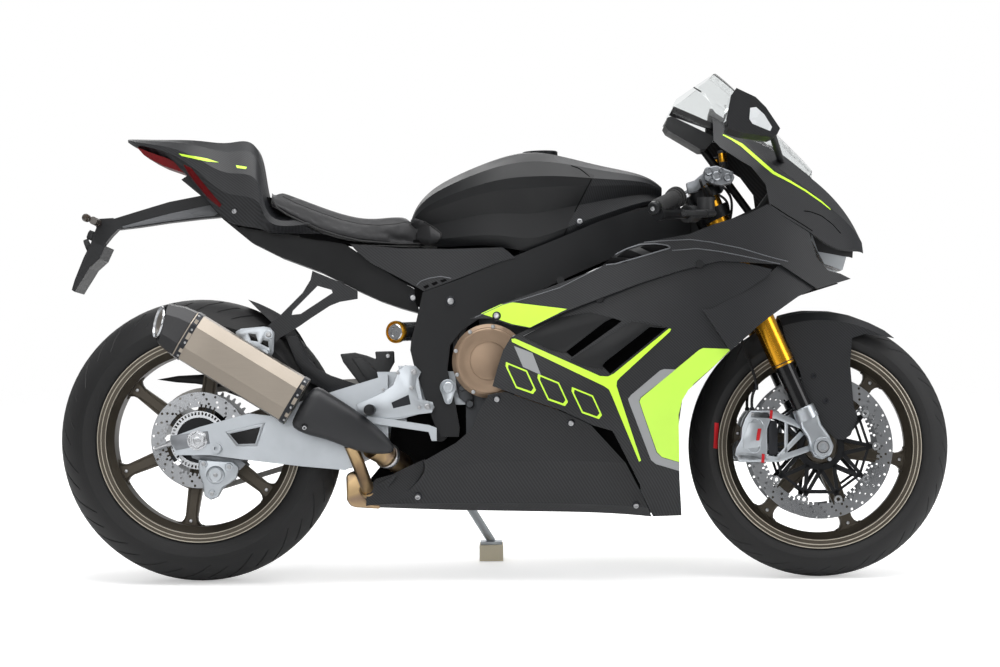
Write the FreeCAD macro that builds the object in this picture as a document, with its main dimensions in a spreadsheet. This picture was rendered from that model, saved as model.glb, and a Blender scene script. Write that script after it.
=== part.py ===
import FreeCAD, Part
import math
import os

Vector = FreeCAD.Vector

# A sport motorcycle that leans on its side stand, the stand's foot on a small block.
# +X points to the front wheel, +Y to the rider's left and +Z up.
# The origin lies on the floor, midway between the two wheel centres.
# The pieces are drawn upright and then lean together about the line on the floor.
# Lengths are in millimetres and angles in degrees.

sizes = {
    # Stance
    "wheelbase": 1420, "lean_angle": 5.5, "rake_angle": 24, "axle_lead": 3.3, "clamp_offset": 28,
    "seat_gap": 0.3, "running_gap": 0.05, "overrun": 60, "body_width": 900,
    # View that the outlines were read from
    "view_distance": 7500, "view_height": 1100, "view_shift": -21.67, "view_pitch": 4.068,
    # Tyres and rims
    "front_radius": 299, "front_half_width": 60, "front_crown_drop": 44, "front_rim_half": 52,
    "rear_radius": 324, "rear_half_width": 95, "rear_crown_drop": 58, "rear_rim_half": 84,
    "tread_thickness": 9, "sidewall_thickness": 7, "bead_radius": 218.5, "bead_width": 12,
    "flange_radius": 232, "flange_thickness": 6, "rim_seat_width": 18, "rim_well_radius": 203,
    "rim_wall": 5, "spoke_root_width": 40, "spoke_tip_width": 26, "spoke_depth": 30,
    "hub_radius": 36, "front_hub_half": 63.2, "rear_hub_right": 77.2, "rear_hub_left": 104.7,
    "front_spoke_angle": 50.5, "rear_spoke_angle": 22,
    # Brake discs, carriers and sprocket
    "front_disc_radius": 165, "front_disc_inner": 130, "disc_thickness": 5, "front_disc_place": 66,
    "carrier_outer": 54, "carrier_arm_width": 14, "carrier_thickness": 5,
    "rear_disc_radius": 110, "rear_disc_inner": 76, "rear_disc_place": 80,
    "sprocket_radius": 107, "sprocket_hub_radius": 50, "sprocket_thickness": 6,
    "window_radius": 15, "window_place": 78, "chain_place": 108,
    # Axles
    "front_axle_radius": 12.5, "front_axle_bore": 8, "front_axle_right": 128,
    "front_axle_left": 128,
    "rear_axle_radius": 14, "rear_axle_bore": 9, "rear_axle_right": 142, "rear_axle_left": 160,
    # Fork and steering
    "fork_half_spacing": 105, "fork_tube_radius": 27, "fork_leg_radius": 21.5,
    "fork_tube_low": 205, "fork_tube_top": 655, "fork_leg_low": 84, "foot_width": 36,
    "foot_depth": 46, "foot_drop": 22, "stem_radius": 15, "lower_yoke_low": 462,
    "lower_yoke_height": 38, "upper_yoke_low": 622, "upper_yoke_height": 22, "yoke_wall": 9,
    "yoke_depth": 54, "head_radius": 28, "head_gap": 6, "head_gusset": 52,
    # Handlebars
    "bar_radius": 11, "bar_length": 262, "bar_sweep_angle": 30, "bar_drop_angle": 2.8,
    "bar_low": 570, "bar_clamp_height": 28, "grip_radius": 16.5, "grip_length": 118,
    "bar_end_radius": 14, "bar_end_length": 20, "switch_length": 42, "switch_radius": 19,
    "lever_length": 150, "lever_radius": 6, "lever_reach": 48, "cup_radius": 20, "cup_height": 36,
    # Front calipers and fender
    "caliper_length": 112, "caliper_depth": 60, "caliper_width": 52, "caliper_angle": 172.5,
    "caliper_place": 148, "caliper_arm_inner": 78.3, "disc_clearance": 5, "fender_gap": 13, "fender_wall": 3.5,
    "fender_half_width": 78, "fender_side_radius": 36, "fender_boss": 8, "fender_shoulder": 52,
    # Swingarm, shock and chain
    "pivot_x": -140, "pivot_z": 439, "pivot_radius": 14, "pivot_half": 97,
    "right_arm_inner": 102, "left_arm_inner": 117.5, "arm_thickness": 32, "arm_box_low": 352,
    "arm_box_height": 86, "arm_box_back": -376, "arm_box_length": 140, "barrel_height": 76,
    "spool_radius": 4, "spool_depth": 12, "spool_boss_radius": 12, "spool_boss_length": 15,
    "front_sprocket_x": -78, "front_sprocket_z": 432, "front_sprocket_radius": 32,
    "chain_pitch_radius": 116, "chain_drive_radius": 40, "chain_height": 14, "chain_width": 15,
    "drive_shaft_radius": 14, "shock_radius": 27, "shock_x": -215, "shock_low": 482, "shock_length": 130,
    "reservoir_radius": 26, "reservoir_length": 80, "reservoir_place": 150,
    "reservoir_arm": 60, "reservoir_arm_radius": 8,
    # Frame
    "spar_thickness": 28, "cross_radius": 18, "cross_z": 335, "cross_x": -160,
    "yoke_room_back": 58, "stay_half": 40, "stay_reach": 142, "stay_height": 38,
    "stay_low": 522, "stay_rod": 9, "stay_cross_half": 106, "stay_cross_x": 632,
    "stay_cross_z": 915,
    # Engine and its covers
    "case_back": -100, "case_length": 320, "case_low": 222, "case_height": 290, "case_half": 118,
    "bank_length": 130, "bank_height": 150, "bank_half": 105, "front_bank_x": 120,
    "front_bank_z": 420, "front_bank_angle": 62, "rear_bank_x": 20, "rear_bank_z": 480,
    "rear_bank_angle": -12, "clutch_radius": 84, "lower_cover_radius": 57, "cover_depth": 40,
    "cover_bevel": 8, "engine_lug_inner": 95, "engine_lug_outer": 132, "sprocket_pocket_height": 124, "sprocket_pocket_length": 90,
    # Radiator
    "radiator_height": 320, "radiator_half": 160, "radiator_depth": 26, "radiator_x": 322,
    "radiator_z": 330, "radiator_tilt": 8, "strap_radius": 6, "strap_place": 80,
    "strap_low": 630, "strap_length": 145, "strap_x": 374,
    # Bodywork
    "panel_wall": 4, "layer_gap": 12, "mount_radius": 9, "fairing_half": 240, "fairing_back": -360,
    "fairing_step": 200, "fairing_low": 100, "fairing_rise": 160, "upper_low": 560,
    "upper_rise": 100, "tank_half": 168, "seat_half": 126, "tail_half": 112, "belly_half": 190,
    "side_back": -860, "side_step": 220, "side_low": 560, "side_rise": 120, "side_half": 150,
    "frame_back": -260, "frame_step": 140, "frame_half": 158, "frame_low": 300,
    "frame_rise": 300, "cover_thickness": 5,
    # Nose, screen, lamps and mirrors
    "nose_wall": 3.5, "screen_wall": 3, "nose_half": 205, "screen_half": 160,
    "lamp_half": 118, "lamp_inner": 14, "dash_half": 70, "mirror_inner": 262, "mirror_outer": 400,
    "mirror_depth": 26, "stalk_radius": 8, "stalk_inner": 102, "wing_half": 236,
    # Tail details
    "tail_lamp_half": 62, "hanger_half": 22, "plate_half": 86, "indicator_radius": 9,
    "indicator_length": 96, "cap_radius": 42, "cap_height": 6,
    # Rearsets
    "rearset_inner": 150.3, "rearset_thickness": 14, "peg_radius": 11, "peg_length": 92,
    "pedal_thickness": 9,
    # Muffler and pipes
    "muffler_place": 205, "muffler_half": 44, "muffler_height": 115, "pipe_radius": 24,
    "pipe_bend": 46, "header_radius": 16.7, "header_place": 34, "header_front": 60, "canister_radius": 38, "canister_half": 62, "canister_x": -342,
    "canister_z": 205, "hanger_inner": 106, "hanger_wall": 6, "hanger_boss": 10,
    # Side stand and block
    "stand_pivot_x": -150, "stand_pivot_y": 125, "stand_pivot_z": 250, "stand_foot_x": -46,
    "stand_foot_y": 310, "stand_eye_radius": 15, "stand_eye_length": 22, "stand_pin_radius": 7,
    "stand_pin_length": 40, "stand_leg_radius": 10, "stand_foot_length": 52,
    "stand_foot_width": 34, "stand_foot_height": 7, "block_length": 57, "block_width": 60,
    "block_height": 38, "bracket_radius": 16, "bracket_length": 22,
}

# Pixel values of the view: its middle, its focal length, the column between the wheels, its roll
view_middle_pixels = (500.0, 333.5)
view_focal_pixels = 3278.0
wheels_middle_pixel = 509.4
roll_share = 0.00723

doc = FreeCAD.newDocument("SportMotorcycle")
sheet = doc.addObject("Spreadsheet::Sheet", "Sizes")
for row, (alias, number) in enumerate(sizes.items(), start=1):
    sheet.set("A%d" % row, alias)
    sheet.set("B%d" % row, str(number))
    sheet.setAlias("B%d" % row, alias)
doc.recompute()


class Cells:
    # Gives each cell of the sheet by its alias
    def __getattr__(self, alias):
        return float(sheet.get(alias))


cell = Cells()
lean_turn = FreeCAD.Rotation(Vector(1, 0, 0), -cell.lean_angle)
rear_crown = (cell.rear_half_width ** 2 + cell.rear_crown_drop ** 2) / (2 * cell.rear_crown_drop)
lean_lift = rear_crown * (1 - math.cos(math.radians(cell.lean_angle)))
lean = FreeCAD.Placement(Vector(0, 0, lean_lift), lean_turn)
front_axle = Vector(cell.wheelbase / 2, 0, cell.front_radius)
rear_axle = Vector(-cell.wheelbase / 2, 0, cell.rear_radius)

# The steering axis leans back by the rake; the fork and the axle lie ahead of it
rake_turn = FreeCAD.Rotation(Vector(0, 1, 0), -cell.rake_angle)
axle_offset = cell.clamp_offset + cell.axle_lead
steer_base = front_axle - rake_turn.multVec(Vector(axle_offset, 0, 0))
steer_place = FreeCAD.Placement(steer_base, rake_turn)
subparts = []


def keep(item, label, place=None):
    # Names a finished sub-part and leans it with the rest
    item.Label = label
    item.Placement = lean.multiply(place) if place else lean
    subparts.append(item)
    return item


def keepShape(label, shape, place=None):
    # A sub-part whose surfaces are worked out from the sizes
    item = doc.addObject("Part::Feature", label)
    item.Shape = shape
    return keep(item, label, place)


def cylinder(name, radius, height, base, direction=Vector(0, 0, 1)):
    # A cylinder whose radius and height follow the sheet
    item = doc.addObject("Part::Cylinder", name)
    item.setExpression("Radius", radius)
    item.setExpression("Height", height)
    item.Placement = FreeCAD.Placement(base, FreeCAD.Rotation(Vector(0, 0, 1), direction))
    return item


def box(name, length, width, height, base, turn=FreeCAD.Rotation()):
    # A box whose three sides follow the sheet
    item = doc.addObject("Part::Box", name)
    item.setExpression("Length", length)
    item.setExpression("Width", width)
    item.setExpression("Height", height)
    item.Placement = FreeCAD.Placement(base, turn)
    return item


def fuse(name, items):
    joined = doc.addObject("Part::MultiFuse", name)
    joined.Shapes = items
    return joined


def cut(name, base, tool):
    rest = doc.addObject("Part::Cut", name)
    rest.Base = base
    rest.Tool = tool
    return rest


def group(name, items):
    # Like pieces that share a node and don't touch
    together = doc.addObject("Part::Compound", name)
    together.Links = items
    return together


def largest(shape, count):
    # The wanted solids of a cut form, without the slivers that a cut leaves
    solids = sorted(shape.Solids, key=lambda solid: solid.Volume, reverse=True)[:count]
    return solids[0] if count == 1 else Part.makeCompound(solids)


def mirrored(shape):
    return shape.mirror(Vector(0, 0, 0), Vector(0, 1, 0))


def pair(shape):
    return Part.makeCompound([shape, mirrored(shape)])


def photo_point(u, v, out):
    # The place, in the upright frame, of a point of the view that lies out to the right
    level = v + (u - wheels_middle_pixel) * roll_share
    slope = (view_middle_pixels[1] - level) / view_focal_pixels
    pitch = math.radians(cell.view_pitch)
    across = math.sin(pitch) - slope * math.cos(pitch)
    along = math.cos(pitch) + slope * math.sin(pitch)
    tilt = math.radians(cell.lean_angle)
    sine, cosine = math.sin(tilt), math.cos(tilt)
    rise = -(cell.view_distance - out * cosine) * across
    rise += (cell.view_height - lean_lift - out * sine) * along
    z = rise / (sine * across + cosine * along)
    far = -out * cosine + z * sine + cell.view_distance
    high = out * sine + z * cosine + lean_lift - cell.view_height
    depth = far * math.cos(pitch) - high * math.sin(pitch)
    x = cell.view_shift + (u - view_middle_pixels[0]) * depth / view_focal_pixels
    return x, z


def outline(pixels, out):
    return [photo_point(u, v, out) for u, v in pixels]


def slab(points, low, high):
    # A side outline of x and z given a thickness from y = low to y = high
    corners = [Vector(x, low, z) for x, z in points]
    wire = Part.makePolygon(corners + corners[:1])
    return Part.Face(wire).extrude(Vector(0, high - low, 0))


def inner_half(wall, u, v, out):
    # Half the room between a wall on the right and its mirror image, at a place of the view
    x, z = photo_point(u, v, out)
    ray = Part.makeLine(Vector(x, -cell.body_width, z), Vector(x, 0, z))
    return -ray.common(wall).BoundBox.YMax


def right_prism(pixels, out):
    return slab(outline(pixels, out), -cell.body_width, 0)


def full_prism(pixels, out):
    return slab(outline(pixels, out), -cell.body_width, cell.body_width)


def skin(shares, half, start, step, low, rise, wall, extra=0):
    # A right-hand wall through a grid of half widths, rows from low to high, columns to the front
    rows = []
    for level, line in enumerate(shares):
        z = low + level * rise
        rows.append([Vector(start + column * step, -(half * share + extra), z)
                     for column, share in enumerate(line)])
    surface = Part.BSplineSurface()
    surface.interpolate(rows)
    return surface.toShape().extrude(Vector(0, wall, 0))


def ring_section(x, low, high, half, profile):
    # A closed section across the bike at x, from shares of its width and height
    side = [(share * half, low + rise * (high - low)) for share, rise in profile]
    right = [Vector(x, -y, z) for y, z in side]
    left = [Vector(x, y, z) for y, z in reversed(side) if y > 0]
    corners = right + left
    return Part.makePolygon(corners + corners[:1])


def body_loft(stations, half, profile):
    # A closed form through sections read at columns of the view
    wires = []
    for u, top, low, share in stations:
        x, z_top = photo_point(u, top, 0)
        z_low = photo_point(u, low, half * share)[1]
        wires.append(ring_section(x, z_low, z_top, half * share, profile))
    return Part.makeLoft(wires, True, False)


def arch_loft(stations, half, wall, profile):
    # A thin arch over the middle, through stations of the view's column, top row, edge row, width
    wires = []
    for u, top, edge, share in stations:
        x, z_top = photo_point(u, top, 0)
        width = half * share
        z_edge = photo_point(u, edge, width)[1]
        outer = [(width * across, z_edge + up * (z_top - z_edge)) for across, up in profile]
        inner = [(max(y - wall, 0), z - wall) for y, z in outer]
        right = [Vector(x, -y, z) for y, z in outer]
        left = [Vector(x, y, z) for y, z in reversed(outer) if y > 0]
        under_left = [Vector(x, y, z) for y, z in inner if y > 0]
        under_right = [Vector(x, -y, z) for y, z in reversed(inner)]
        loop = list(reversed(right)) + list(reversed(left))
        back = list(reversed(under_left)) + list(reversed(under_right))
        corners = loop + back
        wires.append(Part.makePolygon(corners + corners[:1]))
    return Part.makeLoft(wires, True, False)


def tube(points, radius, bend):
    # Straight runs joined by tangent arcs, with a round section
    edges = []
    last = points[0]
    for before, corner, after in zip(points, points[1:], points[2:]):
        into = (corner - before).normalize()
        away = (after - corner).normalize()
        half_turn = into.getAngle(away) / 2
        trim = bend * math.tan(half_turn)
        start = corner - into * trim
        end = corner + away * trim
        inward = (away - into).normalize()
        middle = corner + inward * (bend / math.cos(half_turn) - bend)
        edges.append(Part.LineSegment(last, start).toShape())
        edges.append(Part.Arc(start, middle, end).toShape())
        last = end
    edges.append(Part.LineSegment(last, points[-1]).toShape())
    path = Part.Wire(edges)
    direction = (points[1] - points[0]).normalize()
    ring = Part.Wire(Part.Circle(points[0], direction, radius).toShape())
    return path.makePipeShell([ring], True, False)


def origin_plane(body, role):
    return [plane for plane in body.Origin.OriginFeatures if plane.Role == role][0]


def new_sketch(body, name, role):
    sketch = body.newObject("Sketcher::SketchObject", name)
    sketch.AttachmentSupport = [(origin_plane(body, role), "")]
    sketch.MapMode = "FlatFace"
    return sketch


def draw(sketch, corners):
    # A closed outline; a corner given with a middle point is reached by an arc
    points = [Vector(corner[0], corner[1], 0) for corner in corners]
    for number, corner in enumerate(corners):
        start = points[number - 1]
        end = points[number]
        if len(corner) > 2:
            middle = Vector(corner[2], corner[3], 0)
            sketch.addGeometry(Part.Arc(start, middle, end), False)
        else:
            sketch.addGeometry(Part.LineSegment(start, end), False)


def revolve(body, name, corners):
    # A turned form; its sketch gives the place across the bike and the radius
    sketch = new_sketch(body, name + "_sketch", "YZ_Plane")
    draw(sketch, corners)
    turned = body.newObject("PartDesign::Revolution", name)
    turned.Profile = sketch
    turned.ReferenceAxis = (sketch, ["H_Axis"])
    turned.Angle = 360
    return turned


def pad_spokes(body, name, corners, width, count):
    # One arm padded to both sides of the middle plane and repeated round the axle
    sketch = new_sketch(body, name + "_sketch", "XZ_Plane")
    draw(sketch, corners)
    arm = body.newObject("PartDesign::Pad", name)
    arm.Profile = sketch
    arm.setExpression("Length", width)
    arm.Midplane = True
    pattern = body.newObject("PartDesign::PolarPattern", name + "_pattern")
    pattern.Originals = [arm]
    pattern.Axis = (sketch, ["N_Axis"])
    pattern.Angle = 360
    pattern.Occurrences = count
    body.Tip = pattern
    return pattern


def turned_corners(corners, angle):
    # An outline turned about the axle's centre
    sine, cosine = math.sin(math.radians(angle)), math.cos(math.radians(angle))
    return [(x * cosine - z * sine, x * sine + z * cosine) for x, z in corners]


spoke_count = 6


def make_tyre(label, radius, half, drop, rim_half, place):
    # A tread arc, two sidewall arcs and two beads, open towards the rim
    body = doc.addObject("PartDesign::Body", label)
    bead_out = rim_half - cell.flange_thickness - cell.seat_gap
    bead_in = bead_out - cell.bead_width
    foot = cell.bead_radius + cell.seat_gap
    shoulder = radius - drop
    wall_mid = (shoulder + cell.flange_radius) / 2
    neck = cell.flange_radius + cell.seat_gap
    inner_half = half - cell.sidewall_thickness
    inner_top = radius - cell.tread_thickness
    bulge = (half + bead_out) / 2
    inner_bulge = (inner_half + bead_in) / 2
    corners = [
        (-bead_in, foot), (-bead_out, foot), (-bead_out, neck),
        (-half, shoulder, -bulge - cell.flange_thickness / 2, wall_mid),
        (half, shoulder, 0, radius),
        (bead_out, neck, bulge + cell.flange_thickness / 2, wall_mid),
        (bead_out, foot), (bead_in, foot), (bead_in, neck),
        (inner_half, shoulder, inner_bulge + cell.flange_thickness / 2, wall_mid),
        (-inner_half, shoulder, 0, inner_top),
        (-bead_in, neck, -inner_bulge - cell.flange_thickness / 2, wall_mid),
    ]
    revolve(body, label + "_ring", corners)
    return keep(body, label, FreeCAD.Placement(place, FreeCAD.Rotation()))


def make_rim(label, rim_half, hub_right, hub_left, bore, angle, place):
    # A dropped-centre barrel, six forged spokes and a bored hub in one piece
    body = doc.addObject("PartDesign::Body", label)
    seat = rim_half - cell.flange_thickness
    slope = seat - cell.rim_seat_width
    well = slope - (cell.bead_radius - cell.rim_well_radius)
    inner = cell.rim_well_radius - cell.rim_wall
    lip = cell.bead_radius - cell.rim_wall
    corners = [
        (-rim_half, cell.flange_radius), (-seat, cell.flange_radius), (-seat, cell.bead_radius),
        (-slope, cell.bead_radius), (-well, cell.rim_well_radius), (well, cell.rim_well_radius),
        (slope, cell.bead_radius), (seat, cell.bead_radius), (seat, cell.flange_radius),
        (rim_half, cell.flange_radius), (rim_half, lip), (slope, lip), (well, inner),
        (-well, inner), (-slope, lip), (-rim_half, lip),
    ]
    revolve(body, label + "_barrel", corners)
    root, tip = cell.spoke_root_width / 2, cell.spoke_tip_width / 2
    reach = inner + cell.rim_wall / 2
    start = (cell.hub_radius + bore) / 2
    shape = [(start, -root), (reach, -tip), (reach, tip), (start, root)]
    pad_spokes(body, label + "_spoke", turned_corners(shape, angle), "Sizes.spoke_depth",
               spoke_count)
    hub = [(-hub_right, bore), (-hub_right, cell.hub_radius), (hub_left, cell.hub_radius),
           (hub_left, bore)]
    revolve(body, label + "_hub", hub)
    return keep(body, label, FreeCAD.Placement(place, FreeCAD.Rotation()))


def make_ring(name, outer, inner, thickness, place):
    # A flat ring across the axle, its sizes given by the sheet
    body = doc.addObject("PartDesign::Body", name)
    sketch = new_sketch(body, name + "_sketch", "XZ_Plane")
    sketch.addGeometry(Part.Circle(Vector(0, 0, 0), Vector(0, 0, 1), outer), False)
    sketch.addGeometry(Part.Circle(Vector(0, 0, 0), Vector(0, 0, 1), inner), False)
    flat = body.newObject("PartDesign::Pad", name + "_pad")
    flat.Profile = sketch
    flat.setExpression("Length", thickness)
    flat.Midplane = True
    body.Placement = FreeCAD.Placement(place, FreeCAD.Rotation())
    return body


def make_carrier(name, outer, inner, bore, place, arms):
    # The hub plate and arms that hold a brake disc
    body = make_ring(name, outer, bore, "Sizes.carrier_thickness", place)
    arm = cell.carrier_arm_width / 2
    start = (outer + bore) / 2
    reach = math.sqrt(inner ** 2 - arm ** 2)
    shape = [(start, -arm), (reach, -arm), (reach, arm), (start, arm)]
    pad_spokes(body, name + "_arm", shape, "Sizes.carrier_thickness", arms)
    return body


# Wheels
front_bore = cell.front_axle_radius + cell.running_gap
rear_bore = cell.rear_axle_radius + cell.running_gap
make_tyre("front_tyre", cell.front_radius, cell.front_half_width, cell.front_crown_drop,
          cell.front_rim_half, front_axle)
make_rim("front_rim", cell.front_rim_half, cell.front_hub_half, cell.front_hub_half, front_bore,
         cell.front_spoke_angle, front_axle)
make_tyre("rear_tyre", cell.rear_radius, cell.rear_half_width, cell.rear_crown_drop,
          cell.rear_rim_half, rear_axle)
make_rim("rear_rim", cell.rear_rim_half, cell.rear_hub_right, cell.rear_hub_left, rear_bore,
         cell.rear_spoke_angle, rear_axle)

# Brake discs and the carriers that hold them on the hubs
arm_count = 10
disc_bore = cell.hub_radius * 0.75
front_discs = []
front_carriers = []
for side, name in ((-1, "right"), (1, "left")):
    place = Vector(0, side * cell.front_disc_place, 0)
    front_discs.append(make_ring("front_disc_" + name, cell.front_disc_radius,
                                 cell.front_disc_inner, "Sizes.disc_thickness", place))
    front_carriers.append(make_carrier("front_carrier_" + name, cell.carrier_outer,
                                       cell.front_disc_inner - cell.seat_gap, disc_bore, place,
                                       arm_count))
front_place = FreeCAD.Placement(front_axle, FreeCAD.Rotation())
keep(group("front_discs", front_discs), "front_discs", front_place)
keep(group("front_carriers", front_carriers), "front_carriers", front_place)
rear_place = FreeCAD.Placement(rear_axle, FreeCAD.Rotation())
disc_place = Vector(0, -cell.rear_disc_place, 0)
keep(make_ring("rear_disc", cell.rear_disc_radius, cell.rear_disc_inner, "Sizes.disc_thickness",
               Vector(0, 0, 0)), "rear_disc",
     FreeCAD.Placement(rear_axle + disc_place, FreeCAD.Rotation()))
keep(make_carrier("rear_carrier", cell.carrier_outer, cell.rear_disc_inner - cell.seat_gap,
                  disc_bore, Vector(0, 0, 0), arm_count // 2), "rear_carrier",
     FreeCAD.Placement(rear_axle + disc_place, FreeCAD.Rotation()))

# Rear sprocket with round windows, on the left of the hub
sprocket = make_ring("rear_sprocket", cell.sprocket_radius, rear_bore + cell.bead_width,
                     "Sizes.sprocket_thickness", Vector(0, 0, 0))
doc.recompute()
windows = new_sketch(sprocket, "window_sketch", "XZ_Plane")
windows.addGeometry(Part.Circle(Vector(cell.window_place, 0, 0), Vector(0, 0, 1),
                                cell.window_radius), False)
window = sprocket.newObject("PartDesign::Pocket", "window")
window.Profile = windows
window.Type = "ThroughAll"
window.Midplane = True
window_ring = sprocket.newObject("PartDesign::PolarPattern", "window_ring")
window_ring.Originals = [window]
window_ring.Axis = (windows, ["N_Axis"])
window_ring.Angle = 360
window_ring.Occurrences = spoke_count
sprocket.Tip = window_ring
keep(sprocket, "rear_sprocket",
     FreeCAD.Placement(rear_axle + Vector(0, cell.chain_place, 0), FreeCAD.Rotation()))

# Axles
def hollow_axle(label, radius, bore, right, left, place):
    # An axle across the bike with a hole from end to end
    base = Vector(0, -right, 0)
    across = Vector(0, 1, 0)
    length = "Sizes.%s + Sizes.%s" % (label + "_right", label + "_left")
    outer = cylinder(label + "_outer", radius, length, base, across)
    inner = cylinder(label + "_hole", bore, length, base, across)
    return keep(cut(label, outer, inner), label, FreeCAD.Placement(place, FreeCAD.Rotation()))


hollow_axle("front_axle", "Sizes.front_axle_radius", "Sizes.front_axle_bore",
            cell.front_axle_right, cell.front_axle_left, front_axle)
hollow_axle("rear_axle", "Sizes.rear_axle_radius", "Sizes.rear_axle_bore",
            cell.rear_axle_right, cell.rear_axle_left, rear_axle)

# Fork, in the frame of the steering axis
fork_tubes = []
fork_legs = []
for side, name in ((-1, "right"), (1, "left")):
    foot = Vector(cell.clamp_offset, side * cell.fork_half_spacing, 0)
    fork_tubes.append(cylinder("fork_tube_" + name, "Sizes.fork_tube_radius",
                               "Sizes.fork_tube_top - Sizes.fork_tube_low",
                               foot + Vector(0, 0, cell.fork_tube_low)))
    rod = cylinder("fork_rod_" + name, "Sizes.fork_leg_radius",
                   "Sizes.fork_tube_low - Sizes.seat_gap - Sizes.fork_leg_low",
                   foot + Vector(0, 0, cell.fork_leg_low))
    corner = Vector(axle_offset - cell.foot_depth / 2,
                    side * cell.fork_half_spacing - cell.foot_width / 2, -cell.foot_drop)
    block = box("fork_foot_" + name, "Sizes.foot_depth", "Sizes.foot_width",
                "Sizes.foot_drop + Sizes.fork_leg_low + Sizes.foot_drop", corner)
    eye = cylinder("fork_eye_" + name, "Sizes.front_axle_radius + Sizes.running_gap",
                   "Sizes.body_width", Vector(axle_offset, -cell.body_width / 2, 0),
                   Vector(0, 1, 0))
    whole = fuse("fork_leg_whole_" + name, [rod, block])
    fork_legs.append(cut("fork_leg_" + name, whole, eye))
keep(group("fork_tubes", fork_tubes), "fork_tubes", steer_place)
keep(group("fork_legs", fork_legs), "fork_legs", steer_place)

# Yokes: two clamps and a bridge each, joined by the stem
yoke_items = [cylinder("stem", "Sizes.stem_radius",
                       "Sizes.upper_yoke_low - Sizes.lower_yoke_low + Sizes.upper_yoke_height",
                       Vector(0, 0, cell.lower_yoke_low))]
yoke_holes = []
for level, low, height in (("lower", "lower_yoke_low", "lower_yoke_height"),
                           ("upper", "upper_yoke_low", "upper_yoke_height")):
    base = getattr(cell, low)
    yoke_items.append(box(level + "_bridge", "Sizes.yoke_depth", "Sizes.fork_half_spacing * 2",
                          "Sizes." + height,
                          Vector(cell.clamp_offset - cell.yoke_depth * 0.8,
                                 -cell.fork_half_spacing, base)))
    for side, name in ((-1, "right"), (1, "left")):
        foot = Vector(cell.clamp_offset, side * cell.fork_half_spacing, base)
        yoke_items.append(cylinder(level + "_clamp_" + name,
                                   "Sizes.fork_tube_radius + Sizes.yoke_wall",
                                   "Sizes." + height, foot))
        yoke_holes.append(cylinder(level + "_clamp_hole_" + name,
                                   "Sizes.fork_tube_radius + Sizes.seat_gap",
                                   "Sizes." + height, foot))
yokes = cut("yokes", fuse("yoke_forms", yoke_items), fuse("yoke_holes", yoke_holes))
keep(yokes, "yokes", steer_place)

# Clip-on bars with their clamps, grips, switches, levers and fluid cups
bar_turn = math.radians(cell.bar_sweep_angle)
bar_drop = math.radians(cell.bar_drop_angle)
bars = []
grips = []
controls = []
for side, name in ((-1, "right"), (1, "left")):
    clamp_base = Vector(cell.clamp_offset, side * cell.fork_half_spacing, cell.bar_low)
    clamp = cylinder("bar_clamp_" + name, "Sizes.fork_tube_radius + Sizes.yoke_wall",
                     "Sizes.bar_clamp_height", clamp_base)
    hole_base = Vector(clamp_base.x, clamp_base.y, cell.fork_tube_low)
    clamp_hole = cylinder("bar_clamp_hole_" + name, "Sizes.fork_tube_radius + Sizes.seat_gap",
                          "Sizes.fork_tube_top", hole_base)
    heading = Vector(-math.sin(bar_turn) * math.cos(bar_drop),
                     side * math.cos(bar_turn) * math.cos(bar_drop), -math.sin(bar_drop))
    along = rake_turn.inverted().multVec(heading)
    start = clamp_base + Vector(0, 0, cell.bar_clamp_height / 2)
    rod = cylinder("bar_rod_" + name, "Sizes.bar_radius", "Sizes.bar_length", start, along)
    grip_start = start + along * (cell.bar_length - cell.grip_length)
    bars.append(cut("bar_" + name, fuse("bar_form_" + name, [clamp, rod]), clamp_hole))
    sleeve = cylinder("grip_sleeve_" + name, "Sizes.grip_radius", "Sizes.grip_length",
                      grip_start, along)
    bore = cylinder("grip_bore_" + name, "Sizes.bar_radius + Sizes.seat_gap",
                    "Sizes.grip_length", grip_start, along)
    grips.append(cut("grip_" + name, sleeve, bore))
    end = cylinder("bar_end_" + name, "Sizes.bar_end_radius", "Sizes.bar_end_length",
                   start + along * (cell.bar_length + cell.seat_gap), along)
    bars.append(end)
    switch_start = grip_start - along * (cell.switch_length + cell.seat_gap)
    switch = cylinder("switch_" + name, "Sizes.switch_radius", "Sizes.switch_length",
                      switch_start, along)
    ahead = rake_turn.inverted().multVec(Vector(math.cos(bar_turn),
                                                side * math.sin(bar_turn), 0))
    lever = cylinder("lever_" + name, "Sizes.lever_radius", "Sizes.lever_length",
                     switch_start + ahead * cell.lever_reach, along)
    perch = cylinder("perch_" + name, "Sizes.lever_radius * 1.5", "Sizes.lever_reach",
                     switch_start + along * cell.switch_length / 2, ahead)
    arm = cylinder("lever_arm_" + name, "Sizes.lever_radius * 1.2", "Sizes.switch_length",
                   switch_start + ahead * cell.lever_reach, along)
    cup_base = switch_start + ahead * (cell.lever_reach * 0.6)
    up = rake_turn.inverted().multVec(Vector(0, 0, 1))
    cup = cylinder("cup_" + name, "Sizes.cup_radius", "Sizes.cup_height", cup_base, up)
    bar_hole = cylinder("switch_bore_" + name, "Sizes.bar_radius + Sizes.seat_gap",
                        "Sizes.bar_length", start, along)
    controls.append(cut("control_" + name,
                        fuse("control_form_" + name, [switch, lever, perch, arm, cup]), bar_hole))
keep(group("handlebars", bars), "handlebars", steer_place)
keep(group("grips", grips), "grips", steer_place)
keep(group("bar_controls", controls), "bar_controls", steer_place)

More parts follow.
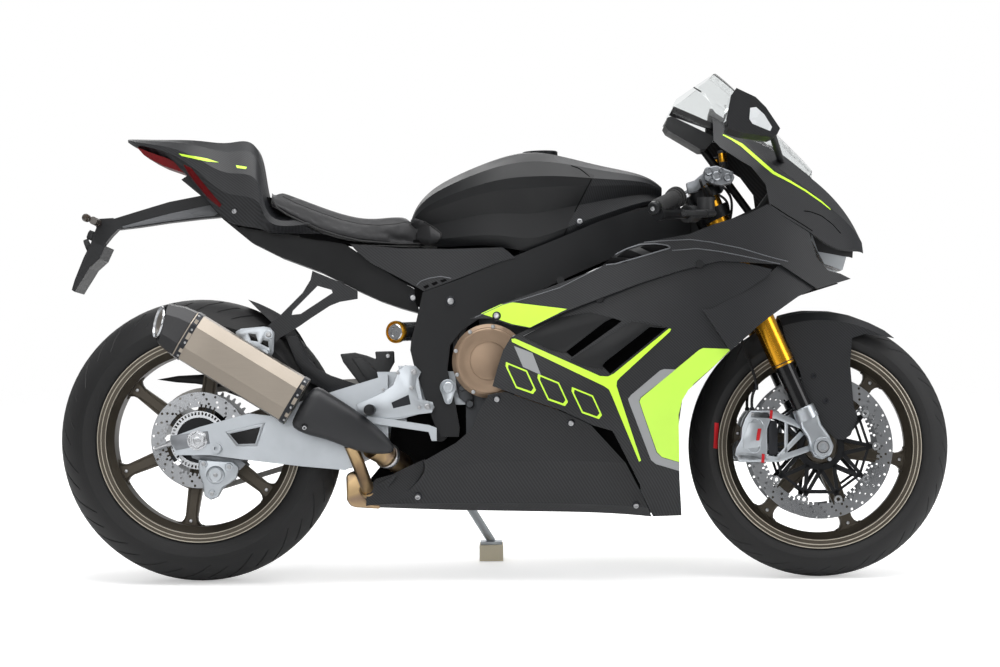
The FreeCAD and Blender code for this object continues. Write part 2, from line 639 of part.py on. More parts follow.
# Front calipers, each with a slot over its disc and two arms to the fork foot
upper_arm_pixels = [(811, 414), (811, 428), (790, 430), (765, 424), (748, 422), (748, 409),
                    (770, 410), (790, 414)]
lower_arm_pixels = [(816, 453), (816, 460), (785, 467), (742, 467), (742, 457), (777, 456),
                    (800, 452)]
caliper_turn = FreeCAD.Rotation(Vector(0, 1, 0), -cell.caliper_angle)
foot_face = cell.fork_half_spacing - cell.foot_width / 2 - cell.seat_gap
caliper = Part.makeBox(cell.caliper_depth, cell.caliper_width, cell.caliper_length)
corner = caliper_turn.multVec(Vector(cell.caliper_place - cell.caliper_depth / 2, 0,
                                     -cell.caliper_length / 2))
caliper.Placement = FreeCAD.Placement(front_axle + corner - Vector(0, foot_face, 0), caliper_turn)
slot = Part.makeCylinder(cell.front_disc_radius + cell.disc_clearance,
                         cell.disc_thickness + 2 * cell.disc_clearance,
                         front_axle - Vector(0, cell.front_disc_place + cell.disc_thickness / 2
                                             + cell.disc_clearance, 0), Vector(0, 1, 0))
arms = [slab(outline(pixels, foot_face), -foot_face, -cell.caliper_arm_inner)
        for pixels in (upper_arm_pixels, lower_arm_pixels)]
leg_base = steer_place.multVec(Vector(cell.clamp_offset, -cell.fork_half_spacing, 0))
leg_room = Part.makeCylinder(cell.fork_leg_radius + cell.seat_gap, cell.fork_tube_low, leg_base,
                             steer_place.Rotation.multVec(Vector(0, 0, 1)))
keepShape("front_calipers", pair(caliper.cut(slot).fuse(arms).cut(leg_room)))

# Front fender: a hoop over the tyre trimmed to its side outline
fender_pixels = [(779, 312), (785, 311), (800, 309.5), (830, 310.5), (850, 315), (870, 322.5),
                 (885, 330), (895, 338), (885, 336.5), (865, 334), (852, 338), (850, 365),
                 (853, 405), (857, 417), (850, 435), (843, 440), (812, 436), (806, 410),
                 (800, 372), (786, 340)]
fender_top = cell.front_radius + cell.fender_gap + cell.fender_wall
fender_out = cell.fender_half_width
fender_in = fender_out - cell.fender_wall
shoulder_radius = fender_top - (fender_out - cell.fender_shoulder)
fender_profile = [(-fender_out, cell.fender_side_radius), (-fender_out, shoulder_radius),
                  (-cell.fender_shoulder, fender_top - cell.fender_wall * 2), (0, fender_top),
                  (cell.fender_shoulder, fender_top - cell.fender_wall * 2),
                  (fender_out, shoulder_radius), (fender_out, cell.fender_side_radius),
                  (fender_in, cell.fender_side_radius),
                  (fender_in, shoulder_radius - cell.fender_wall),
                  (cell.fender_shoulder - cell.fender_wall, fender_top - cell.fender_wall * 3),
                  (0, fender_top - cell.fender_wall),
                  (cell.fender_wall - cell.fender_shoulder, fender_top - cell.fender_wall * 3),
                  (-fender_in, shoulder_radius - cell.fender_wall),
                  (-fender_in, cell.fender_side_radius)]
corners = [Vector(0, y, radius) for y, radius in fender_profile]
hoop = Part.Face(Part.makePolygon(corners + corners[:1]))
hoop = hoop.revolve(Vector(0, 0, 0), Vector(0, 1, 0), 360)
hoop.translate(front_axle)
fender = hoop.common(full_prism(fender_pixels, cell.fender_half_width))
boss_x, boss_z = photo_point(816, 424, cell.fender_half_width)
for side in (-1, 1):
    fender = fender.fuse(Part.makeCylinder(cell.fender_boss, foot_face - fender_in,
                                           Vector(boss_x, side * fender_in, boss_z),
                                           Vector(0, side, 0)))
keepShape("front_fender", fender)

# Frame: a spar and pivot plate on each side, the head casting and two cross tubes
spar_pixels = [(423, 292), (430, 289.5), (460, 279), (500, 262), (560, 238), (600, 221),
               (640, 207), (668, 203), (692, 204), (694, 236), (676, 240), (640, 247),
               (600, 263), (560, 281), (520, 300), (480, 318), (462, 330), (450, 345), (447, 370), (455, 405),
               (459, 428), (458, 437), (440, 437), (434, 425), (425, 400), (413, 363),
               (410, 350), (411, 340), (416, 322), (420, 305)]
frame_shares = [(0.937, 0.937, 0.94, 0.91, 0.70, 0.36), (0.937, 0.937, 0.94, 0.91, 0.70, 0.36),
                (0.937, 0.937, 0.94, 0.91, 0.70, 0.36)]
spar_wall = skin(frame_shares, cell.frame_half, cell.frame_back, cell.frame_step,
                 cell.frame_low, cell.frame_rise, cell.spar_thickness)
spar = spar_wall.common(right_prism(spar_pixels, cell.frame_half))
yoke_room = Part.makeBox(cell.yoke_room_back * 2, cell.body_width, cell.overrun,
                         Vector(-cell.yoke_room_back, -cell.body_width / 2,
                                cell.upper_yoke_low - cell.head_gap))
yoke_room.Placement = steer_place
spar = spar.cut(yoke_room)
head_low = cell.lower_yoke_low + cell.lower_yoke_height + cell.head_gap
head_height = cell.upper_yoke_low - cell.head_gap - head_low
head = Part.makeCylinder(cell.head_radius, head_height, Vector(0, 0, head_low))
gusset = Part.makeBox(cell.head_gusset, cell.head_gusset * 2.2, head_height,
                      Vector(-cell.head_gusset - cell.stem_radius, -cell.head_gusset * 1.1,
                             head_low))
stem_hole = Part.makeCylinder(cell.stem_radius + cell.running_gap, cell.fork_tube_top,
                              Vector(0, 0, cell.overrun))
head = head.fuse(gusset).cut(stem_hole)
head.Placement = steer_place
pivot_place = Vector(cell.pivot_x, 0, cell.pivot_z)
plate_inner = cell.frame_half * 0.937 - cell.spar_thickness / 2
pivot_bolt = Part.makeCylinder(cell.pivot_radius, plate_inner * 2,
                               pivot_place - Vector(0, plate_inner, 0), Vector(0, 1, 0))
lower_tube = Part.makeCylinder(cell.cross_radius, plate_inner * 2,
                               Vector(cell.cross_x, -plate_inner, cell.cross_z),
                               Vector(0, 1, 0))
frame = spar.fuse([mirrored(spar), head, pivot_bolt, lower_tube])

# Side stand: the pin and lug of its pivot belong to the frame
stand_pivot = Vector(cell.stand_pivot_x, cell.stand_pivot_y, cell.stand_pivot_z)
stand_foot = Vector(cell.stand_foot_x, cell.stand_foot_y, 0)
tilt = math.radians(cell.lean_angle)
foot_top = cell.block_height + cell.seat_gap - lean_lift
foot_level = (foot_top + stand_foot.y * math.sin(tilt)) / math.cos(tilt)
stand_foot.z = foot_level + cell.stand_foot_height
leg_line = stand_foot - stand_pivot
folded_share = Vector(-0.96, 0.27, 0.07)
stand_axis = Vector(leg_line).normalize().cross(folded_share).normalize()
pin = Part.makeCylinder(cell.stand_pin_radius, cell.stand_pin_length,
                        stand_pivot - stand_axis * (cell.stand_eye_length / 2), stand_axis)
lug_base = stand_pivot + stand_axis * (cell.stand_eye_length / 2 + cell.seat_gap)
lug = Part.makeCylinder(cell.bracket_radius, cell.bracket_length, lug_base, stand_axis)
lug_middle = lug_base + stand_axis * (cell.bracket_length / 2)
strut_line = Vector(cell.cross_x, plate_inner, cell.cross_z) - lug_middle
strut = Part.makeCylinder(cell.bracket_radius * 0.7, strut_line.Length, lug_middle, strut_line)
frame = largest(frame.fuse([pin, lug, strut]), 1)
keepShape("frame", frame)
eye = Part.makeCylinder(cell.stand_eye_radius, cell.stand_eye_length,
                        stand_pivot - stand_axis * (cell.stand_eye_length / 2), stand_axis)
eye_bore = Part.makeCylinder(cell.stand_pin_radius + cell.running_gap, cell.stand_pin_length * 2,
                             stand_pivot - stand_axis * cell.stand_pin_length, stand_axis)
leg = Part.makeCylinder(cell.stand_leg_radius, leg_line.Length, stand_pivot, leg_line)
floor_turn = lean_turn.inverted()
sole = Part.makeBox(cell.stand_foot_length, cell.stand_foot_width, cell.stand_foot_height,
                    Vector(-cell.stand_foot_length / 2, -cell.stand_foot_width / 2,
                           -cell.stand_foot_height))
sole.Placement = FreeCAD.Placement(stand_foot, floor_turn)
keepShape("side_stand", eye.fuse([leg, sole]).cut(eye_bore))

# Swingarm: two arms, a bridge and a barrel on the pivot bolt
arm_pixels = [(170, 438), (200, 427), (250, 413.5), (270, 416), (300, 402), (345, 388),
              (388, 375), (388, 450), (345, 470), (300, 466), (240, 459), (210, 455),
              (176, 455)]
spool_pixels = (215.5, 448.5)
arm_points = outline(arm_pixels, cell.right_arm_inner)
right_arm = slab(arm_points, -cell.right_arm_inner - cell.arm_thickness, -cell.right_arm_inner)
left_arm = slab(arm_points, cell.left_arm_inner, cell.left_arm_inner + cell.arm_thickness)
bridge = Part.makeBox(cell.arm_box_length,
                      cell.right_arm_inner + cell.left_arm_inner + cell.arm_thickness,
                      cell.arm_box_height,
                      Vector(cell.arm_box_back, -cell.right_arm_inner - cell.arm_thickness / 2,
                             cell.arm_box_low))
barrel_back = cell.arm_box_back + cell.arm_box_length / 2
barrel = Part.makeBox(cell.pivot_x - barrel_back + cell.barrel_height / 2, cell.pivot_half * 2,
                      cell.barrel_height,
                      Vector(barrel_back, -cell.pivot_half,
                             cell.pivot_z - cell.barrel_height / 2))
axle_hole = Part.makeCylinder(cell.rear_axle_radius + cell.running_gap, cell.body_width,
                              rear_axle - Vector(0, cell.body_width / 2, 0), Vector(0, 1, 0))
bolt_hole = Part.makeCylinder(cell.pivot_radius + cell.seat_gap, cell.body_width,
                              pivot_place - Vector(0, cell.body_width / 2, 0), Vector(0, 1, 0))
swingarm = right_arm.fuse([left_arm, bridge, barrel]).cut(axle_hole).cut(bolt_hole)
swingarm = swingarm.cut(frame)
spool_x, spool_z = photo_point(spool_pixels[0], spool_pixels[1],
                               cell.right_arm_inner + cell.arm_thickness)
keepShape("swingarm", swingarm)

# Threaded bosses on the swingarm for the hooks of a paddock stand
spool_bosses = []
for side, inner in ((-1, cell.right_arm_inner), (1, cell.left_arm_inner)):
    foot = Vector(spool_x, side * (inner + cell.arm_thickness + cell.seat_gap), spool_z)
    mouth = foot + Vector(0, side * cell.spool_boss_length, 0)
    form = Part.makeCylinder(cell.spool_boss_radius, cell.spool_boss_length, foot,
                             Vector(0, side, 0))
    spool_bosses.append(form.cut(Part.makeCylinder(cell.spool_radius, cell.spool_depth, mouth,
                                                   Vector(0, -side, 0))))
keepShape("spool_bosses", Part.makeCompound(spool_bosses))

# Chain: one closed loop round both sprockets
drive = Vector(cell.front_sprocket_x, cell.chain_place, cell.front_sprocket_z)


def chain_loop(rear, front, width):
    # Two discs and the strip between their common tangents
    driven = rear_axle + Vector(0, cell.chain_place, 0)
    line = Vector(drive.x - driven.x, 0, drive.z - driven.z)
    heading = math.atan2(line.z, line.x)
    opening = math.acos((rear - front) / line.Length)
    corners = []
    for centre, radius in ((driven, rear), (drive, front)):
        for turn in (opening, -opening):
            angle = heading + turn
            corners.append(Vector(centre.x + radius * math.cos(angle),
                                  cell.chain_place - width / 2,
                                  centre.z + radius * math.sin(angle)))
    ring = [corners[0], corners[2], corners[3], corners[1], corners[0]]
    strip = Part.Face(Part.makePolygon(ring)).extrude(Vector(0, width, 0))
    ends = [Part.makeCylinder(radius, width, centre - Vector(0, width / 2, 0), Vector(0, 1, 0))
            for centre, radius in ((driven, rear), (drive, front))]
    return strip.fuse(ends).removeSplitter()


half_chain = cell.chain_height / 2
chain = chain_loop(cell.chain_pitch_radius + half_chain, cell.chain_drive_radius + half_chain,
                   cell.chain_width)
chain_inside = chain_loop(cell.chain_pitch_radius - half_chain,
                          cell.chain_drive_radius - half_chain, cell.chain_width * 2)
keepShape("chain", chain.cut(chain_inside))
pocket_floor = cell.chain_place - cell.chain_width
drive_shaft = Part.makeCylinder(cell.drive_shaft_radius, cell.chain_width,
                                Vector(drive.x, pocket_floor, drive.z),
                                Vector(0, 1, 0))
drive_ring = Part.makeCylinder(cell.chain_drive_radius - half_chain - cell.seat_gap,
                               cell.sprocket_thickness,
                               drive - Vector(0, cell.sprocket_thickness / 2, 0),
                               Vector(0, 1, 0))
drive_sprocket = drive_shaft.fuse(drive_ring)

# Shock with its reservoir
shock_body = Part.makeCylinder(cell.shock_radius, cell.shock_length,
                               Vector(cell.shock_x, 0, cell.shock_low))
reservoir_x, reservoir_z = photo_point(396, 332, cell.reservoir_place)
reservoir = Part.makeCylinder(cell.reservoir_radius, cell.reservoir_length,
                              Vector(reservoir_x, -cell.reservoir_place, reservoir_z),
                              Vector(0, 1, 0))
reservoir_arm = Part.makeCylinder(cell.reservoir_arm_radius, cell.reservoir_arm,
                                  Vector(reservoir_x, -plate_inner - cell.reservoir_arm_radius,
                                         reservoir_z), Vector(1, 0, 0))
reservoir = reservoir.fuse(reservoir_arm).cut(frame)
keepShape("shock", Part.makeCompound([shock_body, reservoir]))

# Engine: the crankcase and two cylinder banks, with a pocket for the drive sprocket
case = Part.makeBox(cell.case_length, cell.case_half * 2, cell.case_height,
                    Vector(cell.case_back, -cell.case_half, cell.case_low))
banks = []
for x, z, angle in ((cell.front_bank_x, cell.front_bank_z, cell.front_bank_angle),
                    (cell.rear_bank_x, cell.rear_bank_z, cell.rear_bank_angle)):
    bank = Part.makeBox(cell.bank_length, cell.bank_half * 2, cell.bank_height,
                        Vector(-cell.bank_length / 2, -cell.bank_half, 0))
    bank.Placement = FreeCAD.Placement(Vector(x, 0, z),
                                       FreeCAD.Rotation(Vector(0, 1, 0), angle))
    banks.append(bank)
pocket = Part.makeBox(cell.sprocket_pocket_length, cell.case_half, cell.sprocket_pocket_height,
                      Vector(cell.case_back, pocket_floor,
                             cell.front_sprocket_z - cell.sprocket_pocket_height / 2))
lug_pixels = [(495, 288), (530, 288), (530, 322), (495, 322)]
lug_form = slab(outline(lug_pixels, cell.engine_lug_inner), -cell.engine_lug_outer,
                -cell.engine_lug_inner)
engine = case.fuse(banks + [lug_form, mirrored(lug_form)]).cut(pocket).cut(frame)
engine = engine.fuse(drive_sprocket)
keepShape("engine", engine)

# Round covers on the engine's sides
cover_items = []
for name, spot, radius in (("clutch", (489, 361), "clutch_radius"),
                           ("lower", (539, 394), "lower_cover_radius")):
    x, z = photo_point(spot[0], spot[1], cell.case_half + cell.cover_depth)
    for side in (-1, 1):
        base = Vector(x, side * (cell.case_half + cell.seat_gap), z)
        cover_items.append((name, side, base, getattr(cell, radius)))
covers = []
for side in (-1, 1):
    forms = []
    for name, cover_side, base, radius in cover_items:
        if cover_side == side:
            depth = cell.cover_depth - cell.cover_bevel
            forms.append(Part.makeCylinder(radius, depth, base, Vector(0, side, 0)))
            forms.append(Part.makeCone(radius, radius - cell.cover_bevel, cell.cover_bevel,
                                       base + Vector(0, side * depth, 0), Vector(0, side, 0)))
    covers.append(forms[0].fuse(forms[1:]))
chain_room = chain_loop(cell.chain_pitch_radius + half_chain * 2,
                        cell.chain_drive_radius + half_chain * 2, cell.chain_width * 2)
keepShape("engine_covers", Part.makeCompound(covers).cut(chain_room).cut(frame))

# Radiator with a header tank at each end
radiator_turn = FreeCAD.Rotation(Vector(0, 1, 0), cell.radiator_tilt)
core = Part.makeBox(cell.radiator_depth, cell.radiator_half * 2, cell.radiator_height)
core.Placement = FreeCAD.Placement(Vector(cell.radiator_x, -cell.radiator_half,
                                          cell.radiator_z), radiator_turn)
straps = [Part.makeCylinder(cell.strap_radius, cell.strap_length,
                            Vector(cell.strap_x, side * cell.strap_place, cell.strap_low))
          for side in (-1, 1)]
radiator = core.fuse(straps).cut(frame)
keepShape("radiator", radiator)

# Stay from the head casting to the dash, the nose and the mirrors
stay_beam = Part.makeBox(cell.stay_reach - cell.stem_radius, cell.stay_half * 2,
                         cell.stay_height, Vector(cell.stem_radius, -cell.stay_half,
                                                  cell.stay_low))
stay_beam.Placement = steer_place
stay_middle = steer_place.multVec(Vector(cell.stay_reach - cell.stay_rod * 3, 0,
                                         cell.stay_low + cell.stay_height / 2))
cross_middle = Vector(cell.stay_cross_x, 0, cell.stay_cross_z)
dash_foot_x, dash_foot_z = photo_point(697, 140, 0)
rods = []
for end in (cross_middle, Vector(dash_foot_x, 0, dash_foot_z)):
    line = end - stay_middle
    rods.append(Part.makeCylinder(cell.stay_rod, line.Length, stay_middle, line))
rods.append(Part.makeCylinder(cell.stay_rod, cell.stay_cross_half * 2,
                              cross_middle - Vector(0, cell.stay_cross_half, 0),
                              Vector(0, 1, 0)))
stay_form = stay_beam.fuse(rods)
# Rearsets: a plate, a peg and a pedal on each side
rearset_pixels = [(398, 366), (415, 366), (421, 372), (418, 378), (422, 400), (432, 402),
                  (434, 408), (428, 412), (400, 419), (368, 423), (360, 415), (365, 405),
                  (395, 385), (402, 382)]
peg_pixels = (370, 410)
pedal_pixels = [(366, 417), (374, 417), (428, 425), (436, 428), (436, 441), (431, 441),
                (428, 432), (368, 423)]
plate = slab(outline(rearset_pixels, cell.rearset_inner),
             -cell.rearset_inner - cell.rearset_thickness, -cell.rearset_inner)
peg_x, peg_z = photo_point(peg_pixels[0], peg_pixels[1], cell.rearset_inner)
peg_base = Vector(peg_x, -cell.rearset_inner, peg_z)
peg = Part.makeCylinder(cell.peg_radius, cell.peg_length + cell.rearset_thickness, peg_base,
                        Vector(0, -1, 0))
pedal_out = cell.rearset_inner + cell.rearset_thickness
pedal = slab(outline(pedal_pixels, pedal_out), -pedal_out - cell.pedal_thickness, -pedal_out)
boss_x, boss_z = photo_point(412, 372, cell.rearset_inner)
boss = Part.makeCylinder(cell.peg_radius, cell.rearset_inner - cell.frame_half * 0.8,
                         Vector(boss_x, -cell.rearset_inner, boss_z), Vector(0, 1, 0))
rearset = plate.fuse([peg, pedal, boss]).cut(frame)
keepShape("rearsets", pair(rearset))

# Muffler: a deep oval sleeve with an end cap and an inlet cone, slanting down to the front
muffler_stations = [  # column and row of the axis, height share, width share
    (166, 323, 0.50, 0.55), (172, 327, 0.86, 0.90), (186, 334, 1.0, 1.0), (297, 402, 1.0, 1.0),
    (318, 411, 0.92, 0.92), (350, 426, 0.66, 0.70), (392, 443, 0.36, 0.42),
]
oval_share = [(0, 1), (0.62, 0.94), (1, 0.46), (1, -0.46), (0.62, -0.94), (0, -1)]
axis_ends = [photo_point(u, v, cell.muffler_place)
             for u, v, tall, wide in (muffler_stations[2], muffler_stations[3])]
muffler_turn = math.atan2(axis_ends[1][1] - axis_ends[0][1], axis_ends[1][0] - axis_ends[0][0])


def muffler_section(u, v, tall, wide):
    x, z = photo_point(u, v, cell.muffler_place)
    half = cell.muffler_height / 2
    ring = oval_share + [(-across, up) for across, up in reversed(oval_share[1:-1])]
    corners = [Vector(x - math.sin(muffler_turn) * up * half * tall,
                      -cell.muffler_place + across * cell.muffler_half * wide,
                      z + math.cos(muffler_turn) * up * half * tall) for across, up in ring]
    return Part.makePolygon(corners + corners[:1])


muffler_rings = [muffler_section(*station) for station in muffler_stations]
muffler = Part.makeLoft(muffler_rings[2:4], True, False)
keepShape("muffler", muffler)

# Exhaust: the collector canister and the pipe that links it to the muffler
canister = Part.makeCylinder(cell.canister_radius, cell.canister_half * 2,
                             Vector(cell.canister_x, -cell.canister_half, cell.canister_z),
                             Vector(0, 1, 0))
inlet_x, inlet_z = photo_point(393, 446, cell.muffler_place)
bend_pixels = [(420, 462), (402, 482)]
link_points = [Vector(inlet_x, -cell.muffler_place, inlet_z)]
for (u, v), share in zip(bend_pixels, (0.8, 0.55)):
    x, z = photo_point(u, v, cell.muffler_place * share)
    link_points.append(Vector(x, -cell.muffler_place * share, z))
link_points.append(Vector(cell.canister_x, -cell.canister_half / 2, cell.canister_z))
link = tube(link_points, cell.pipe_radius, cell.pipe_bend)
muffler_inlet = Part.makeLoft(muffler_rings[3:], True, True)
headers = [Part.makeCylinder(cell.header_radius, cell.header_front - cell.canister_x,
                             Vector(cell.canister_x, side * cell.header_place,
                                    cell.canister_z), Vector(1, 0, 0)) for side in (-1, 1)]
exhaust_pipe = canister.fuse([link] + headers).cut(muffler_inlet)
muffler_cap = Part.makeLoft(muffler_rings[:3], True, True)
keepShape("muffler_ends", Part.makeCompound([muffler_cap, muffler_inlet]))
keepShape("exhaust_pipe", exhaust_pipe)

# Rear brake caliper under the axle, and its arm
caliper_base = rear_axle + Vector(-cell.caliper_depth / 2, -cell.right_arm_inner + cell.seat_gap,
                                  -cell.rear_disc_radius - cell.caliper_depth / 4)
rear_caliper = Part.makeBox(cell.caliper_depth, cell.caliper_width * 0.9,
                            cell.caliper_depth * 0.9, caliper_base)
slot = Part.makeCylinder(cell.rear_disc_radius + cell.disc_clearance,
                         cell.disc_thickness + 2 * cell.disc_clearance,
                         rear_axle - Vector(0, cell.rear_disc_place + cell.disc_thickness / 2
                                            + cell.disc_clearance, 0), Vector(0, 1, 0))
rear_caliper = rear_caliper.cut(slot)
caliper_arm = Part.makeBox(cell.caliper_depth / 2, cell.panel_wall * 2,
                           cell.rear_disc_radius,
                           rear_axle + Vector(-cell.caliper_depth / 4,
                                              -cell.right_arm_inner + cell.seat_gap,
                                              -cell.rear_disc_radius))
keepShape("rear_caliper", rear_caliper.fuse(caliper_arm).cut(
    Part.makeCylinder(cell.rear_axle_radius + cell.seat_gap, cell.body_width,
                      rear_axle - Vector(0, cell.body_width / 2, 0), Vector(0, 1, 0))))

# Rear hugger over the front of the rear tyre
hugger_pixels = [(247, 299), (280, 311), (296, 333), (327, 388), (360, 384), (394, 351),
                 (394, 365), (378, 392), (362, 402), (362, 418), (335, 418), (322, 396),
                 (286, 337), (270, 321), (256, 308)]
hug_top = cell.rear_radius + cell.fender_gap + cell.fender_wall
hug_half = cell.rear_half_width + cell.disc_clearance
hug_profile = [(-hug_half, hug_top - cell.rear_crown_drop), (-hug_half * 0.55, hug_top),
               (hug_half * 0.55, hug_top), (hug_half, hug_top - cell.rear_crown_drop)]
hug_corners = [Vector(0, y, radius) for y, radius in hug_profile]
hug_corners += [Vector(0, y * 0.97, radius - cell.fender_wall) for y, radius in hug_profile[::-1]]
hug_ring = Part.Face(Part.makePolygon(hug_corners + hug_corners[:1]))
hug_ring = hug_ring.revolve(Vector(0, 0, 0), Vector(0, 1, 0), 360)
hug_ring.translate(rear_axle)
hugger = hug_ring.common(full_prism(hugger_pixels, cell.rear_half_width))
keepShape("rear_hugger", hugger.cut(swingarm))

# Tank and airbox cover: one form parted along the seam
tank_profile_share = [(0, 0), (0.8, 0), (0.86, 0.12), (0.8, 0.36), (0.97, 0.6), (1, 0.71),
                      (0.9, 0.86), (0.58, 0.96), (0, 1)]
tank_stations = [  # column, top row, lower row, width share
    (413, 219, 240, 0.34), (431, 192, 245, 0.58), (455, 177, 246, 0.76), (490, 162, 245, 0.92),
    (530, 152.5, 250, 1.0), (565, 157, 238, 0.98), (600, 166, 222, 0.86), (635, 174, 208, 0.70),
    (661, 188, 203, 0.52),
]
seam_pixels = [(556, 157), (562, 162), (580, 167), (596, 175), (588, 190), (581, 203),
               (570, 222), (566, 250), (700, 260), (700, 130), (556, 130)]
tank_form = body_loft(tank_stations, cell.tank_half, tank_profile_share)
cover_room = full_prism(seam_pixels, cell.tank_half)
fuel_tank = tank_form.cut(cover_room).cut(frame)
keepShape("fuel_tank", fuel_tank)
airbox_cover = tank_form.common(cover_room).cut(frame)
keepShape("airbox_cover", airbox_cover)

# Filler cap on the tank's crown
cap_x, cap_z = photo_point(540, 153, 0)
cap = Part.makeCylinder(cell.cap_radius, cell.cap_height * 4,
                        Vector(cap_x, 0, cap_z - cell.cap_height * 2))
keepShape("fuel_cap", cap.cut(tank_form))

# Seat
seat_profile_share = [(0, 0), (0.95, 0), (1, 0.35), (0.93, 0.78), (0.66, 0.95), (0, 1)]
seat_stations = [
    (273, 191, 206, 0.78), (300, 200, 221, 0.92), (340, 214.5, 238, 1.0), (375, 220.5, 243, 0.94),
    (402, 218, 245, 0.72), (425, 224, 245, 0.52), (437, 234, 241, 0.40),
]
seat_form = body_loft(seat_stations, cell.seat_half, seat_profile_share)
keepShape("seat", seat_form.cut(fuel_tank))

# Tail cowl with its hump, and the strip that runs below the seat
tail_profile_share = [(0, 0), (0.82, 0), (1, 0.34), (0.95, 0.6), (0.64, 0.88), (0.42, 1), (0, 1)]
tail_stations = [
    (131, 140, 142.5, 0.30), (150, 140.5, 151, 0.46), (175, 141, 162, 0.62),
    (200, 142, 185, 0.76), (235, 144, 222, 0.9), (257, 147, 227, 0.97), (268, 186, 230, 1.0),
    (300, 214, 233, 1.04), (334, 234, 240, 1.08),
]
tail_form = body_loft(tail_stations, cell.tail_half, tail_profile_share)
tail_cowl = largest(tail_form.cut(seat_form), 1)
keepShape("tail_cowl", tail_cowl)

# Tail lamp under the cowl's rear edge
lamp_pixels = [(138, 147), (150, 152), (170, 159), (190, 170), (188, 174), (165, 166),
               (155, 161), (145, 155)]
tail_lamp = slab(outline(lamp_pixels, cell.tail_lamp_half), -cell.tail_lamp_half,
                 cell.tail_lamp_half)
keepShape("tail_lamp", tail_lamp.cut(tail_form))

# Subframe: the tray between the tail cowl, the seat and the frame
tray_pixels = [(190, 171), (204, 181), (237, 226), (300, 235), (345, 243), (395, 277),
               (414, 288), (418, 312), (400, 307), (380, 300), (360, 291), (320, 271),
               (280, 256), (250, 241), (222, 218), (203, 197), (180, 178)]
side_shares = [(0.25, 0.45, 0.62, 0.92, 1.0, 1.0), (0.3, 0.55, 0.68, 0.92, 1.0, 1.0),
               (0.38, 0.62, 0.72, 0.92, 1.0, 1.0), (0.4, 0.66, 0.74, 0.9, 1.0, 1.0)]
tray = skin(side_shares, cell.side_half, cell.side_back, cell.side_step, cell.side_low,
            cell.side_rise, cell.side_half * 0.2)
tray = tray.common(right_prism(tray_pixels, cell.tail_half))
tray_floor = slab(outline(tray_pixels, cell.tail_half), -cell.tail_half * 0.5,
                  cell.tail_half * 0.5)
subframe = tray.fuse([mirrored(tray), tray_floor]).cut(tail_form).cut(seat_form).cut(frame)
subframe = subframe.cut(Part.makeCylinder(hug_top + cell.disc_clearance * 4, cell.body_width,
                                          rear_axle - Vector(0, cell.body_width / 2, 0),
                                          Vector(0, 1, 0)))
subframe = largest(subframe, 1)
keepShape("subframe", subframe)

# Carbon hanger from the subframe to the muffler, with its slot, and the bracket it holds
hanger_pixels = [(313, 271), (311, 280), (303, 293), (280, 316), (268, 326), (276, 342),
                 (280, 338), (300, 326), (310, 319), (330, 306), (340, 302), (358, 299),
                 (358, 291), (340, 282)]
hanger_slot_pixels = [(318, 286), (332, 290), (333, 293), (301, 314), (292, 315), (293, 311)]
hanger = slab(outline(hanger_pixels, cell.hanger_inner), -cell.hanger_inner - cell.hanger_wall,
              -cell.hanger_inner)
hanger = hanger.cut(right_prism(hanger_slot_pixels, cell.hanger_inner))
boss_x, boss_z = photo_point(340, 285, cell.hanger_inner)
hanger_boss = Part.makeCylinder(cell.hanger_boss, cell.hanger_inner - cell.tail_half / 2,
                                Vector(boss_x, -cell.hanger_inner, boss_z), Vector(0, 1, 0))
keepShape("muffler_hanger", largest(hanger.fuse(hanger_boss).cut(subframe), 1))
bracket_pixels = [(235, 330), (265, 328), (276, 332), (276, 372), (250, 356), (235, 338)]
bracket_inner = cell.hanger_inner + cell.hanger_wall + cell.seat_gap
bracket = slab(outline(bracket_pixels, bracket_inner), -bracket_inner - cell.hanger_wall * 1.7,
               -bracket_inner)
boss_x, boss_z = photo_point(264, 362, cell.muffler_place)
boss = Part.makeCylinder(cell.hanger_boss, cell.muffler_place - bracket_inner,
                         Vector(boss_x, -bracket_inner, boss_z), Vector(0, -1, 0))
keepShape("muffler_bracket", largest(bracket.fuse(boss).cut(muffler), 1))

# Carbon side covers below the seat and the tank
side_cover_pixels = [(350, 243), (400, 248), (450, 249), (503, 247.5), (508, 251), (516, 258),
                     (500, 262), (460, 278), (430, 289), (424, 291), (410, 283), (370, 262),
                     (355, 249)]
side_cover = skin(side_shares, cell.side_half, cell.side_back, cell.side_step, cell.side_low,
                  cell.side_rise, cell.cover_thickness)
side_cover = side_cover.common(right_prism(side_cover_pixels, cell.side_half))
side_cover = side_cover.cut(tank_form).cut(seat_form).cut(subframe).cut(frame)
keepShape("side_covers", pair(side_cover))

# Plate hanger with its arm and plate bracket, and the two rear indicators
hanger_arm_pixels = [(114, 219), (140, 211), (170, 202), (203, 195.5), (211, 203), (222, 214),
                     (222, 217), (200, 219), (170, 222.5), (140, 227), (119, 229.5)]
neck_pixels = [(119, 229), (112, 236), (104, 246), (92, 244), (92, 240), (97, 228), (97, 219),
               (114, 218)]
plate_pixels = [(106, 246), (100, 259), (90, 268), (85, 276), (78, 287), (75, 292), (72, 290),
                (75, 280), (84, 258), (92, 242)]
arm_solid = slab(outline(hanger_arm_pixels, cell.hanger_half), -cell.hanger_half,
                 cell.hanger_half)
plate_solid = slab(outline(plate_pixels, cell.plate_half), -cell.plate_half, cell.plate_half)
neck_solid = slab(outline(neck_pixels, cell.hanger_half), -cell.hanger_half, cell.hanger_half)
plate_hanger = arm_solid.fuse([neck_solid, plate_solid]).cut(tail_form).cut(subframe)
keepShape("plate_hanger", plate_hanger)
spot_x, spot_z = photo_point(99, 223, cell.hanger_half)
rear_indicators = []
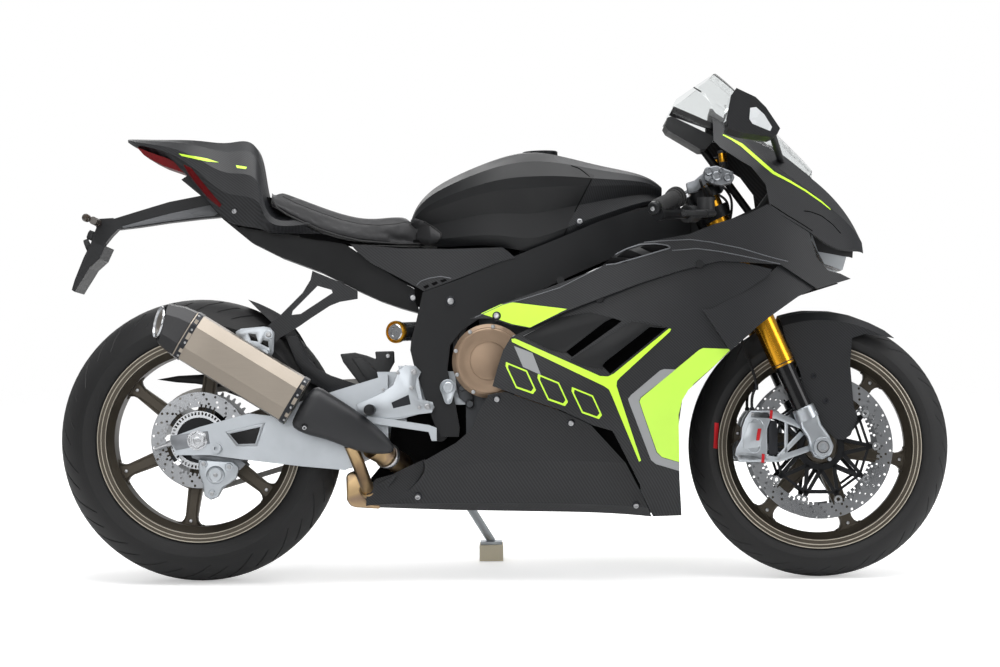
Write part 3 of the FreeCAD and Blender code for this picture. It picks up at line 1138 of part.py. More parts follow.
for side in (-1, 1):
    stem = Part.makeCylinder(cell.indicator_radius, cell.indicator_length,
                             Vector(spot_x, side * cell.hanger_half, spot_z),
                             Vector(0, side, 0))
    rear_indicators.append(stem.cut(plate_hanger))
keepShape("rear_indicators", Part.makeCompound(rear_indicators))

# Fairing walls: the lower layer and, outside it, the upper layer
lower_shares = [
    (0.26, 0.40, 0.44, 0.42, 0.34, 0.22), (0.46, 0.68, 0.79, 0.83, 0.77, 0.62),
    (0.5, 0.75, 0.9, 0.98, 0.94, 0.8), (0.46, 0.70, 0.86, 0.98, 1.0, 0.9),
    (0.42, 0.6, 0.73, 0.9, 0.97, 0.9), (0.4, 0.5, 0.6, 0.73, 0.83, 0.8),
]
mid_pixels = [(511, 337), (530, 328), (567, 311), (600, 298.5), (640, 283.5), (680, 271),
              (720, 261), (740, 262), (760, 266), (773, 269), (770, 275), (750, 288),
              (730, 300), (712, 309), (750, 334), (730, 351), (710, 370), (688, 390),
              (682, 400), (678.5, 425), (680, 480), (683, 517), (654, 518), (640, 490),
              (625, 462), (590, 424), (560, 410), (530, 400), (492, 386), (498, 365),
              (503, 350)]
louvre_pixels = [[(566, 352), (605, 322), (613, 318), (622, 321), (617, 325), (572, 357)],
                 [(602, 366), (605, 362), (650, 327), (663, 328), (668, 327), (610, 374)],
                 [(591, 425), (612, 431), (617, 440), (640, 485), (641, 490), (635, 490),
                  (625, 480), (600, 447)]]
lower_wall = skin(lower_shares, cell.fairing_half, cell.fairing_back, cell.fairing_step,
                  cell.fairing_low, cell.fairing_rise, cell.panel_wall)
fairing_mid = lower_wall.common(right_prism(mid_pixels, cell.fairing_half))
for pixels in louvre_pixels:
    fairing_mid = fairing_mid.cut(right_prism(pixels, cell.fairing_half))
keepShape("fairing_mid", pair(fairing_mid))

upper_shares = [
    (0.46, 0.72, 0.88, 0.99, 1.0, 0.84, 0.42), (0.44, 0.68, 0.84, 0.96, 0.99, 0.82, 0.38),
    (0.42, 0.6, 0.74, 0.88, 0.94, 0.78, 0.32), (0.38, 0.5, 0.62, 0.77, 0.84, 0.72, 0.26),
    (0.3, 0.4, 0.48, 0.56, 0.62, 0.5, 0.2),
]
upper_pixels = [(470, 318), (503, 303), (550, 287), (600, 268), (620, 251), (640, 243),
                (690, 234), (715, 224), (750, 213), (770, 203), (785, 213), (812, 230),
                (820, 257), (832, 269), (845, 272), (856, 277), (820, 288), (782, 264),
                (740, 262), (720, 261), (680, 271), (640, 283.5), (600, 298.5), (567, 311),
                (530, 328), (511, 325), (492, 318)]
upper_wall = skin(upper_shares, cell.fairing_half, cell.fairing_back, cell.fairing_step,
                  cell.upper_low, cell.upper_rise, cell.panel_wall, cell.layer_gap)
fairing_upper = upper_wall.common(right_prism(upper_pixels, cell.fairing_half))
keepShape("fairing_upper", pair(fairing_upper))

# Wing ducts that stand out of the fairing's front
wing_pixels = [(702, 309), (712, 309), (730, 299), (750, 287), (770, 274), (782, 263.5),
               (805, 275), (821, 286), (800, 296), (770, 317), (757, 327), (750, 334),
               (740, 342), (730, 351), (716, 330)]
wing_wall = skin(upper_shares, cell.fairing_half, cell.fairing_back, cell.fairing_step,
                 cell.upper_low - cell.upper_rise, cell.upper_rise, cell.panel_wall * 2,
                 cell.layer_gap)
wings = wing_wall.common(right_prism(wing_pixels, cell.fairing_half))
wings = wings.cut(fairing_mid).cut(fairing_upper)
keepShape("wing_ducts", pair(wings))

# Belly pan: a trough with a wall all round, trimmed to its side outline
belly_pixels = [(492, 387), (530, 401), (560, 411), (590, 425), (625, 463), (640, 491),
                (653, 519), (600, 514.5), (550, 513), (450, 511.5), (366, 509), (362, 500),
                (375, 485), (400, 473), (425, 460), (455, 443), (470, 430), (478, 412),
                (485, 400)]
belly_profile_share = [(0, 0), (0.42, 0), (0.62, 0.07), (0.86, 0.42), (1, 1)]
belly_stations = [  # column, top row, lower row, width share
    (355, 470, 508, 0.52), (400, 440, 509.5, 0.78), (470, 400, 512, 0.94),
    (540, 390, 513, 1.03), (600, 390, 514.5, 1.04), (660, 400, 519.5, 0.98),
]
belly_outer = body_loft(belly_stations, cell.belly_half, belly_profile_share)
inner_stations = [(u, top - 12, low - 2, share - 0.022) for u, top, low, share in belly_stations]
belly_inner = body_loft(inner_stations, cell.belly_half, belly_profile_share)
belly = belly_outer.cut(belly_inner).common(full_prism(belly_pixels, cell.belly_half))
stand_notch = Part.makeBox(cell.block_length * 4, cell.belly_half * 1.5, cell.block_height * 4,
                           Vector(cell.stand_pivot_x - cell.block_length * 2.2, 0,
                                  cell.stand_pivot_z - cell.block_width))
keepShape("belly_pan", largest(belly.cut(stand_notch).cut(exhaust_pipe), 1))

# Mirrors on their stalks
mirror_pixels = [(736, 91), (755, 100), (765, 110), (779, 131), (776, 137), (770, 139.5),
                 (740, 135), (728, 131), (726, 122), (731, 98)]
shell_half = (cell.mirror_outer - cell.mirror_inner) / 2
mirror_shell = slab(outline(mirror_pixels, cell.mirror_inner + shell_half),
                    -cell.mirror_outer, -cell.mirror_inner)
stalk_x, stalk_z = photo_point(772, 132, cell.mirror_inner)
root_x, root_z = photo_point(783, 164, cell.stalk_inner)
stalk_start = Vector(root_x, -cell.stalk_inner, root_z)
stalk_line = Vector(stalk_x, -cell.mirror_inner - shell_half * 0.3, stalk_z) - stalk_start
stalk = Part.makeCylinder(cell.stalk_radius, stalk_line.Length, stalk_start, stalk_line)
mirror_form = mirror_shell.fuse(stalk)

# Nose cowl over the front, the clear screen above it and the band between
arch_share = [(0, 1), (0.45, 0.94), (0.8, 0.66), (1, 0)]
nose_pixels = [(715, 20), (880, 20), (880, 262), (843, 262), (820, 248), (800, 238),
               (785, 228), (771, 217), (766, 185), (752, 167),
               (740, 160), (722, 148), (715, 140)]
nose_rows = [  # column, top row, edge row
    (770, 147, 211), (800, 170, 230), (814, 181, 240), (843, 212, 250), (858, 240, 252),
]
nose_stations = [(700, 100, 150, 0.86), (740, 128, 176, 0.92)]
for u, top, edge in nose_rows:
    inside = inner_half(upper_wall, u, edge, cell.nose_half)
    inside = inner_half(upper_wall, u, edge, inside) - cell.seat_gap
    nose_stations.append((u, top, edge, inside / cell.nose_half))
nose = arch_loft(nose_stations, cell.nose_half, cell.nose_wall, arch_share)
nose = nose.common(full_prism(nose_pixels, cell.nose_half * 0.8)).cut(fairing_upper)
nose = nose.cut(mirrored(fairing_upper)).cut(pair(mirror_form))
nose = largest(nose, 1)
keepShape("nose_cowl", nose)
screen_pixels = [(671, 20), (840, 20), (816, 178), (805, 172), (790, 167), (765, 154),
                 (735, 136), (722, 131), (700, 124), (671, 112)]
rim_pixels = [(671, 112), (675, 105), (695, 91), (716, 75.5), (730, 60), (900, 60),
              (900, 300), (671, 300)]
screen_stations = [
    (650, 30, 130, 1.0), (690, 58, 150, 0.98), (720, 76, 172, 0.94), (755, 110, 192, 0.84),
    (790, 147, 204, 0.62), (822, 184, 210, 0.34),
]
screen = arch_loft(screen_stations, cell.screen_half, cell.screen_wall, arch_share)
screen = screen.common(full_prism(screen_pixels, cell.screen_half * 0.9))
screen = largest(screen.common(full_prism(rim_pixels, 0)).cut(nose), 1)
keepShape("windscreen", screen)

# Dash behind the screen
dash_pixels = [(665, 128), (668, 120), (672, 119), (715, 140), (705, 152), (700, 152),
               (668, 133)]
dash = slab(outline(dash_pixels, 0), -cell.dash_half, cell.dash_half).cut(screen)
keepShape("dash", dash)
fairing_stay = largest(stay_form.cut(frame).cut(dash).cut(nose), 1)
keepShape("mirrors", pair(mirror_form.cut(fairing_upper).cut(screen).cut(fairing_stay)))

# Headlamps under the nose
lamp_outline_pixels = [(812, 190), (838, 208), (850, 246), (843, 270), (825, 264),
                       (812, 240)]
lamps = []
for side in (-1, 1):
    low = side * cell.lamp_inner if side > 0 else -cell.lamp_half
    lens = slab(outline(lamp_outline_pixels, cell.lamp_half), low,
                low + cell.lamp_half - cell.lamp_inner)
    lens = lens.cut(nose).cut(fairing_upper).cut(mirrored(fairing_upper))
    lamps.append(largest(lens, 1))
keepShape("headlamps", Part.makeCompound(lamps))

# Mounts that hold the fairing panels on the frame, the engine, the radiator and each other
mount_places = [  # column, row, inner end of the mount, panel
    (520, 299, cell.frame_half - cell.spar_thickness, upper_wall),
    (560, 282, cell.frame_half - cell.spar_thickness, upper_wall),
    (560, 350, cell.case_half - cell.panel_wall, lower_wall),
    (672, 330, cell.radiator_half - cell.panel_wall, lower_wall),
]
panel_mounts = []
for u, v, start, wall in mount_places:
    x, z = photo_point(u, v, start)
    reach = inner_half(wall, u, v, start) + cell.panel_wall / 2
    panel_mounts.append(Part.makeCylinder(cell.mount_radius, reach - start,
                                          Vector(x, -start, z), Vector(0, -1, 0)))
for u, v in ((600, 298), (700, 264)):
    x, z = photo_point(u, v, cell.fairing_half)
    half = inner_half(lower_wall, u, v, cell.fairing_half)
    panel_mounts.append(Part.makeCylinder(cell.mount_radius, cell.layer_gap + cell.panel_wall,
                                          Vector(x, -half, z), Vector(0, -1, 0)))
mounts = Part.makeCompound(panel_mounts)
for piece in (frame, engine, radiator, fairing_mid, fairing_upper, wings):
    mounts = mounts.cut(piece)
mounts = [solid for solid in mounts.Solids if solid.Volume > cell.mount_radius ** 3]
mounts += [mirrored(solid) for solid in mounts]
keepShape("fairing_stays", Part.makeCompound([fairing_stay] + mounts))

# Block under the stand's foot
block = Part.makeBox(cell.block_length, cell.block_width, cell.block_height,
                     Vector(stand_foot.x - cell.block_length / 2, 0, 0))
level_foot = lean.multVec(stand_foot)
block.translate(Vector(0, level_foot.y - cell.block_width / 2, 0))
block_item = doc.addObject("Part::Feature", "stand_block")
block_item.Shape = block
subparts.append(block_item)

# Every sub-part is checked and written to its own file
doc.recompute()
faults = [item.Label for item in doc.Objects if {"Invalid", "Error"} & set(item.State)]
for item in subparts:
    if item.Shape.isNull() or not item.Shape.isValid() or not item.Shape.Solids:
        faults.append(item.Label)
if faults:
    raise RuntimeError("not sound: " + ", ".join(faults))
os.makedirs("parts", exist_ok=True)
for item in subparts:
    item.Shape.exportStep("parts/%s.step" % item.Label)
    print(item.Label, len(item.Shape.Solids), round(item.Shape.Volume))
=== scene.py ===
import math

import bpy
import bmesh
from mathutils import Matrix, Vector


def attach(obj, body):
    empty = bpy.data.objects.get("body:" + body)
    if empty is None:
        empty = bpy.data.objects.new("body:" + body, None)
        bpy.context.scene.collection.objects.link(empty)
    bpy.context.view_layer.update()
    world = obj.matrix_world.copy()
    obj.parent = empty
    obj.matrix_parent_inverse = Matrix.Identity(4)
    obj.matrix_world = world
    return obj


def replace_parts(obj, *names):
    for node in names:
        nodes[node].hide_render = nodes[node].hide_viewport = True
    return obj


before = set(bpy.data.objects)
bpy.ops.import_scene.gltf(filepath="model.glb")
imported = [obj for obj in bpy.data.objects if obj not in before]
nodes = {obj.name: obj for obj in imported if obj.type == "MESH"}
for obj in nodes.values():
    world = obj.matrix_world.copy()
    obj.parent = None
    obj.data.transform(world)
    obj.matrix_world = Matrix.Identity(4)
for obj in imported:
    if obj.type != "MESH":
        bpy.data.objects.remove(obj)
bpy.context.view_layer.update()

# How the motorcycle stands, and where the photograph was taken from (metres, degrees, pixels)
stance = {
    "leanAngle": 5.5,
    "leanLift": 0.00049,
    "frontAxle": (0.71, 0.299),
    "rearAxle": (-0.71, 0.324),
    "pixelSize": 0.00231,
    "steerBase": (0.6814, 0.0, 0.2863),
    "steerDirection": (-0.4067, 0.0, 0.9135),
}
camera = {
    "place": (-0.02167, -7.5, 1.1),
    "pitchDown": 4.068,
    "roll": -0.414,
    "focalPixels": 3278.0,
    "sensor": 36.0,
    "middle": (500.0, 333.5),
}

lean = Matrix.Translation((0, 0, stance["leanLift"])) @ Matrix.Rotation(
    math.radians(-stance["leanAngle"]), 4, "X"
)
unlean = lean.inverted()
cameraMatrix = (
    Matrix.Translation(camera["place"])
    @ Matrix.Rotation(math.radians(90 - camera["pitchDown"]), 4, "X")
    @ Matrix.Rotation(math.radians(camera["roll"]), 4, "Z")
)


def pixelRay(u, v):
    middle = camera["middle"]
    return Vector((u - middle[0], middle[1] - v, -camera["focalPixels"]))


# The place, on the upright motorcycle, that shows at pixel u, v and lies this far out to its right
def photoPoint(u, v, out):
    ray = pixelRay(u, v)
    start = unlean @ Vector(camera["place"])
    way = unlean.to_3x3() @ (cameraMatrix.to_3x3() @ ray)
    return start + way * ((-out - start.y) / way.y)


def toObjectMode():
    if bpy.context.object and bpy.context.object.mode != "OBJECT":
        bpy.ops.object.mode_set(mode="OBJECT")
    bpy.ops.object.select_all(action="DESELECT")


def activate(piece):
    toObjectMode()
    piece.select_set(True)
    bpy.context.view_layer.objects.active = piece


def editMode(piece):
    activate(piece)
    bpy.ops.object.mode_set(mode="EDIT")
    bpy.ops.mesh.select_mode(type="VERT")
    bpy.ops.mesh.select_all(action="SELECT")


# Selects the faces that pass the test, which is given their middle and normal, in edit mode
def selectFaces(piece, test):
    bpy.ops.mesh.select_mode(type="FACE")
    bpy.ops.mesh.select_all(action="DESELECT")
    mesh = bmesh.from_edit_mesh(piece.data)
    for face in mesh.faces:
        face.select_set(bool(test(face.calc_center_median(), face.normal)))
    mesh.select_flush_mode()
    bmesh.update_edit_mesh(piece.data)


# The same for edges, whose test is given their two ends
def selectEdges(piece, test):
    bpy.ops.mesh.select_mode(type="EDGE")
    bpy.ops.mesh.select_all(action="DESELECT")
    mesh = bmesh.from_edit_mesh(piece.data)
    for edge in mesh.edges:
        edge.select_set(bool(test(edge.verts[0].co, edge.verts[1].co)))
    mesh.select_flush_mode()
    bmesh.update_edit_mesh(piece.data)


def insetFaces(piece, test, thickness, depth):
    editMode(piece)
    selectFaces(piece, test)
    bpy.ops.mesh.inset(thickness=thickness, depth=depth)
    toObjectMode()


# Moves every vertex out along its normal
def swell(piece, distance):
    editMode(piece)
    bpy.ops.transform.shrink_fatten(value=distance)
    toObjectMode()


def applyModifier(piece, kind, **settings):
    activate(piece)
    modifier = piece.modifiers.new(kind.title(), kind)
    for key, value in settings.items():
        setattr(modifier, key, value)
    bpy.ops.object.modifier_apply(modifier=modifier.name)


def softenEdges(piece, width, segments=2, angle=35):
    applyModifier(
        piece, "BEVEL", width=width, segments=segments, limit_method="ANGLE",
        angle_limit=math.radians(angle), harden_normals=False,
    )


def fixNormals(piece):
    editMode(piece)
    bpy.ops.mesh.remove_doubles(threshold=0.00001)
    bpy.ops.mesh.normals_make_consistent(inside=False)
    toObjectMode()


# A closed loop of points: a circle whose vertices are moved to their places
def loopOf(name, points, fill=False):
    toObjectMode()
    bpy.ops.mesh.primitive_circle_add(
        vertices=len(points), radius=1, fill_type="NGON" if fill else "NOTHING"
    )
    piece = bpy.context.object
    piece.name = name
    piece.data.name = name
    for vertex, point in zip(piece.data.vertices, points):
        vertex.co = point
    return piece


# A plate with this outline in x and z, from one distance out to another, its edges softened
def plateOf(name, outline, inner, outer, soften=0.0, segments=2):
    piece = loopOf(name, [(p[0], -inner, p[1]) for p in outline], fill=True)
    editMode(piece)
    bpy.ops.mesh.extrude_region_move(TRANSFORM_OT_translate={"value": (0, inner - outer, 0)})
    bpy.ops.mesh.select_all(action="SELECT")
    bpy.ops.mesh.normals_make_consistent(inside=False)
    toObjectMode()
    if soften:
        softenEdges(piece, soften, segments)
    return piece


def photoOutline(pixels, out):
    return [photoPoint(u, v, out).xz for u, v in pixels]


def photoPlate(name, pixels, inner, outer, soften=0.0, segments=2):
    return plateOf(name, photoOutline(pixels, outer), inner, outer, soften, segments)


# Radius that stands for the axis itself in a section, so that the end closes
core = 0.0001


# A turned piece: its section (distance out along the axis, radius) spun round the axis
def turned(name, section, place, axis=(0, 1, 0), steps=48):
    axis = Vector(axis).normalized()
    across = axis.cross(Vector((1, 0, 0)) if abs(axis.x) < 0.9 else Vector((0, 0, 1))).normalized()
    place = Vector(place)
    piece = loopOf(name, [place + axis * a + across * r for a, r in section])
    editMode(piece)
    bpy.ops.mesh.spin(steps=steps, angle=math.tau, center=place, axis=axis)
    fixNormals(piece)
    return piece


# The same, closed to the axis at both ends of its section
def solidOf(name, section, place, axis=(0, 1, 0), steps=48):
    ends = (section[0][0], core), (section[-1][0], core)
    return turned(name, [ends[0], *section, ends[1]], place, axis, steps)


def rodOf(name, start, end, radius, place, axis=(0, 1, 0), steps=48):
    return solidOf(name, [(start, radius), (end, radius)], place, axis, steps)


# A round bar or pipe along a smooth line through its points
def pipeOf(name, points, radius, sides=4):
    toObjectMode()
    bpy.ops.curve.primitive_nurbs_path_add()
    piece = bpy.context.object
    piece.name = name
    piece.data.splines.clear()
    spline = piece.data.splines.new("NURBS")
    spline.points.add(len(points) - 1)
    for knot, point in zip(spline.points, points):
        knot.co = (*point, 1)
    spline.order_u = min(3, len(points))
    spline.use_endpoint_u = True
    piece.data.resolution_u = 8
    piece.data.bevel_depth = radius
    piece.data.bevel_resolution = sides
    piece.data.use_fill_caps = True
    activate(piece)
    bpy.ops.object.convert(target="MESH")
    piece = bpy.context.object
    fixNormals(piece)
    return piece


# Body through closed sections that all have the same number of points, closed at its ends
def loftOf(name, rings):
    piece = loopOf(name, rings[0], fill=True)
    editMode(piece)
    bpy.ops.mesh.select_mode(type="FACE")
    bpy.ops.mesh.select_all(action="SELECT")
    for last, ring in zip(rings, rings[1:]):
        bpy.ops.mesh.extrude_region_move()
        mesh = bmesh.from_edit_mesh(piece.data)
        for vertex in mesh.verts:
            if vertex.select:
                nearest = min(range(len(last)),
                              key=lambda i: (Vector(last[i]) - vertex.co).length_squared)
                vertex.co = ring[nearest]
        bmesh.update_edit_mesh(piece.data)
    bpy.ops.mesh.select_all(action="SELECT")
    bpy.ops.mesh.normals_make_consistent(inside=False)
    toObjectMode()
    return piece


# Cuts one piece with another, which then goes
def carve(piece, tool, operation="DIFFERENCE"):
    applyModifier(piece, "BOOLEAN", operation=operation, solver="EXACT", object=tool)
    bpy.data.objects.remove(tool)


def join(name, pieces):
    toObjectMode()
    for piece in pieces:
        piece.select_set(True)
    bpy.context.view_layer.objects.active = pieces[0]
    if len(pieces) > 1:
        bpy.ops.object.join()
    joined = bpy.context.object
    joined.name = name
    joined.data.name = name
    return joined


def copyOf(piece, name):
    copied = piece.copy()
    copied.data = piece.data.copy()
    copied.name = name
    bpy.context.collection.objects.link(copied)
    return copied


# The same piece on the other side of the middle plane
def mirrorOf(piece, name):
    copied = copyOf(piece, name)
    copied.data.transform(Matrix.Scale(-1, 4, (0, 1, 0)))
    copied.data.flip_normals()
    return copied


def bothSides(piece, name):
    return join(name, [piece, mirrorOf(piece, name)])


# A copy of a CAD node's mesh, merged, and stood upright
def meshOfNode(name, node):
    toObjectMode()
    data = nodes[node].data.copy()
    piece = bpy.data.objects.new(name, data)
    bpy.context.collection.objects.link(piece)
    for key in list(piece.keys()):
        del piece[key]
    data.transform(unlean)
    editMode(piece)
    bpy.ops.mesh.customdata_custom_splitnormals_clear()
    bpy.ops.mesh.remove_doubles(threshold=0.00002)
    toObjectMode()
    return piece


# Leans a finished piece as the motorcycle leans, and says what it is made of and what it moves with
def settle(piece, material, body="root", smooth=35):
    activate(piece)
    bpy.ops.object.transform_apply(location=True, rotation=True, scale=True)
    piece.data.transform(lean)
    if smooth:
        bpy.ops.object.shade_smooth_by_angle(angle=math.radians(smooth))
    piece.data.materials.clear()
    piece.data.materials.append(material)
    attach(piece, body)
    return piece


# Joins the parts of a piece, repeats them on the other side, and settles them
def settleBoth(name, parts, material, body="root", smooth=35):
    return settle(bothSides(join(name, parts), name), material, body, smooth)


# An sRGB hex colour as the linear colour that a shader needs
def linear(hexColour):
    parts = [int(hexColour[i:i + 2], 16) / 255 for i in (1, 3, 5)]
    curve = [c / 12.92 if c <= 0.04045 else ((c + 0.055) / 1.055) ** 2.4 for c in parts]
    return (*curve, 1.0)


# Adds a shader node with its settings; a link is given as the output that feeds the input
def addNode(owner, kind, settings=None, inputs=None):
    added = owner.node_tree.nodes.new("ShaderNode" + kind)
    for key, value in (settings or {}).items():
        setattr(added, key, value)
    for key, value in (inputs or {}).items():
        if isinstance(value, bpy.types.NodeSocket):
            owner.node_tree.links.new(value, added.inputs[key])
        else:
            added.inputs[key].default_value = value
    return added


def feed(shader, name, output):
    shader.id_data.links.new(output, shader.inputs[name])


# A material, its principled shader to feed patterns to, and the object's coordinates for them
def newMaterial(name, colour, metallic=0.0, roughness=0.5, **more):
    material = bpy.data.materials.new(name)
    material.use_nodes = True
    shader = material.node_tree.nodes["Principled BSDF"]
    shader.inputs["Base Color"].default_value = linear(colour)
    shader.inputs["Metallic"].default_value = metallic
    shader.inputs["Roughness"].default_value = roughness
    for key, value in more.items():
        shader.inputs[key.replace("_", " ")].default_value = value
    material.diffuse_color = linear(colour)
    return material, shader, addNode(material, "TexCoord").outputs["Object"]


# Pale studio paper: matt, takes the shadow, and fades into the white background
def floorPaper():
    material, shader, spot = newMaterial("studioPaper", studio["floorColour"], 0, 0.9)
    far = addNode(material, "VectorMath", {"operation": "LENGTH"}, {0: spot})
    fade = addNode(material, "MapRange", {"interpolation_type": "SMOOTHSTEP"},
                   {"Value": far.outputs["Value"], "From Min": studio["floorFade"][0],
                    "From Max": studio["floorFade"][1]})
    path = addNode(material, "LightPath")
    seen = addNode(material, "Math", {"operation": "MULTIPLY", "use_clamp": True},
                   {0: path.outputs["Is Camera Ray"], 1: 0.42})
    glow = addNode(material, "Emission", {}, {"Color": (1, 1, 1, 1), "Strength": seen.outputs[0]})
    lit = addNode(material, "AddShader", {}, {0: shader.outputs[0], 1: glow.outputs[0]})
    clear = addNode(material, "BsdfTransparent")
    mix = addNode(material, "MixShader", {}, {0: fade.outputs["Result"], 1: lit.outputs[0],
                                              2: clear.outputs[0]})
    feed(material.node_tree.nodes["Material Output"], "Surface", mix.outputs[0])
    return material


# Bare carbon fibre with a matt clear coat, 2/2 twill: a dark cloth whose diagonal ribs catch the
# light in turn. The tows are 1.8 mm wide, which gives ribs 5 mm apart, as in the photograph.
def carbonTwill(name, colour="#111214", shine="#26272A", tow=0.0018, roughness=0.46, coat=0.12):
    material, shader, spot = newMaterial(name, colour, 0, roughness, Coat_Weight=coat,
                                         Coat_Roughness=0.32, Specular_IOR_Level=0.3)
    # two directions that stay apart on a side, a top and a front face
    flat = []
    for x, y, z in ((1, 0.45, 0.0), (0, 0.6, 1.0)):
        flat.append(addNode(material, "VectorMath", {"operation": "DOT_PRODUCT"},
                            {0: spot, 1: (x / tow, y / tow, z / tow)}).outputs["Value"])
    whole = [addNode(material, "Math", {"operation": "FLOOR"}, {0: s}).outputs[0] for s in flat]
    across = [addNode(material, "Math", {"operation": "PINGPONG"}, {0: s, 1: 0.5}).outputs[0]
              for s in flat]
    step = addNode(material, "Math", {"operation": "ADD"}, {0: whole[0], 1: whole[1]})
    turn = addNode(material, "Math", {"operation": "FLOORED_MODULO"}, {0: step.outputs[0], 1: 4.0})
    over = addNode(material, "Math", {"operation": "LESS_THAN"}, {0: turn.outputs[0], 1: 1.5})
    height = addNode(material, "Mix", {"data_type": "FLOAT"},
                     {0: over.outputs[0], 2: across[0], 3: across[1]})
    drift = addNode(material, "TexNoise", {}, {"Vector": spot, "Scale": 9.0, "Detail": 2.0})
    level = addNode(material, "MapRange", {}, {"Value": drift.outputs[0], "From Min": 0.3,
                                               "From Max": 0.7, "To Min": 0.75, "To Max": 1.15})
    warp = addNode(material, "Math", {"operation": "MULTIPLY"},
                   {0: over.outputs[0], 1: level.outputs[0]})
    colours = addNode(material, "Mix", {"data_type": "RGBA"},
                      {0: warp.outputs[0], 6: linear(colour), 7: linear(shine)})
    feed(shader, "Base Color", colours.outputs[2])
    rough = addNode(material, "MapRange", {}, {"Value": over.outputs[0], "To Min": roughness - 0.06,
                                               "To Max": roughness + 0.06})
    feed(shader, "Roughness", rough.outputs["Result"])
    bump = addNode(material, "Bump", {}, {"Strength": 0.35, "Distance": 0.0004,
                                          "Height": height.outputs[0]})
    feed(shader, "Normal", bump.outputs[0])
    return material


# A surface with a fine even grain, in mm: cast, blasted, moulded or painted
def grained(name, colour, metallic, roughness, grain, depth=0.12, tone=0.08, **more):
    material, shader, spot = newMaterial(name, colour, metallic, roughness, **more)
    speck = addNode(material, "TexNoise", {},
                    {"Vector": spot, "Scale": 1000 / grain, "Detail": 3.0})
    cloud = addNode(material, "TexNoise", {}, {"Vector": spot, "Scale": 14.0, "Detail": 3.0})
    base = linear(colour)
    low = tuple(c * (1 - tone) for c in base[:3]) + (1.0,)
    high = tuple(min(1.0, c * (1 + tone)) for c in base[:3]) + (1.0,)
    shade = addNode(material, "MapRange", {}, {"Value": cloud.outputs[0], "From Min": 0.3,
                                               "From Max": 0.7})
    colours = addNode(material, "Mix", {"data_type": "RGBA"},
                      {0: shade.outputs[0], 6: low, 7: high})
    feed(shader, "Base Color", colours.outputs[2])
    rough = addNode(material, "MapRange", {},
                    {"Value": cloud.outputs[0], "From Min": 0.3, "From Max": 0.7,
                     "To Min": max(0.02, roughness - 0.05), "To Max": roughness + 0.05})
    feed(shader, "Roughness", rough.outputs["Result"])
    bump = addNode(material, "Bump", {}, {"Strength": depth, "Distance": 0.0003,
                                          "Height": speck.outputs[0]})
    feed(shader, "Normal", bump.outputs[0])
    return material


# Brushed or turned metal: hair lines run one way along the piece, or round it
def brushed(name, colour, roughness, along, line=0.5, depth=0.1, metallic=1.0):
    material, shader, spot = newMaterial(name, colour, metallic, roughness)
    stretch = tuple(1000 / line if a == 0 else 1000 / line / 60 for a in along)
    scaled = addNode(material, "Mapping", {}, {"Vector": spot, "Scale": stretch})
    hair = addNode(material, "TexNoise", {}, {"Vector": scaled.outputs[0], "Scale": 1.0,
                                              "Detail": 2.0})
    cloud = addNode(material, "TexNoise", {}, {"Vector": spot, "Scale": 8.0, "Detail": 2.0})
    base = linear(colour)
    darker = tuple(c * 0.86 for c in base[:3]) + (1.0,)
    colours = addNode(material, "Mix", {"data_type": "RGBA"},
                      {0: hair.outputs[0], 6: darker, 7: base})
    feed(shader, "Base Color", colours.outputs[2])
    rough = addNode(material, "MapRange", {},
                    {"Value": cloud.outputs[0], "From Min": 0.3, "From Max": 0.7,
                     "To Min": roughness - 0.05, "To Max": roughness + 0.07})
    feed(shader, "Roughness", rough.outputs["Result"])
    bump = addNode(material, "Bump", {}, {"Strength": depth, "Distance": 0.0002,
                                          "Height": hair.outputs[0]})
    feed(shader, "Normal", bump.outputs[0])
    return material


# Tyre rubber: black and dull, a little greyer on the tread, with fine moulded rings round the side
def tyreRubber(name, axle):
    material, shader, spot = newMaterial(name, "#161617", 0, 0.62, Specular_IOR_Level=0.4)
    centre = lean @ Vector((axle[0], 0, axle[1]))
    moved = addNode(material, "Mapping", {"vector_type": "TEXTURE"},
                    {"Vector": spot, "Location": centre,
                     "Rotation": (math.radians(-stance["leanAngle"]), 0, 0)})
    parts = addNode(material, "SeparateXYZ", {}, {0: moved.outputs[0]})
    flat = addNode(material, "CombineXYZ", {}, {0: parts.outputs[0], 2: parts.outputs[2]})
    away = addNode(material, "VectorMath", {"operation": "LENGTH"}, {0: flat.outputs[0]})
    turns = addNode(material, "Math", {"operation": "MULTIPLY"},
                    {0: away.outputs["Value"], 1: math.tau / 0.0045})
    rings = addNode(material, "Math", {"operation": "SINE"}, {0: turns.outputs[0]})
    grit = addNode(material, "TexNoise", {}, {"Vector": spot, "Scale": 900.0, "Detail": 3.0})
    worn = addNode(material, "MapRange", {}, {"Value": away.outputs["Value"],
                                              "From Min": axle[1] - 0.045,
                                              "From Max": axle[1] - 0.01})
    colours = addNode(material, "Mix", {"data_type": "RGBA"},
                      {0: worn.outputs[0], 6: linear("#141415"), 7: linear("#232324")})
    feed(shader, "Base Color", colours.outputs[2])
    side = addNode(material, "Math", {"operation": "SUBTRACT"}, {0: 1.0, 1: worn.outputs[0]})
    ringed = addNode(material, "Math", {"operation": "MULTIPLY"},
                     {0: rings.outputs[0], 1: side.outputs[0]})
    height = addNode(material, "Math", {"operation": "MULTIPLY_ADD"},
                     {0: ringed.outputs[0], 1: 0.5, 2: grit.outputs[0]})
    bump = addNode(material, "Bump", {}, {"Strength": 0.25, "Distance": 0.0004,
                                          "Height": height.outputs[0]})
    feed(shader, "Normal", bump.outputs[0])
    return material


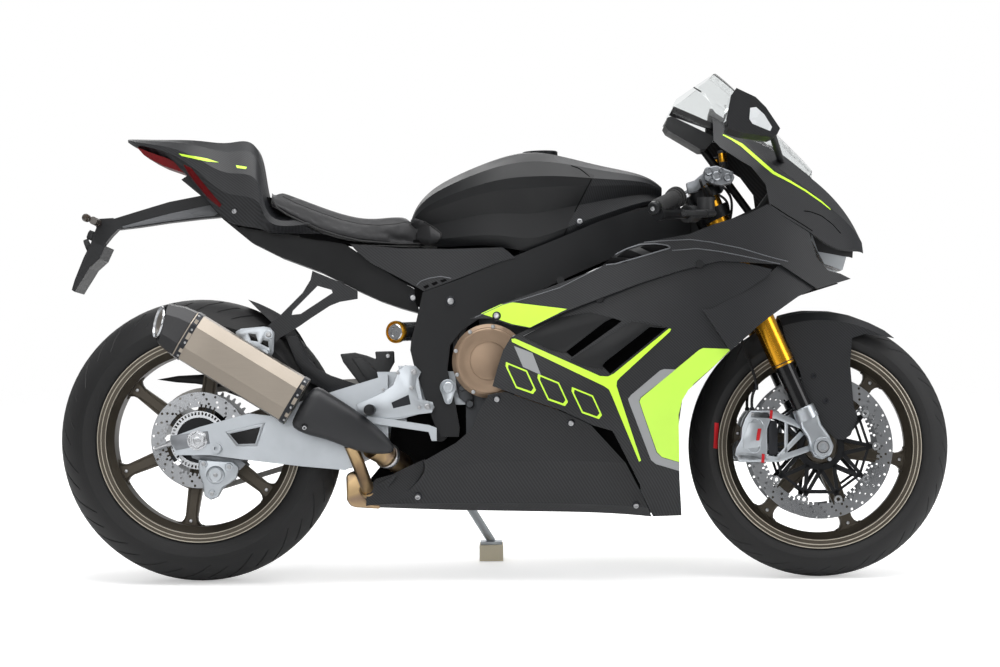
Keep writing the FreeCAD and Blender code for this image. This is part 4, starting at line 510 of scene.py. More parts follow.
# Clear acrylic: sheds light at its edges, no tint of its own
def clearAcrylic(name, colour="#F2F4F4", roughness=0.02, weight=1.0):
    material, shader, spot = newMaterial(name, colour, 0, roughness, IOR=1.49,
                                         Transmission_Weight=weight)
    dust = addNode(material, "TexNoise", {}, {"Vector": spot, "Scale": 40.0, "Detail": 4.0})
    rough = addNode(material, "MapRange", {}, {"Value": dust.outputs[0], "From Min": 0.4,
                                               "From Max": 0.8, "To Min": roughness,
                                               "To Max": roughness + 0.05})
    feed(shader, "Roughness", rough.outputs["Result"])
    return material


# Heated titanium or steel pipe: straw, bronze and blue bands that drift along it
def heatedPipe(name):
    material, shader, spot = newMaterial(name, "#8E7A62", 1.0, 0.3)
    drift = addNode(material, "TexNoise", {}, {"Vector": spot, "Scale": 7.0, "Detail": 3.0,
                                               "Distortion": 0.6})
    bands = addNode(material, "ValToRGB", {}, {0: drift.outputs[0]})
    ramp = bands.color_ramp
    for place, tint in ((0.32, "#6E5A48"), (0.45, "#9C8462"), (0.55, "#B49A74"), (0.66, "#7F6C66"),
                        (0.74, "#A08A6C")):
        stop = ramp.elements.new(place)
        stop.color = linear(tint)
    ramp.elements.remove(ramp.elements[0])
    ramp.elements.remove(ramp.elements[-1])
    feed(shader, "Base Color", bands.outputs[0])
    return material


# Seat cover: black vinyl with a leather grain of small plates, about 1.5 mm
def seatVinyl(name):
    material, shader, spot = newMaterial(name, "#1B1B1D", 0, 0.58, Sheen_Weight=0.15,
                                         Sheen_Roughness=0.4)
    plates = addNode(material, "TexVoronoi", {"feature": "DISTANCE_TO_EDGE"},
                     {"Vector": spot, "Scale": 520.0})
    cloud = addNode(material, "TexNoise", {}, {"Vector": spot, "Scale": 16.0, "Detail": 3.0})
    colours = addNode(material, "Mix", {"data_type": "RGBA"},
                      {0: cloud.outputs[0], 6: linear("#161617"), 7: linear("#242427")})
    feed(shader, "Base Color", colours.outputs[2])
    bump = addNode(material, "Bump", {}, {"Strength": 0.3, "Distance": 0.0003,
                                          "Height": plates.outputs[0]})
    feed(shader, "Normal", bump.outputs[0])
    return material


carbon = carbonTwill("carbonTwill")
carbonDark = carbonTwill("carbonTwillDark", "#0D0E10", "#1C1D20", 0.0018, 0.5, 0.08)
satinPaint = grained("satinBlackPaint", "#101113", 0, 0.42, 1.2, 0.05, 0.05,
                     Specular_IOR_Level=0.32)
framePaint = grained("powderCoatGraphite", "#141517", 0.1, 0.5, 0.9, 0.18, Specular_IOR_Level=0.32)
blackPlastic = grained("mouldedNylonBlack", "#17181A", 0, 0.55, 1.0, 0.25)
blackMetal = grained("blackAnodisedAluminium", "#1E1F21", 0.7, 0.4, 0.8, 0.12)
blackGloss = grained("blackCoatedSteel", "#101012", 0.3, 0.16, 0.6, 0.02)
rimPaint = grained("castWheelBronzeGrey", "#4A443B", 0.6, 0.42, 0.9, 0.12)
# pale rings at the rim edges: metallic edge rings, their paleness partly painted highlight
rimLine = grained("rimEdgeRingAndHighlight", "#A9A294", 0.2, 0.4, 0.9, 0.05)
discSteel = brushed("groundDiscSteel", "#9C9EA1", 0.28, (0, 1, 0), 0.8)
castSilver = grained("blastedSilverAluminium", "#B0B5BA", 0.9, 0.36, 0.7, 0.15)
machined = brushed("machinedAluminium", "#C6C8CB", 0.26, (1, 0, 0), 0.6)
goldAnodised = grained("goldAnodisedAluminium", "#D79B2A", 1.0, 0.26, 0.6, 0.04)
bronzeCover = grained("castCoverBronze", "#8F7A66", 0.65, 0.4, 0.8, 0.18)
boltSteel = grained("zincPlatedSteel", "#A7A8AA", 1.0, 0.32, 0.5, 0.05)
darkBolt = grained("blackenedSteel", "#303134", 0.9, 0.4, 0.5, 0.08)
chainSteel = grained("chainSteel", "#8B8985", 1.0, 0.38, 0.6, 0.1)
titanium = brushed("brushedTitanium", "#8F877D", 0.34, (1, 0, 0), 0.7, 0.08)
exhaustMetal = heatedPipe("heatedTitanium")
engineCast = grained("engineCastingGrey", "#45474A", 0.6, 0.5, 0.8, 0.3)
rubber = grained("softRubber", "#141415", 0, 0.7, 0.8, 0.3)
vinyl = seatVinyl("seatVinyl")
limePaint = grained("limePaint", "#C3F53A", 0, 0.38, 0.9, 0.03, 0.02)
limePale = grained("limePanelPaint", "#BDEB4E", 0, 0.42, 0.9, 0.03, 0.02)
greyPaint = grained("greyPaint", "#8B8D8F", 0, 0.42, 0.9, 0.03, 0.03)
screenClear = clearAcrylic("clearAcrylic")
redLens = grained("redLensAcrylic", "#5A0308", 0, 0.36, 2.0, 0.02, 0.05, Specular_IOR_Level=0.12)
frostedLens = grained("frostedIndicatorLens", "#C4C7C9", 0, 0.25, 3.0, 0.5, 0.12, Coat_Weight=0.5)
lampLens = grained("frostedLampLens", "#A9ADB1", 0, 0.16, 3.0, 0.3, 0.05, Coat_Weight=0.6)
redAccent = grained("redAnodised", "#C21F26", 0.4, 0.35, 0.8, 0.03)
mirrorGlass = grained("mirrorGlass", "#DDE1E3", 1.0, 0.04, 4.0, 0.0, 0.01)
amberLens = grained("smokedIndicatorLens", "#3B342D", 0, 0.15, 2.0, 0.02, 0.05)
creamPlastic = grained("creamMouldedPlastic", "#E6DCC2", 0, 0.5, 1.2, 0.15, 0.03)
# grey for the underside of the plate hanger arm: painted highlight where the floor lights it
paintedUndersideHighlight = grained("paintedBounceHighlightGrey", "#5C5E61", 0, 0.5, 1.0, 0.2)
greyMetal = grained("blastedGreyAluminium", "#7F8286", 0.8, 0.4, 0.7, 0.15)
frontRubber = tyreRubber("frontTyreRubber", stance["frontAxle"])
rearRubber = tyreRubber("rearTyreRubber", stance["rearAxle"])


# Camera, floor, pale background and studio light
studio = {
    "floorColour": "#F6F6F6",
    "floorFade": (2.3, 5.5),
    "skyLight": (0.2, 0.6),
    "overheadPower": 105,
    "sidePower": 42,
    "backPower": 40,
}


def buildStudio():
    data = bpy.data.cameras.new("Camera")
    data.sensor_width = camera["sensor"]
    data.lens = camera["focalPixels"] / 1000 * camera["sensor"]
    data.clip_end = 100
    eye = bpy.data.objects.new("Camera", data)
    bpy.context.collection.objects.link(eye)
    eye.matrix_world = cameraMatrix
    bpy.context.scene.camera = eye

    toObjectMode()
    bpy.ops.mesh.primitive_plane_add(size=16, location=(0, 0, -0.0005))
    floor = bpy.context.object
    floor.name = "floor"
    floor.data.materials.append(floorPaper())

    lights = (
        ("overhead", (0.1, -0.6, 3.2), (0, 0, 0.5), 3.4, 2.2, studio["overheadPower"]),
        ("side", (-1.2, -4.2, 1.9), (0, 0, 0.5), 2.6, 2.0, studio["sidePower"]),
        ("ahead", (3.6, -1.6, 1.8), (0, 0, 0.6), 2.0, 1.8, studio["backPower"]),
        ("behind", (-0.6, 3.8, 2.4), (0, 0, 0.6), 2.8, 2.0, studio["backPower"]),
    )
    for name, place, aim, width, height, power in lights:
        lamp = bpy.data.lights.new(name, "AREA")
        lamp.shape = "RECTANGLE"
        lamp.size, lamp.size_y = width, height
        lamp.energy = power
        stand = bpy.data.objects.new(name, lamp)
        bpy.context.collection.objects.link(stand)
        stand.location = place
        stand.rotation_euler = (Vector(aim) - Vector(place)).to_track_quat("-Z", "Y").to_euler()

    world = bpy.data.worlds.new("Studio")
    bpy.context.scene.world = world
    world.use_nodes = True
    world.node_tree.nodes.clear()
    path = addNode(world, "LightPath")
    seen = addNode(world, "Math", {"operation": "MAXIMUM"},
                   {0: path.outputs["Is Camera Ray"], 1: path.outputs["Is Transmission Ray"]})
    # the light falls off towards the floor and the far wall, so that metal has something to show
    facing = addNode(world, "TexCoord")
    parts = addNode(world, "SeparateXYZ", {}, {0: facing.outputs["Generated"]})
    power = addNode(world, "MapRange", {},
                    {"Value": parts.outputs["Z"], "From Min": -0.25, "From Max": 0.9,
                     "To Min": studio["skyLight"][0], "To Max": studio["skyLight"][1]})
    light = addNode(world, "Background", {}, {"Color": (1, 1, 1, 1),
                                              "Strength": power.outputs["Result"]})
    white = addNode(world, "Background", {}, {"Color": (1, 1, 1, 1), "Strength": 1.0})
    mix = addNode(world, "MixShader", {}, {0: seen.outputs[0], 1: light.outputs[0],
                                           2: white.outputs[0]})
    addNode(world, "OutputWorld", {}, {0: mix.outputs[0]})
    bpy.context.scene.view_settings.view_transform = "Standard"
    print("studio: camera, floor, lights")


# Which finish each CAD node has
nodeFinish = {
    "front_tyre": frontRubber, "rear_tyre": rearRubber,
    "front_rim": rimPaint, "rear_rim": rimPaint,
    "front_discs": discSteel, "rear_disc": discSteel,
    "front_carriers": blackMetal, "rear_carrier": blackMetal, "rear_sprocket": blackMetal,
    "front_axle": machined, "rear_axle": machined,
    "fork_tubes": goldAnodised, "fork_legs": blackMetal, "yokes": blackMetal,
    "handlebars": blackMetal, "grips": rubber, "bar_controls": blackPlastic,
    "front_calipers": castSilver, "front_fender": carbon,
    "frame": framePaint, "side_stand": castSilver, "swingarm": castSilver,
    "spool_bosses": castSilver, "chain": chainSteel, "shock": castSilver,
    "engine": engineCast, "engine_covers": bronzeCover, "radiator": blackMetal,
    "rearsets": castSilver, "muffler": titanium, "muffler_ends": carbon,
    "exhaust_pipe": exhaustMetal, "rear_caliper": blackMetal, "rear_hugger": carbonDark,
    "fuel_tank": satinPaint, "airbox_cover": carbon, "fuel_cap": blackMetal,
    "seat": vinyl, "tail_cowl": carbon, "tail_lamp": redLens, "subframe": framePaint,
    "muffler_hanger": carbon, "muffler_bracket": castSilver, "side_covers": carbon,
    "plate_hanger": carbonDark, "rear_indicators": amberLens,
    "fairing_mid": carbon, "fairing_upper": carbon, "wing_ducts": carbon,
    "belly_pan": carbon, "nose_cowl": carbon, "windscreen": screenClear,
    "dash": blackPlastic, "mirrors": carbonDark, "headlamps": lampLens,
    "fairing_stays": framePaint, "stand_block": creamPlastic,
}
for name, finish in nodeFinish.items():
    data = nodes[name].data
    if data.materials:
        for i in range(len(data.materials)):
            data.materials[i] = finish
    else:
        data.materials.append(finish)
print("finishes: every CAD node")

buildStudio()


# Painted films on the bodywork, their outlines in pixels of the photograph
graphics = {
    "filmThickness": 0.0006,
    "reach": (0.012, 0.5),
    "frontPanel": [(731, 349), (703, 348), (699, 350), (676, 369), (641, 398), (639.5, 401.5),
                   (644, 415), (657, 452), (662, 457), (679, 462), (679.5, 440), (678.5, 415),
                   (682, 401), (694, 383.5), (715, 365)],
    "frontBand": [(676, 369.5), (664, 369), (660, 370.5), (631, 395), (628, 399), (630, 405),
                  (651, 460), (656, 464), (679.5, 471), (679.5, 462.5), (662, 457.5),
                  (656.5, 452.5), (643.5, 415), (639, 401.5), (640.5, 397.5)],
    "flag": [(481, 313.5), (500, 304.5), (513, 302.5), (567, 309), (530, 327.5), (512, 324)],
    "branch": [(511.5, 339), (515, 338.5), (600, 376), (608, 376.5), (614, 373.5), (669, 328.5),
               (671, 329), (670, 331.5), (620, 377.5), (617, 381), (616.5, 386), (621, 400),
               (641, 460.5), (639, 461.5), (612, 396), (609, 389.5), (604, 386), (512, 342)],
    "patchHigh": [(523, 336), (549, 323.5), (565.5, 328), (540, 341.5)],
    "patchLow": [(514, 346), (532.5, 353), (541, 375), (523, 367)],
    "outlinedShapes": [(506, 362), (538, 374), (572, 387)],
    "tailStripe": [(178.5, 153.5), (207, 158.6), (219, 162.6), (206, 161.4), (182, 156)],
    "tailMark": [(236, 165.2), (247, 167), (246, 169.2), (237, 168)],
    "tailRedEdge": [(183.5, 164.5), (192, 168.6), (201, 180), (210, 191), (221.5, 204.5),
                    (219.6, 207.4), (208, 197.5), (197, 184.5), (188, 173)],
}


# A body that fills an outline of the photograph, along the lines of sight
def sightBody(name, pixels):
    return loftOf(name, [[photoPoint(u, v, out) for u, v in pixels] for out in graphics["reach"]])


# The right-hand skin of a body part inside an outline of the photograph
def skinPatch(name, node, pixels, faceOut=0.12):
    skin = meshOfNode(name, node)
    carve(skin, sightBody(name + "Cutter", pixels), "INTERSECT")
    editMode(skin)
    selectFaces(skin, lambda centre, normal: -normal.y < faceOut)
    bpy.ops.mesh.delete(type="FACE")
    toObjectMode()
    return skin


# A painted film: the patch raised by the film's thickness, on both sides of the motorcycle
def filmOn(name, node, pixels, colour, lift=1.0, faceOut=0.12):
    skin = skinPatch(name, node, pixels, faceOut)
    swell(skin, graphics["filmThickness"] * lift)
    return settleBoth(name, [skin], colour, smooth=0)


def buildGraphics():
    for name, node, outline, paint, lift, faceOut in (
        ("limeFrontPanel", "fairing_mid", "frontPanel", limePale, 1.0, 0.12),
        ("greyFrontBand", "fairing_mid", "frontBand", greyPaint, 1.0, 0.12),
        ("limeFlag", "fairing_upper", "flag", limePaint, 1.0, 0.12),
        ("limeBranch", "fairing_mid", "branch", limePaint, 2.0, 0.12),
        ("greyPatchHigh", "fairing_mid", "patchHigh", greyPaint, 1.0, 0.12),
        ("greyPatchLow", "fairing_mid", "patchLow", greyPaint, 1.0, 0.12),
        ("limeTailStripe", "tail_cowl", "tailStripe", limePaint, 1.0, 0.12),
        ("limeTailMark", "tail_cowl", "tailMark", limePaint, 1.0, 0.12),
        ("redTailEdge", "tail_cowl", "tailRedEdge", redLens, 1.0, 0.0),
    ):
        filmOn(name, node, graphics[outline], paint, lift, faceOut)
    # generic outlined shapes where the photograph has a number
    shapes = []
    for u, v in graphics["outlinedShapes"]:
        ring = [(u, v), (u + 21, v + 8.5), (u + 30, v + 28), (u + 27, v + 32), (u + 10, v + 26),
                (u - 0.5, v + 4)]
        inner = [(u + 15 + (a - u - 15) * 0.84, v + 16 + (b - v - 16) * 0.84) for a, b in ring]
        shape = skinPatch("limeOutline", "fairing_mid", ring)
        carve(shape, sightBody("insideOutline", inner))
        shapes.append(shape)
    shape = join("limeOutlines", shapes)
    swell(shape, graphics["filmThickness"])
    settleBoth("limeOutlines", [shape], limePaint, smooth=0)
    print("graphics: films on the fairing and the tail")


buildGraphics()


# Wheels: tyres with cut tread, rim trim, drilled discs, carriers
wheels = {
    "front": {"axle": stance["frontAxle"], "radius": 0.299, "half": 0.06, "drop": 0.044,
              "rimHalf": 0.052, "spokeAngle": 50.5, "treadCount": 18,
              "grooveFrom": 0.01, "grooveTo": 0.05},
    "rear": {"axle": stance["rearAxle"], "radius": 0.324, "half": 0.095, "drop": 0.058,
             "rimHalf": 0.084, "spokeAngle": 22.0, "treadCount": 18,
             "grooveFrom": 0.022, "grooveTo": 0.082},
    "hubHalf": 0.0165, "hubEnd": {"front": 0.06, "rear": 0.074},
    "grooveDepth": 0.004, "grooveWidth": 1.3, "grooveSlant": 14.0,
    "rimGap": 0.0003, "wallThickness": 0.007, "treadThickness": 0.009,
    "rimLines": ((0.2325, 0.0011), (0.2245, 0.0011), (0.2145, 0.0009)),
    # half the outline of a spoke: distance from the axle, half width
    "spoke": [(0.028, 0.0225), (0.05, 0.0185), (0.075, 0.013), (0.15, 0.0115), (0.172, 0.0125),
              (0.186, 0.0165), (0.194, 0.023), (0.1995, 0.0335)],
    "spokeCount": 6, "studRadius": 0.188, "valveRadius": 0.199,
    # discs: outer and inner radius, thickness, groups of holes
    "frontDisc": (0.165, 0.13, 0.005, 36), "rearDisc": (0.11, 0.076, 0.005, 24),
    "rearDiscPlace": -0.08,
    # carrier: radius and bore of its hub, reach of its arms, their count, thickness and half width
    "frontCarrier": (0.054, 0.0395, 0.122, 10, 0.005, 0.0048),
    "frontButtons": (0.1265, 10, 0.006, 0.0085),
    "discPlace": 0.066,
    "flangeRadius": 0.232, "beadRadius": 0.2188, "beadWidth": 0.012, "flangeWidth": 0.006,
}


# Points of the circle through a, b and c, from a to c
def arcThrough(a, b, c, steps):
    ax, ay, bx, by, cx, cy = *a, *b, *c
    d = 2 * (ax * (by - cy) + bx * (cy - ay) + cx * (ay - by))
    aa, bb, cc = ax * ax + ay * ay, bx * bx + by * by, cx * cx + cy * cy
    ux = (aa * (by - cy) + bb * (cy - ay) + cc * (ay - by)) / d
    uy = (aa * (cx - bx) + bb * (ax - cx) + cc * (bx - ax)) / d
    start, end = math.atan2(ay - uy, ax - ux), math.atan2(cy - uy, cx - ux)
    way = math.atan2(by - uy, bx - ux)
    while end < start:
        end += math.tau
    while way < start:
        way += math.tau
    if way > end:
        end -= math.tau
    reach = math.hypot(ax - ux, ay - uy)
    return [(ux + reach * math.cos(start + (end - start) * i / steps),
             uy + reach * math.sin(start + (end - start) * i / steps)) for i in range(steps + 1)]


# One groove, as a thin slice through the tread that runs back as it goes out to the side
def treadGroove(wheel, centre, low, high, way, start):
    crown = (wheel["half"] ** 2 + wheel["drop"] ** 2) / (2 * wheel["drop"])
    reach = wheel["grooveTo"] - wheel["grooveFrom"]
    outer, inner = [], []
    for i in range(7):
        y = wheel["grooveFrom"] + reach * (low + (high - low) * i / 6)
        slope = y / crown
        level = wheel["radius"] - crown + math.sqrt(crown ** 2 - y * y)
        depth = wheels["grooveDepth"] * (1 - 0.6 * i / 6)
        for line, lift in ((outer, 0.004), (inner, -depth)):
            line.append((way * (y + slope * lift), level + lift * math.sqrt(1 - slope * slope)))
    points = outer + inner[::-1]
    groove = loopOf("groove", [(centre[0], y, centre[2] + r) for y, r in points], fill=True)
    editMode(groove)
    bpy.ops.mesh.extrude_region_move()
    bpy.ops.transform.rotate(value=math.radians(wheels["grooveWidth"]), orient_axis="Y",
                             center_override=centre)
    toObjectMode()
    for vertex in groove.data.vertices:
        place = vertex.co - Vector(centre)
        run = max(0.0, (abs(place.y) - wheel["grooveFrom"]) / reach)
        bend = math.radians(wheels["grooveSlant"] * run ** 1.4 + start)
        vertex.co = Matrix.Rotation(-bend, 3, "Y") @ place + Vector(centre)
    return groove


# A place this far from an axle, at this angle round it and this far along it
def atAngle(angle, radius, along=0.0):
    return Vector((radius * math.cos(angle), along, radius * math.sin(angle)))


def turnAbout(place, angle):
    turn = Matrix.Rotation(angle, 4, "Y")
    return Matrix.Translation(place) @ turn @ Matrix.Translation(-Vector(place))


def buildTyre(side, rubberFinish):
    wheel = wheels[side]
    radius, half, shoulder = wheel["radius"], wheel["half"], wheel["radius"] - wheel["drop"]
    neck = wheels["flangeRadius"] + wheels["rimGap"]
    beadOut = wheel["rimHalf"] - wheels["flangeWidth"] - wheels["rimGap"]
    beadIn = beadOut - wheels["beadWidth"]
    middle = (shoulder + wheels["flangeRadius"]) / 2
    bulge = (half + beadOut) / 2 + 0.003
    crown = arcThrough((-half, shoulder), (0, radius), (half, shoulder), 22)
    left = arcThrough((half, shoulder), (bulge, middle), (beadOut, neck), 6)[1:]
    right = [(-y, r) for y, r in reversed(left)]
    bead = [(beadOut, wheels["beadRadius"]), (beadIn, wheels["beadRadius"]), (beadIn, neck)]
    wall, tread = wheels["wallThickness"], wheels["treadThickness"]
    inside = [(half - wall, shoulder), (0, radius - tread), (-half + wall, shoulder)]
    section = right + crown + left + bead + inside + [(-y, r) for y, r in reversed(bead)]
    centre = (wheel["axle"][0], 0, wheel["axle"][1])
    tyre = turned(side + "Tyre", section, centre, steps=96)

    cutters = []
    pitch = 360 / wheel["treadCount"]
    for way in (1, -1):
        for low, high, start in ((0.0, 1.0, 0.0), (0.3, 0.85, 0.5)):
            turn = pitch * (start + (0.5 if way < 0 else 0))
            cutter = treadGroove(wheel, centre, low, high, way, turn)
            for i in range(wheel["treadCount"]):
                copied = copyOf(cutter, "groove")
                copied.data.transform(turnAbout(centre, math.tau * i / wheel["treadCount"]))
                cutters.append(copied)
            bpy.data.objects.remove(cutter)
    allGrooves = join("grooves", cutters)
    fixNormals(allGrooves)
    carve(tyre, allGrooves)
    settle(tyre, rubberFinish, side + "_wheel", smooth=28)
    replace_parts(tyre, side + "_tyre")


def axlePlace(side):
    x, z = stance[side + "Axle"]
    return Vector((x, 0, z))


def roundCopies(piece, name, count, place, start):
    copies = []
    for i in range(count):
        copied = copyOf(piece, name)
        copied.data.transform(turnAbout(place, math.tau * i / count + start))
        copies.append(copied)
    bpy.data.objects.remove(piece)
    return join(name, copies)


# Pale lines round the rim, edge rings whose paleness is partly painted highlight; the flared ends
# of the spokes and a bolt on each
def buildRimTrim(side):
    wheel = wheels[side]
    centre = axlePlace(side)
    rings = []
    for way in (1, -1):
        edge = wheel["rimHalf"] * way
        for radius, width in wheels["rimLines"]:
            section = [(edge + way * 0.0004, radius - width), (edge + way * 0.001, radius),
                       (edge + way * 0.0004, radius + width), (edge - way * 0.001, radius)]
            rings.append(turned("rimLine", section, centre, steps=96))
    trim = join(side + "RimLines", rings)
    settle(trim, rimLine, side + "_wheel")

    hubHalf = wheels["hubHalf"]
    spoke, count = wheels["spoke"], wheels["spokeCount"]
    outline = spoke + [(r, -w) for r, w in reversed(spoke)]
    outline = [(centre.x + r, centre.z + w) for r, w in outline]
    flare = plateOf("spokeForm", outline, -hubHalf, hubHalf)
    softenEdges(flare, 0.003, 3)
    insetFaces(flare, lambda place, normal: abs(normal.y) > 0.95, 0.0045, -0.0035)
    spokes = roundCopies(flare, side + "Spokes", count, centre, -math.radians(wheel["spokeAngle"]))
    settle(spokes, rimPaint, side + "_wheel")

    studs = []
    for i in range(count):
        angle = math.radians(wheel["spokeAngle"] + 60 * i)
        for way in (1, -1):
            spot = centre + atAngle(angle, wheels["studRadius"], way * hubHalf)
            studs.append(turned("rimStud", [(0, core), (way * 0.003, core), (way * 0.0026, 0.0034),
                                            (0, 0.0042)], spot, steps=12))
    settle(join(side + "RimStuds", studs), boltSteel, side + "_wheel")

    # hub: stepped rings round the axle, and the tyre valve
    hub = []
    for way in (1, -1):
        end = wheels["hubEnd"][side]
        hub.append(turned("hubStep", [(way * hubHalf, 0.0362), (way * hubHalf, 0.046),
                                      (way * (hubHalf + 0.006), 0.0455),
                                      (way * (end - 0.014), 0.0385), (way * (end - 0.01), 0.0365)],
                          centre))
    settle(join(side + "HubSteps", hub), rimPaint, side + "_wheel")
    angle = math.radians(wheel["spokeAngle"] + 30)
    base = centre + atAngle(angle, wheels["valveRadius"])
    inward = atAngle(angle, -1)
    valve = turned("valve", [(0, core), (0, 0.005), (0.004, 0.005), (0.006, 0.0035), (0.026, 0.003),
                             (0.026, 0.0042), (0.034, 0.004), (0.035, core)], base, inward, 12)
    settle(valve, rubber, side + "_wheel")


# A box of this size, at an angle round an axle and turned with it
def boxRound(centre, angle, radius, place, size):
    toObjectMode()
    spot = centre + atAngle(angle, radius, place)
    bpy.ops.mesh.primitive_cube_add(size=1, location=spot, rotation=(0, -angle, 0))
    box = bpy.context.object
    box.scale = size
    return box


def cutOut(piece, cutters):
    tool = join("cutters", cutters)
    activate(tool)
    bpy.ops.object.transform_apply(location=True, rotation=True, scale=True)
    carve(piece, tool)


# A disc with drilled holes and a slotted inner edge
def buildDisc(name, centre, place, outer, inner, thickness, groups):
    near, far, edge = place - thickness / 2, place + thickness / 2, 0.0006
    disc = turned(name, [(near, inner), (far, inner), (far, outer - edge), (far - edge, outer),
                         (near + edge, outer), (near, outer - edge)], centre, steps=120)
    cutters = []
    for i in range(groups):
        for k, share in enumerate((0.22, 0.5, 0.78)):
            angle = math.tau * (i + k * 0.31) / groups
            radius = inner + (outer - inner) * (share + 0.06)
            toObjectMode()
            spot = centre + atAngle(angle, radius, place)
            bpy.ops.mesh.primitive_cylinder_add(vertices=10, radius=0.003, depth=thickness * 3,
                                                location=spot, rotation=(math.pi / 2, 0, 0))
            cutters.append(bpy.context.object)
    slots = groups * 2
    for i in range(slots):
        angle = math.tau * (i + 0.5) / slots
        # the buttons of the carrier stand in the gaps between the slots
        if i % (slots // 8) not in (0, 1):
            cutters.append(boxRound(centre, angle, inner, place, (0.013, thickness * 3, 0.0042)))
    cutOut(disc, cutters)
    return disc


# Thin arms that cross between the hub and the disc, tied by rungs; the round button at each outer
# end is made below
def buildCarrier(name, centre, place, hubOuter, hubInner, reach, count, thickness, half):
    near, far = place - thickness / 2, place + thickness / 2
    parts = [turned(name, [(near, hubInner), (far, hubInner), (far, hubOuter), (near, hubOuter)],
                    centre, steps=60)]
    for i in range(count):
        outerAngle = math.tau * i / count
        for step in (-0.5, 0.5):
            innerAngle = outerAngle + math.tau * step / count
            start, end = atAngle(innerAngle, hubOuter - 0.002), atAngle(outerAngle, reach)
            along = (end - start).normalized()
            across = Vector((-along.z, 0, along.x)) * half
            corners = [start - across, end - across * 0.8, end + across * 0.8, start + across]
            outline = [(centre.x + c.x, centre.z + c.z) for c in corners]
            parts.append(plateOf("arm", outline, -far, -near))
        start = atAngle(outerAngle, reach * 0.9)
        end = atAngle(outerAngle + math.tau / count, reach * 0.9)
        along = (end - start).normalized()
        across = Vector((-along.z, 0, along.x)) * half * 0.6
        corners = [start - across, end - across, end + across, start + across]
        outline = [(centre.x + c.x, centre.z + c.z) for c in corners]
        parts.append(plateOf("rung", outline, -far, -near))
    return join(name, parts)


def buildButtons(name, centre, place, reach, count, thickness, radius):
    parts = []
    for i in range(count):
        angle = math.tau * i / count
        spot = centre + atAngle(angle, reach, place)
        half = thickness / 2 + 0.0015
        parts.append(turned("button", [(-half, 0.0045), (-half, radius),
                                       (-half * 0.6, radius + 0.001), (half * 0.6, radius + 0.001),
                                       (half, radius), (half, 0.0045)], spot, steps=16))
    return join(name, parts)


def buildWheels():
    for side, finish in (("front", frontRubber), ("rear", rearRubber)):
        buildTyre(side, finish)
        buildRimTrim(side)
    front = axlePlace("front")
    discs, carriers, buttons = [], [], []
    for place in (-wheels["discPlace"], wheels["discPlace"]):
        discs.append(buildDisc("frontDisc", front, place, *wheels["frontDisc"]))
        carriers.append(buildCarrier("frontCarrier", front, place, *wheels["frontCarrier"]))
        buttons.append(buildButtons("frontButtons", front, place, *wheels["frontButtons"]))
    disc = join("frontDiscsDrilled", discs)
    settle(disc, discSteel, "front_wheel", smooth=30)
    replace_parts(disc, "front_discs")
    carrier = join("frontCarrierArms", carriers)
    settle(carrier, blackMetal, "front_wheel", smooth=30)
    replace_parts(carrier, "front_carriers")
    settle(join("frontDiscButtons", buttons), machined, "front_wheel", smooth=30)
    disc = buildDisc("rearDiscDrilled", axlePlace("rear"), wheels["rearDiscPlace"],
                     *wheels["rearDisc"])
    settle(disc, discSteel, "rear_wheel", smooth=30)
    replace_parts(disc, "rear_disc")
    print("wheels: tyres, rims, discs, carriers")


buildWheels()


# Front end: fork lowers, calipers with their struts, hoses, fender fasteners
frontEnd = {
    "tyreMark": [(714.5, 422.5), (718.6, 423.2), (717.4, 448.8), (713.4, 448.2)],
    "forkSpacing": 0.105, "clampOffset": 0.028, "stanchion": 0.0212,
    "sealLow": 0.205, "legLow": 0.07, "legHigh": 0.2045, "sleeveLow": 0.07, "sleeveHigh": 0.1,
    "sleeveRadius": 0.0262,
    "caliperOutline": [(741.6, 427.7), (744.5, 418.5), (749.5, 410.5), (769.3, 411.2),
                       (771.5, 417.9), (767.5, 428.6), (767.4, 457.1), (771.5, 461.8),
                       (738.9, 460.6), (734.5, 454.8), (735.5, 448.4), (740.6, 439.3)],
    "bridgeOutline": [(741.6, 427.7), (744.5, 418.5), (749.5, 410.5), (757.0, 410.8),
                      (751.0, 421.0), (747.0, 433.0), (746.0, 447.0), (748.0, 461.0),
                      (738.9, 460.6), (734.5, 454.8), (735.5, 448.4), (740.6, 439.3)],
    "upperArm": [(750.5, 410.4), (769.3, 410.4), (780, 413.2), (790.7, 417.5), (803, 423.5),
                 (801, 429), (787.1, 423.6), (776.4, 418.9), (750.5, 418.0)],
    "lowerArm": [(735.4, 452.2), (742.0, 451.5), (776.4, 456.6), (812.1, 444.2), (814.2, 449.6),
                 (780, 462.0), (738.9, 462.2)],
    "upright": [(784.6, 420.4), (788.4, 420.4), (787.6, 460.3), (784.0, 460.3)],
    "diagonal": [(800.4, 431.1), (804.3, 434.6), (780.6, 458.6), (776.9, 455.3)],
    "footWeb": [(801.2, 424.0), (808.6, 424.0), (816.7, 442.9), (811.8, 445.2)],
    "foot": [(798.5, 417.5), (816.5, 410.0), (821.5, 424.5), (829.5, 435.5), (834.0, 446.0),
             (831.0, 455.0), (822.5, 459.8), (814.5, 457.2), (810.6, 449.5), (807.5, 437.5),
             (801.5, 428.5)],
}


def steerPoint(x, y, z):
    base, up = Vector(stance["steerBase"]), Vector(stance["steerDirection"])
    ahead = Vector((up.z, 0, -up.x))
    return base + ahead * x + Vector((0, y, 0)) + up * z


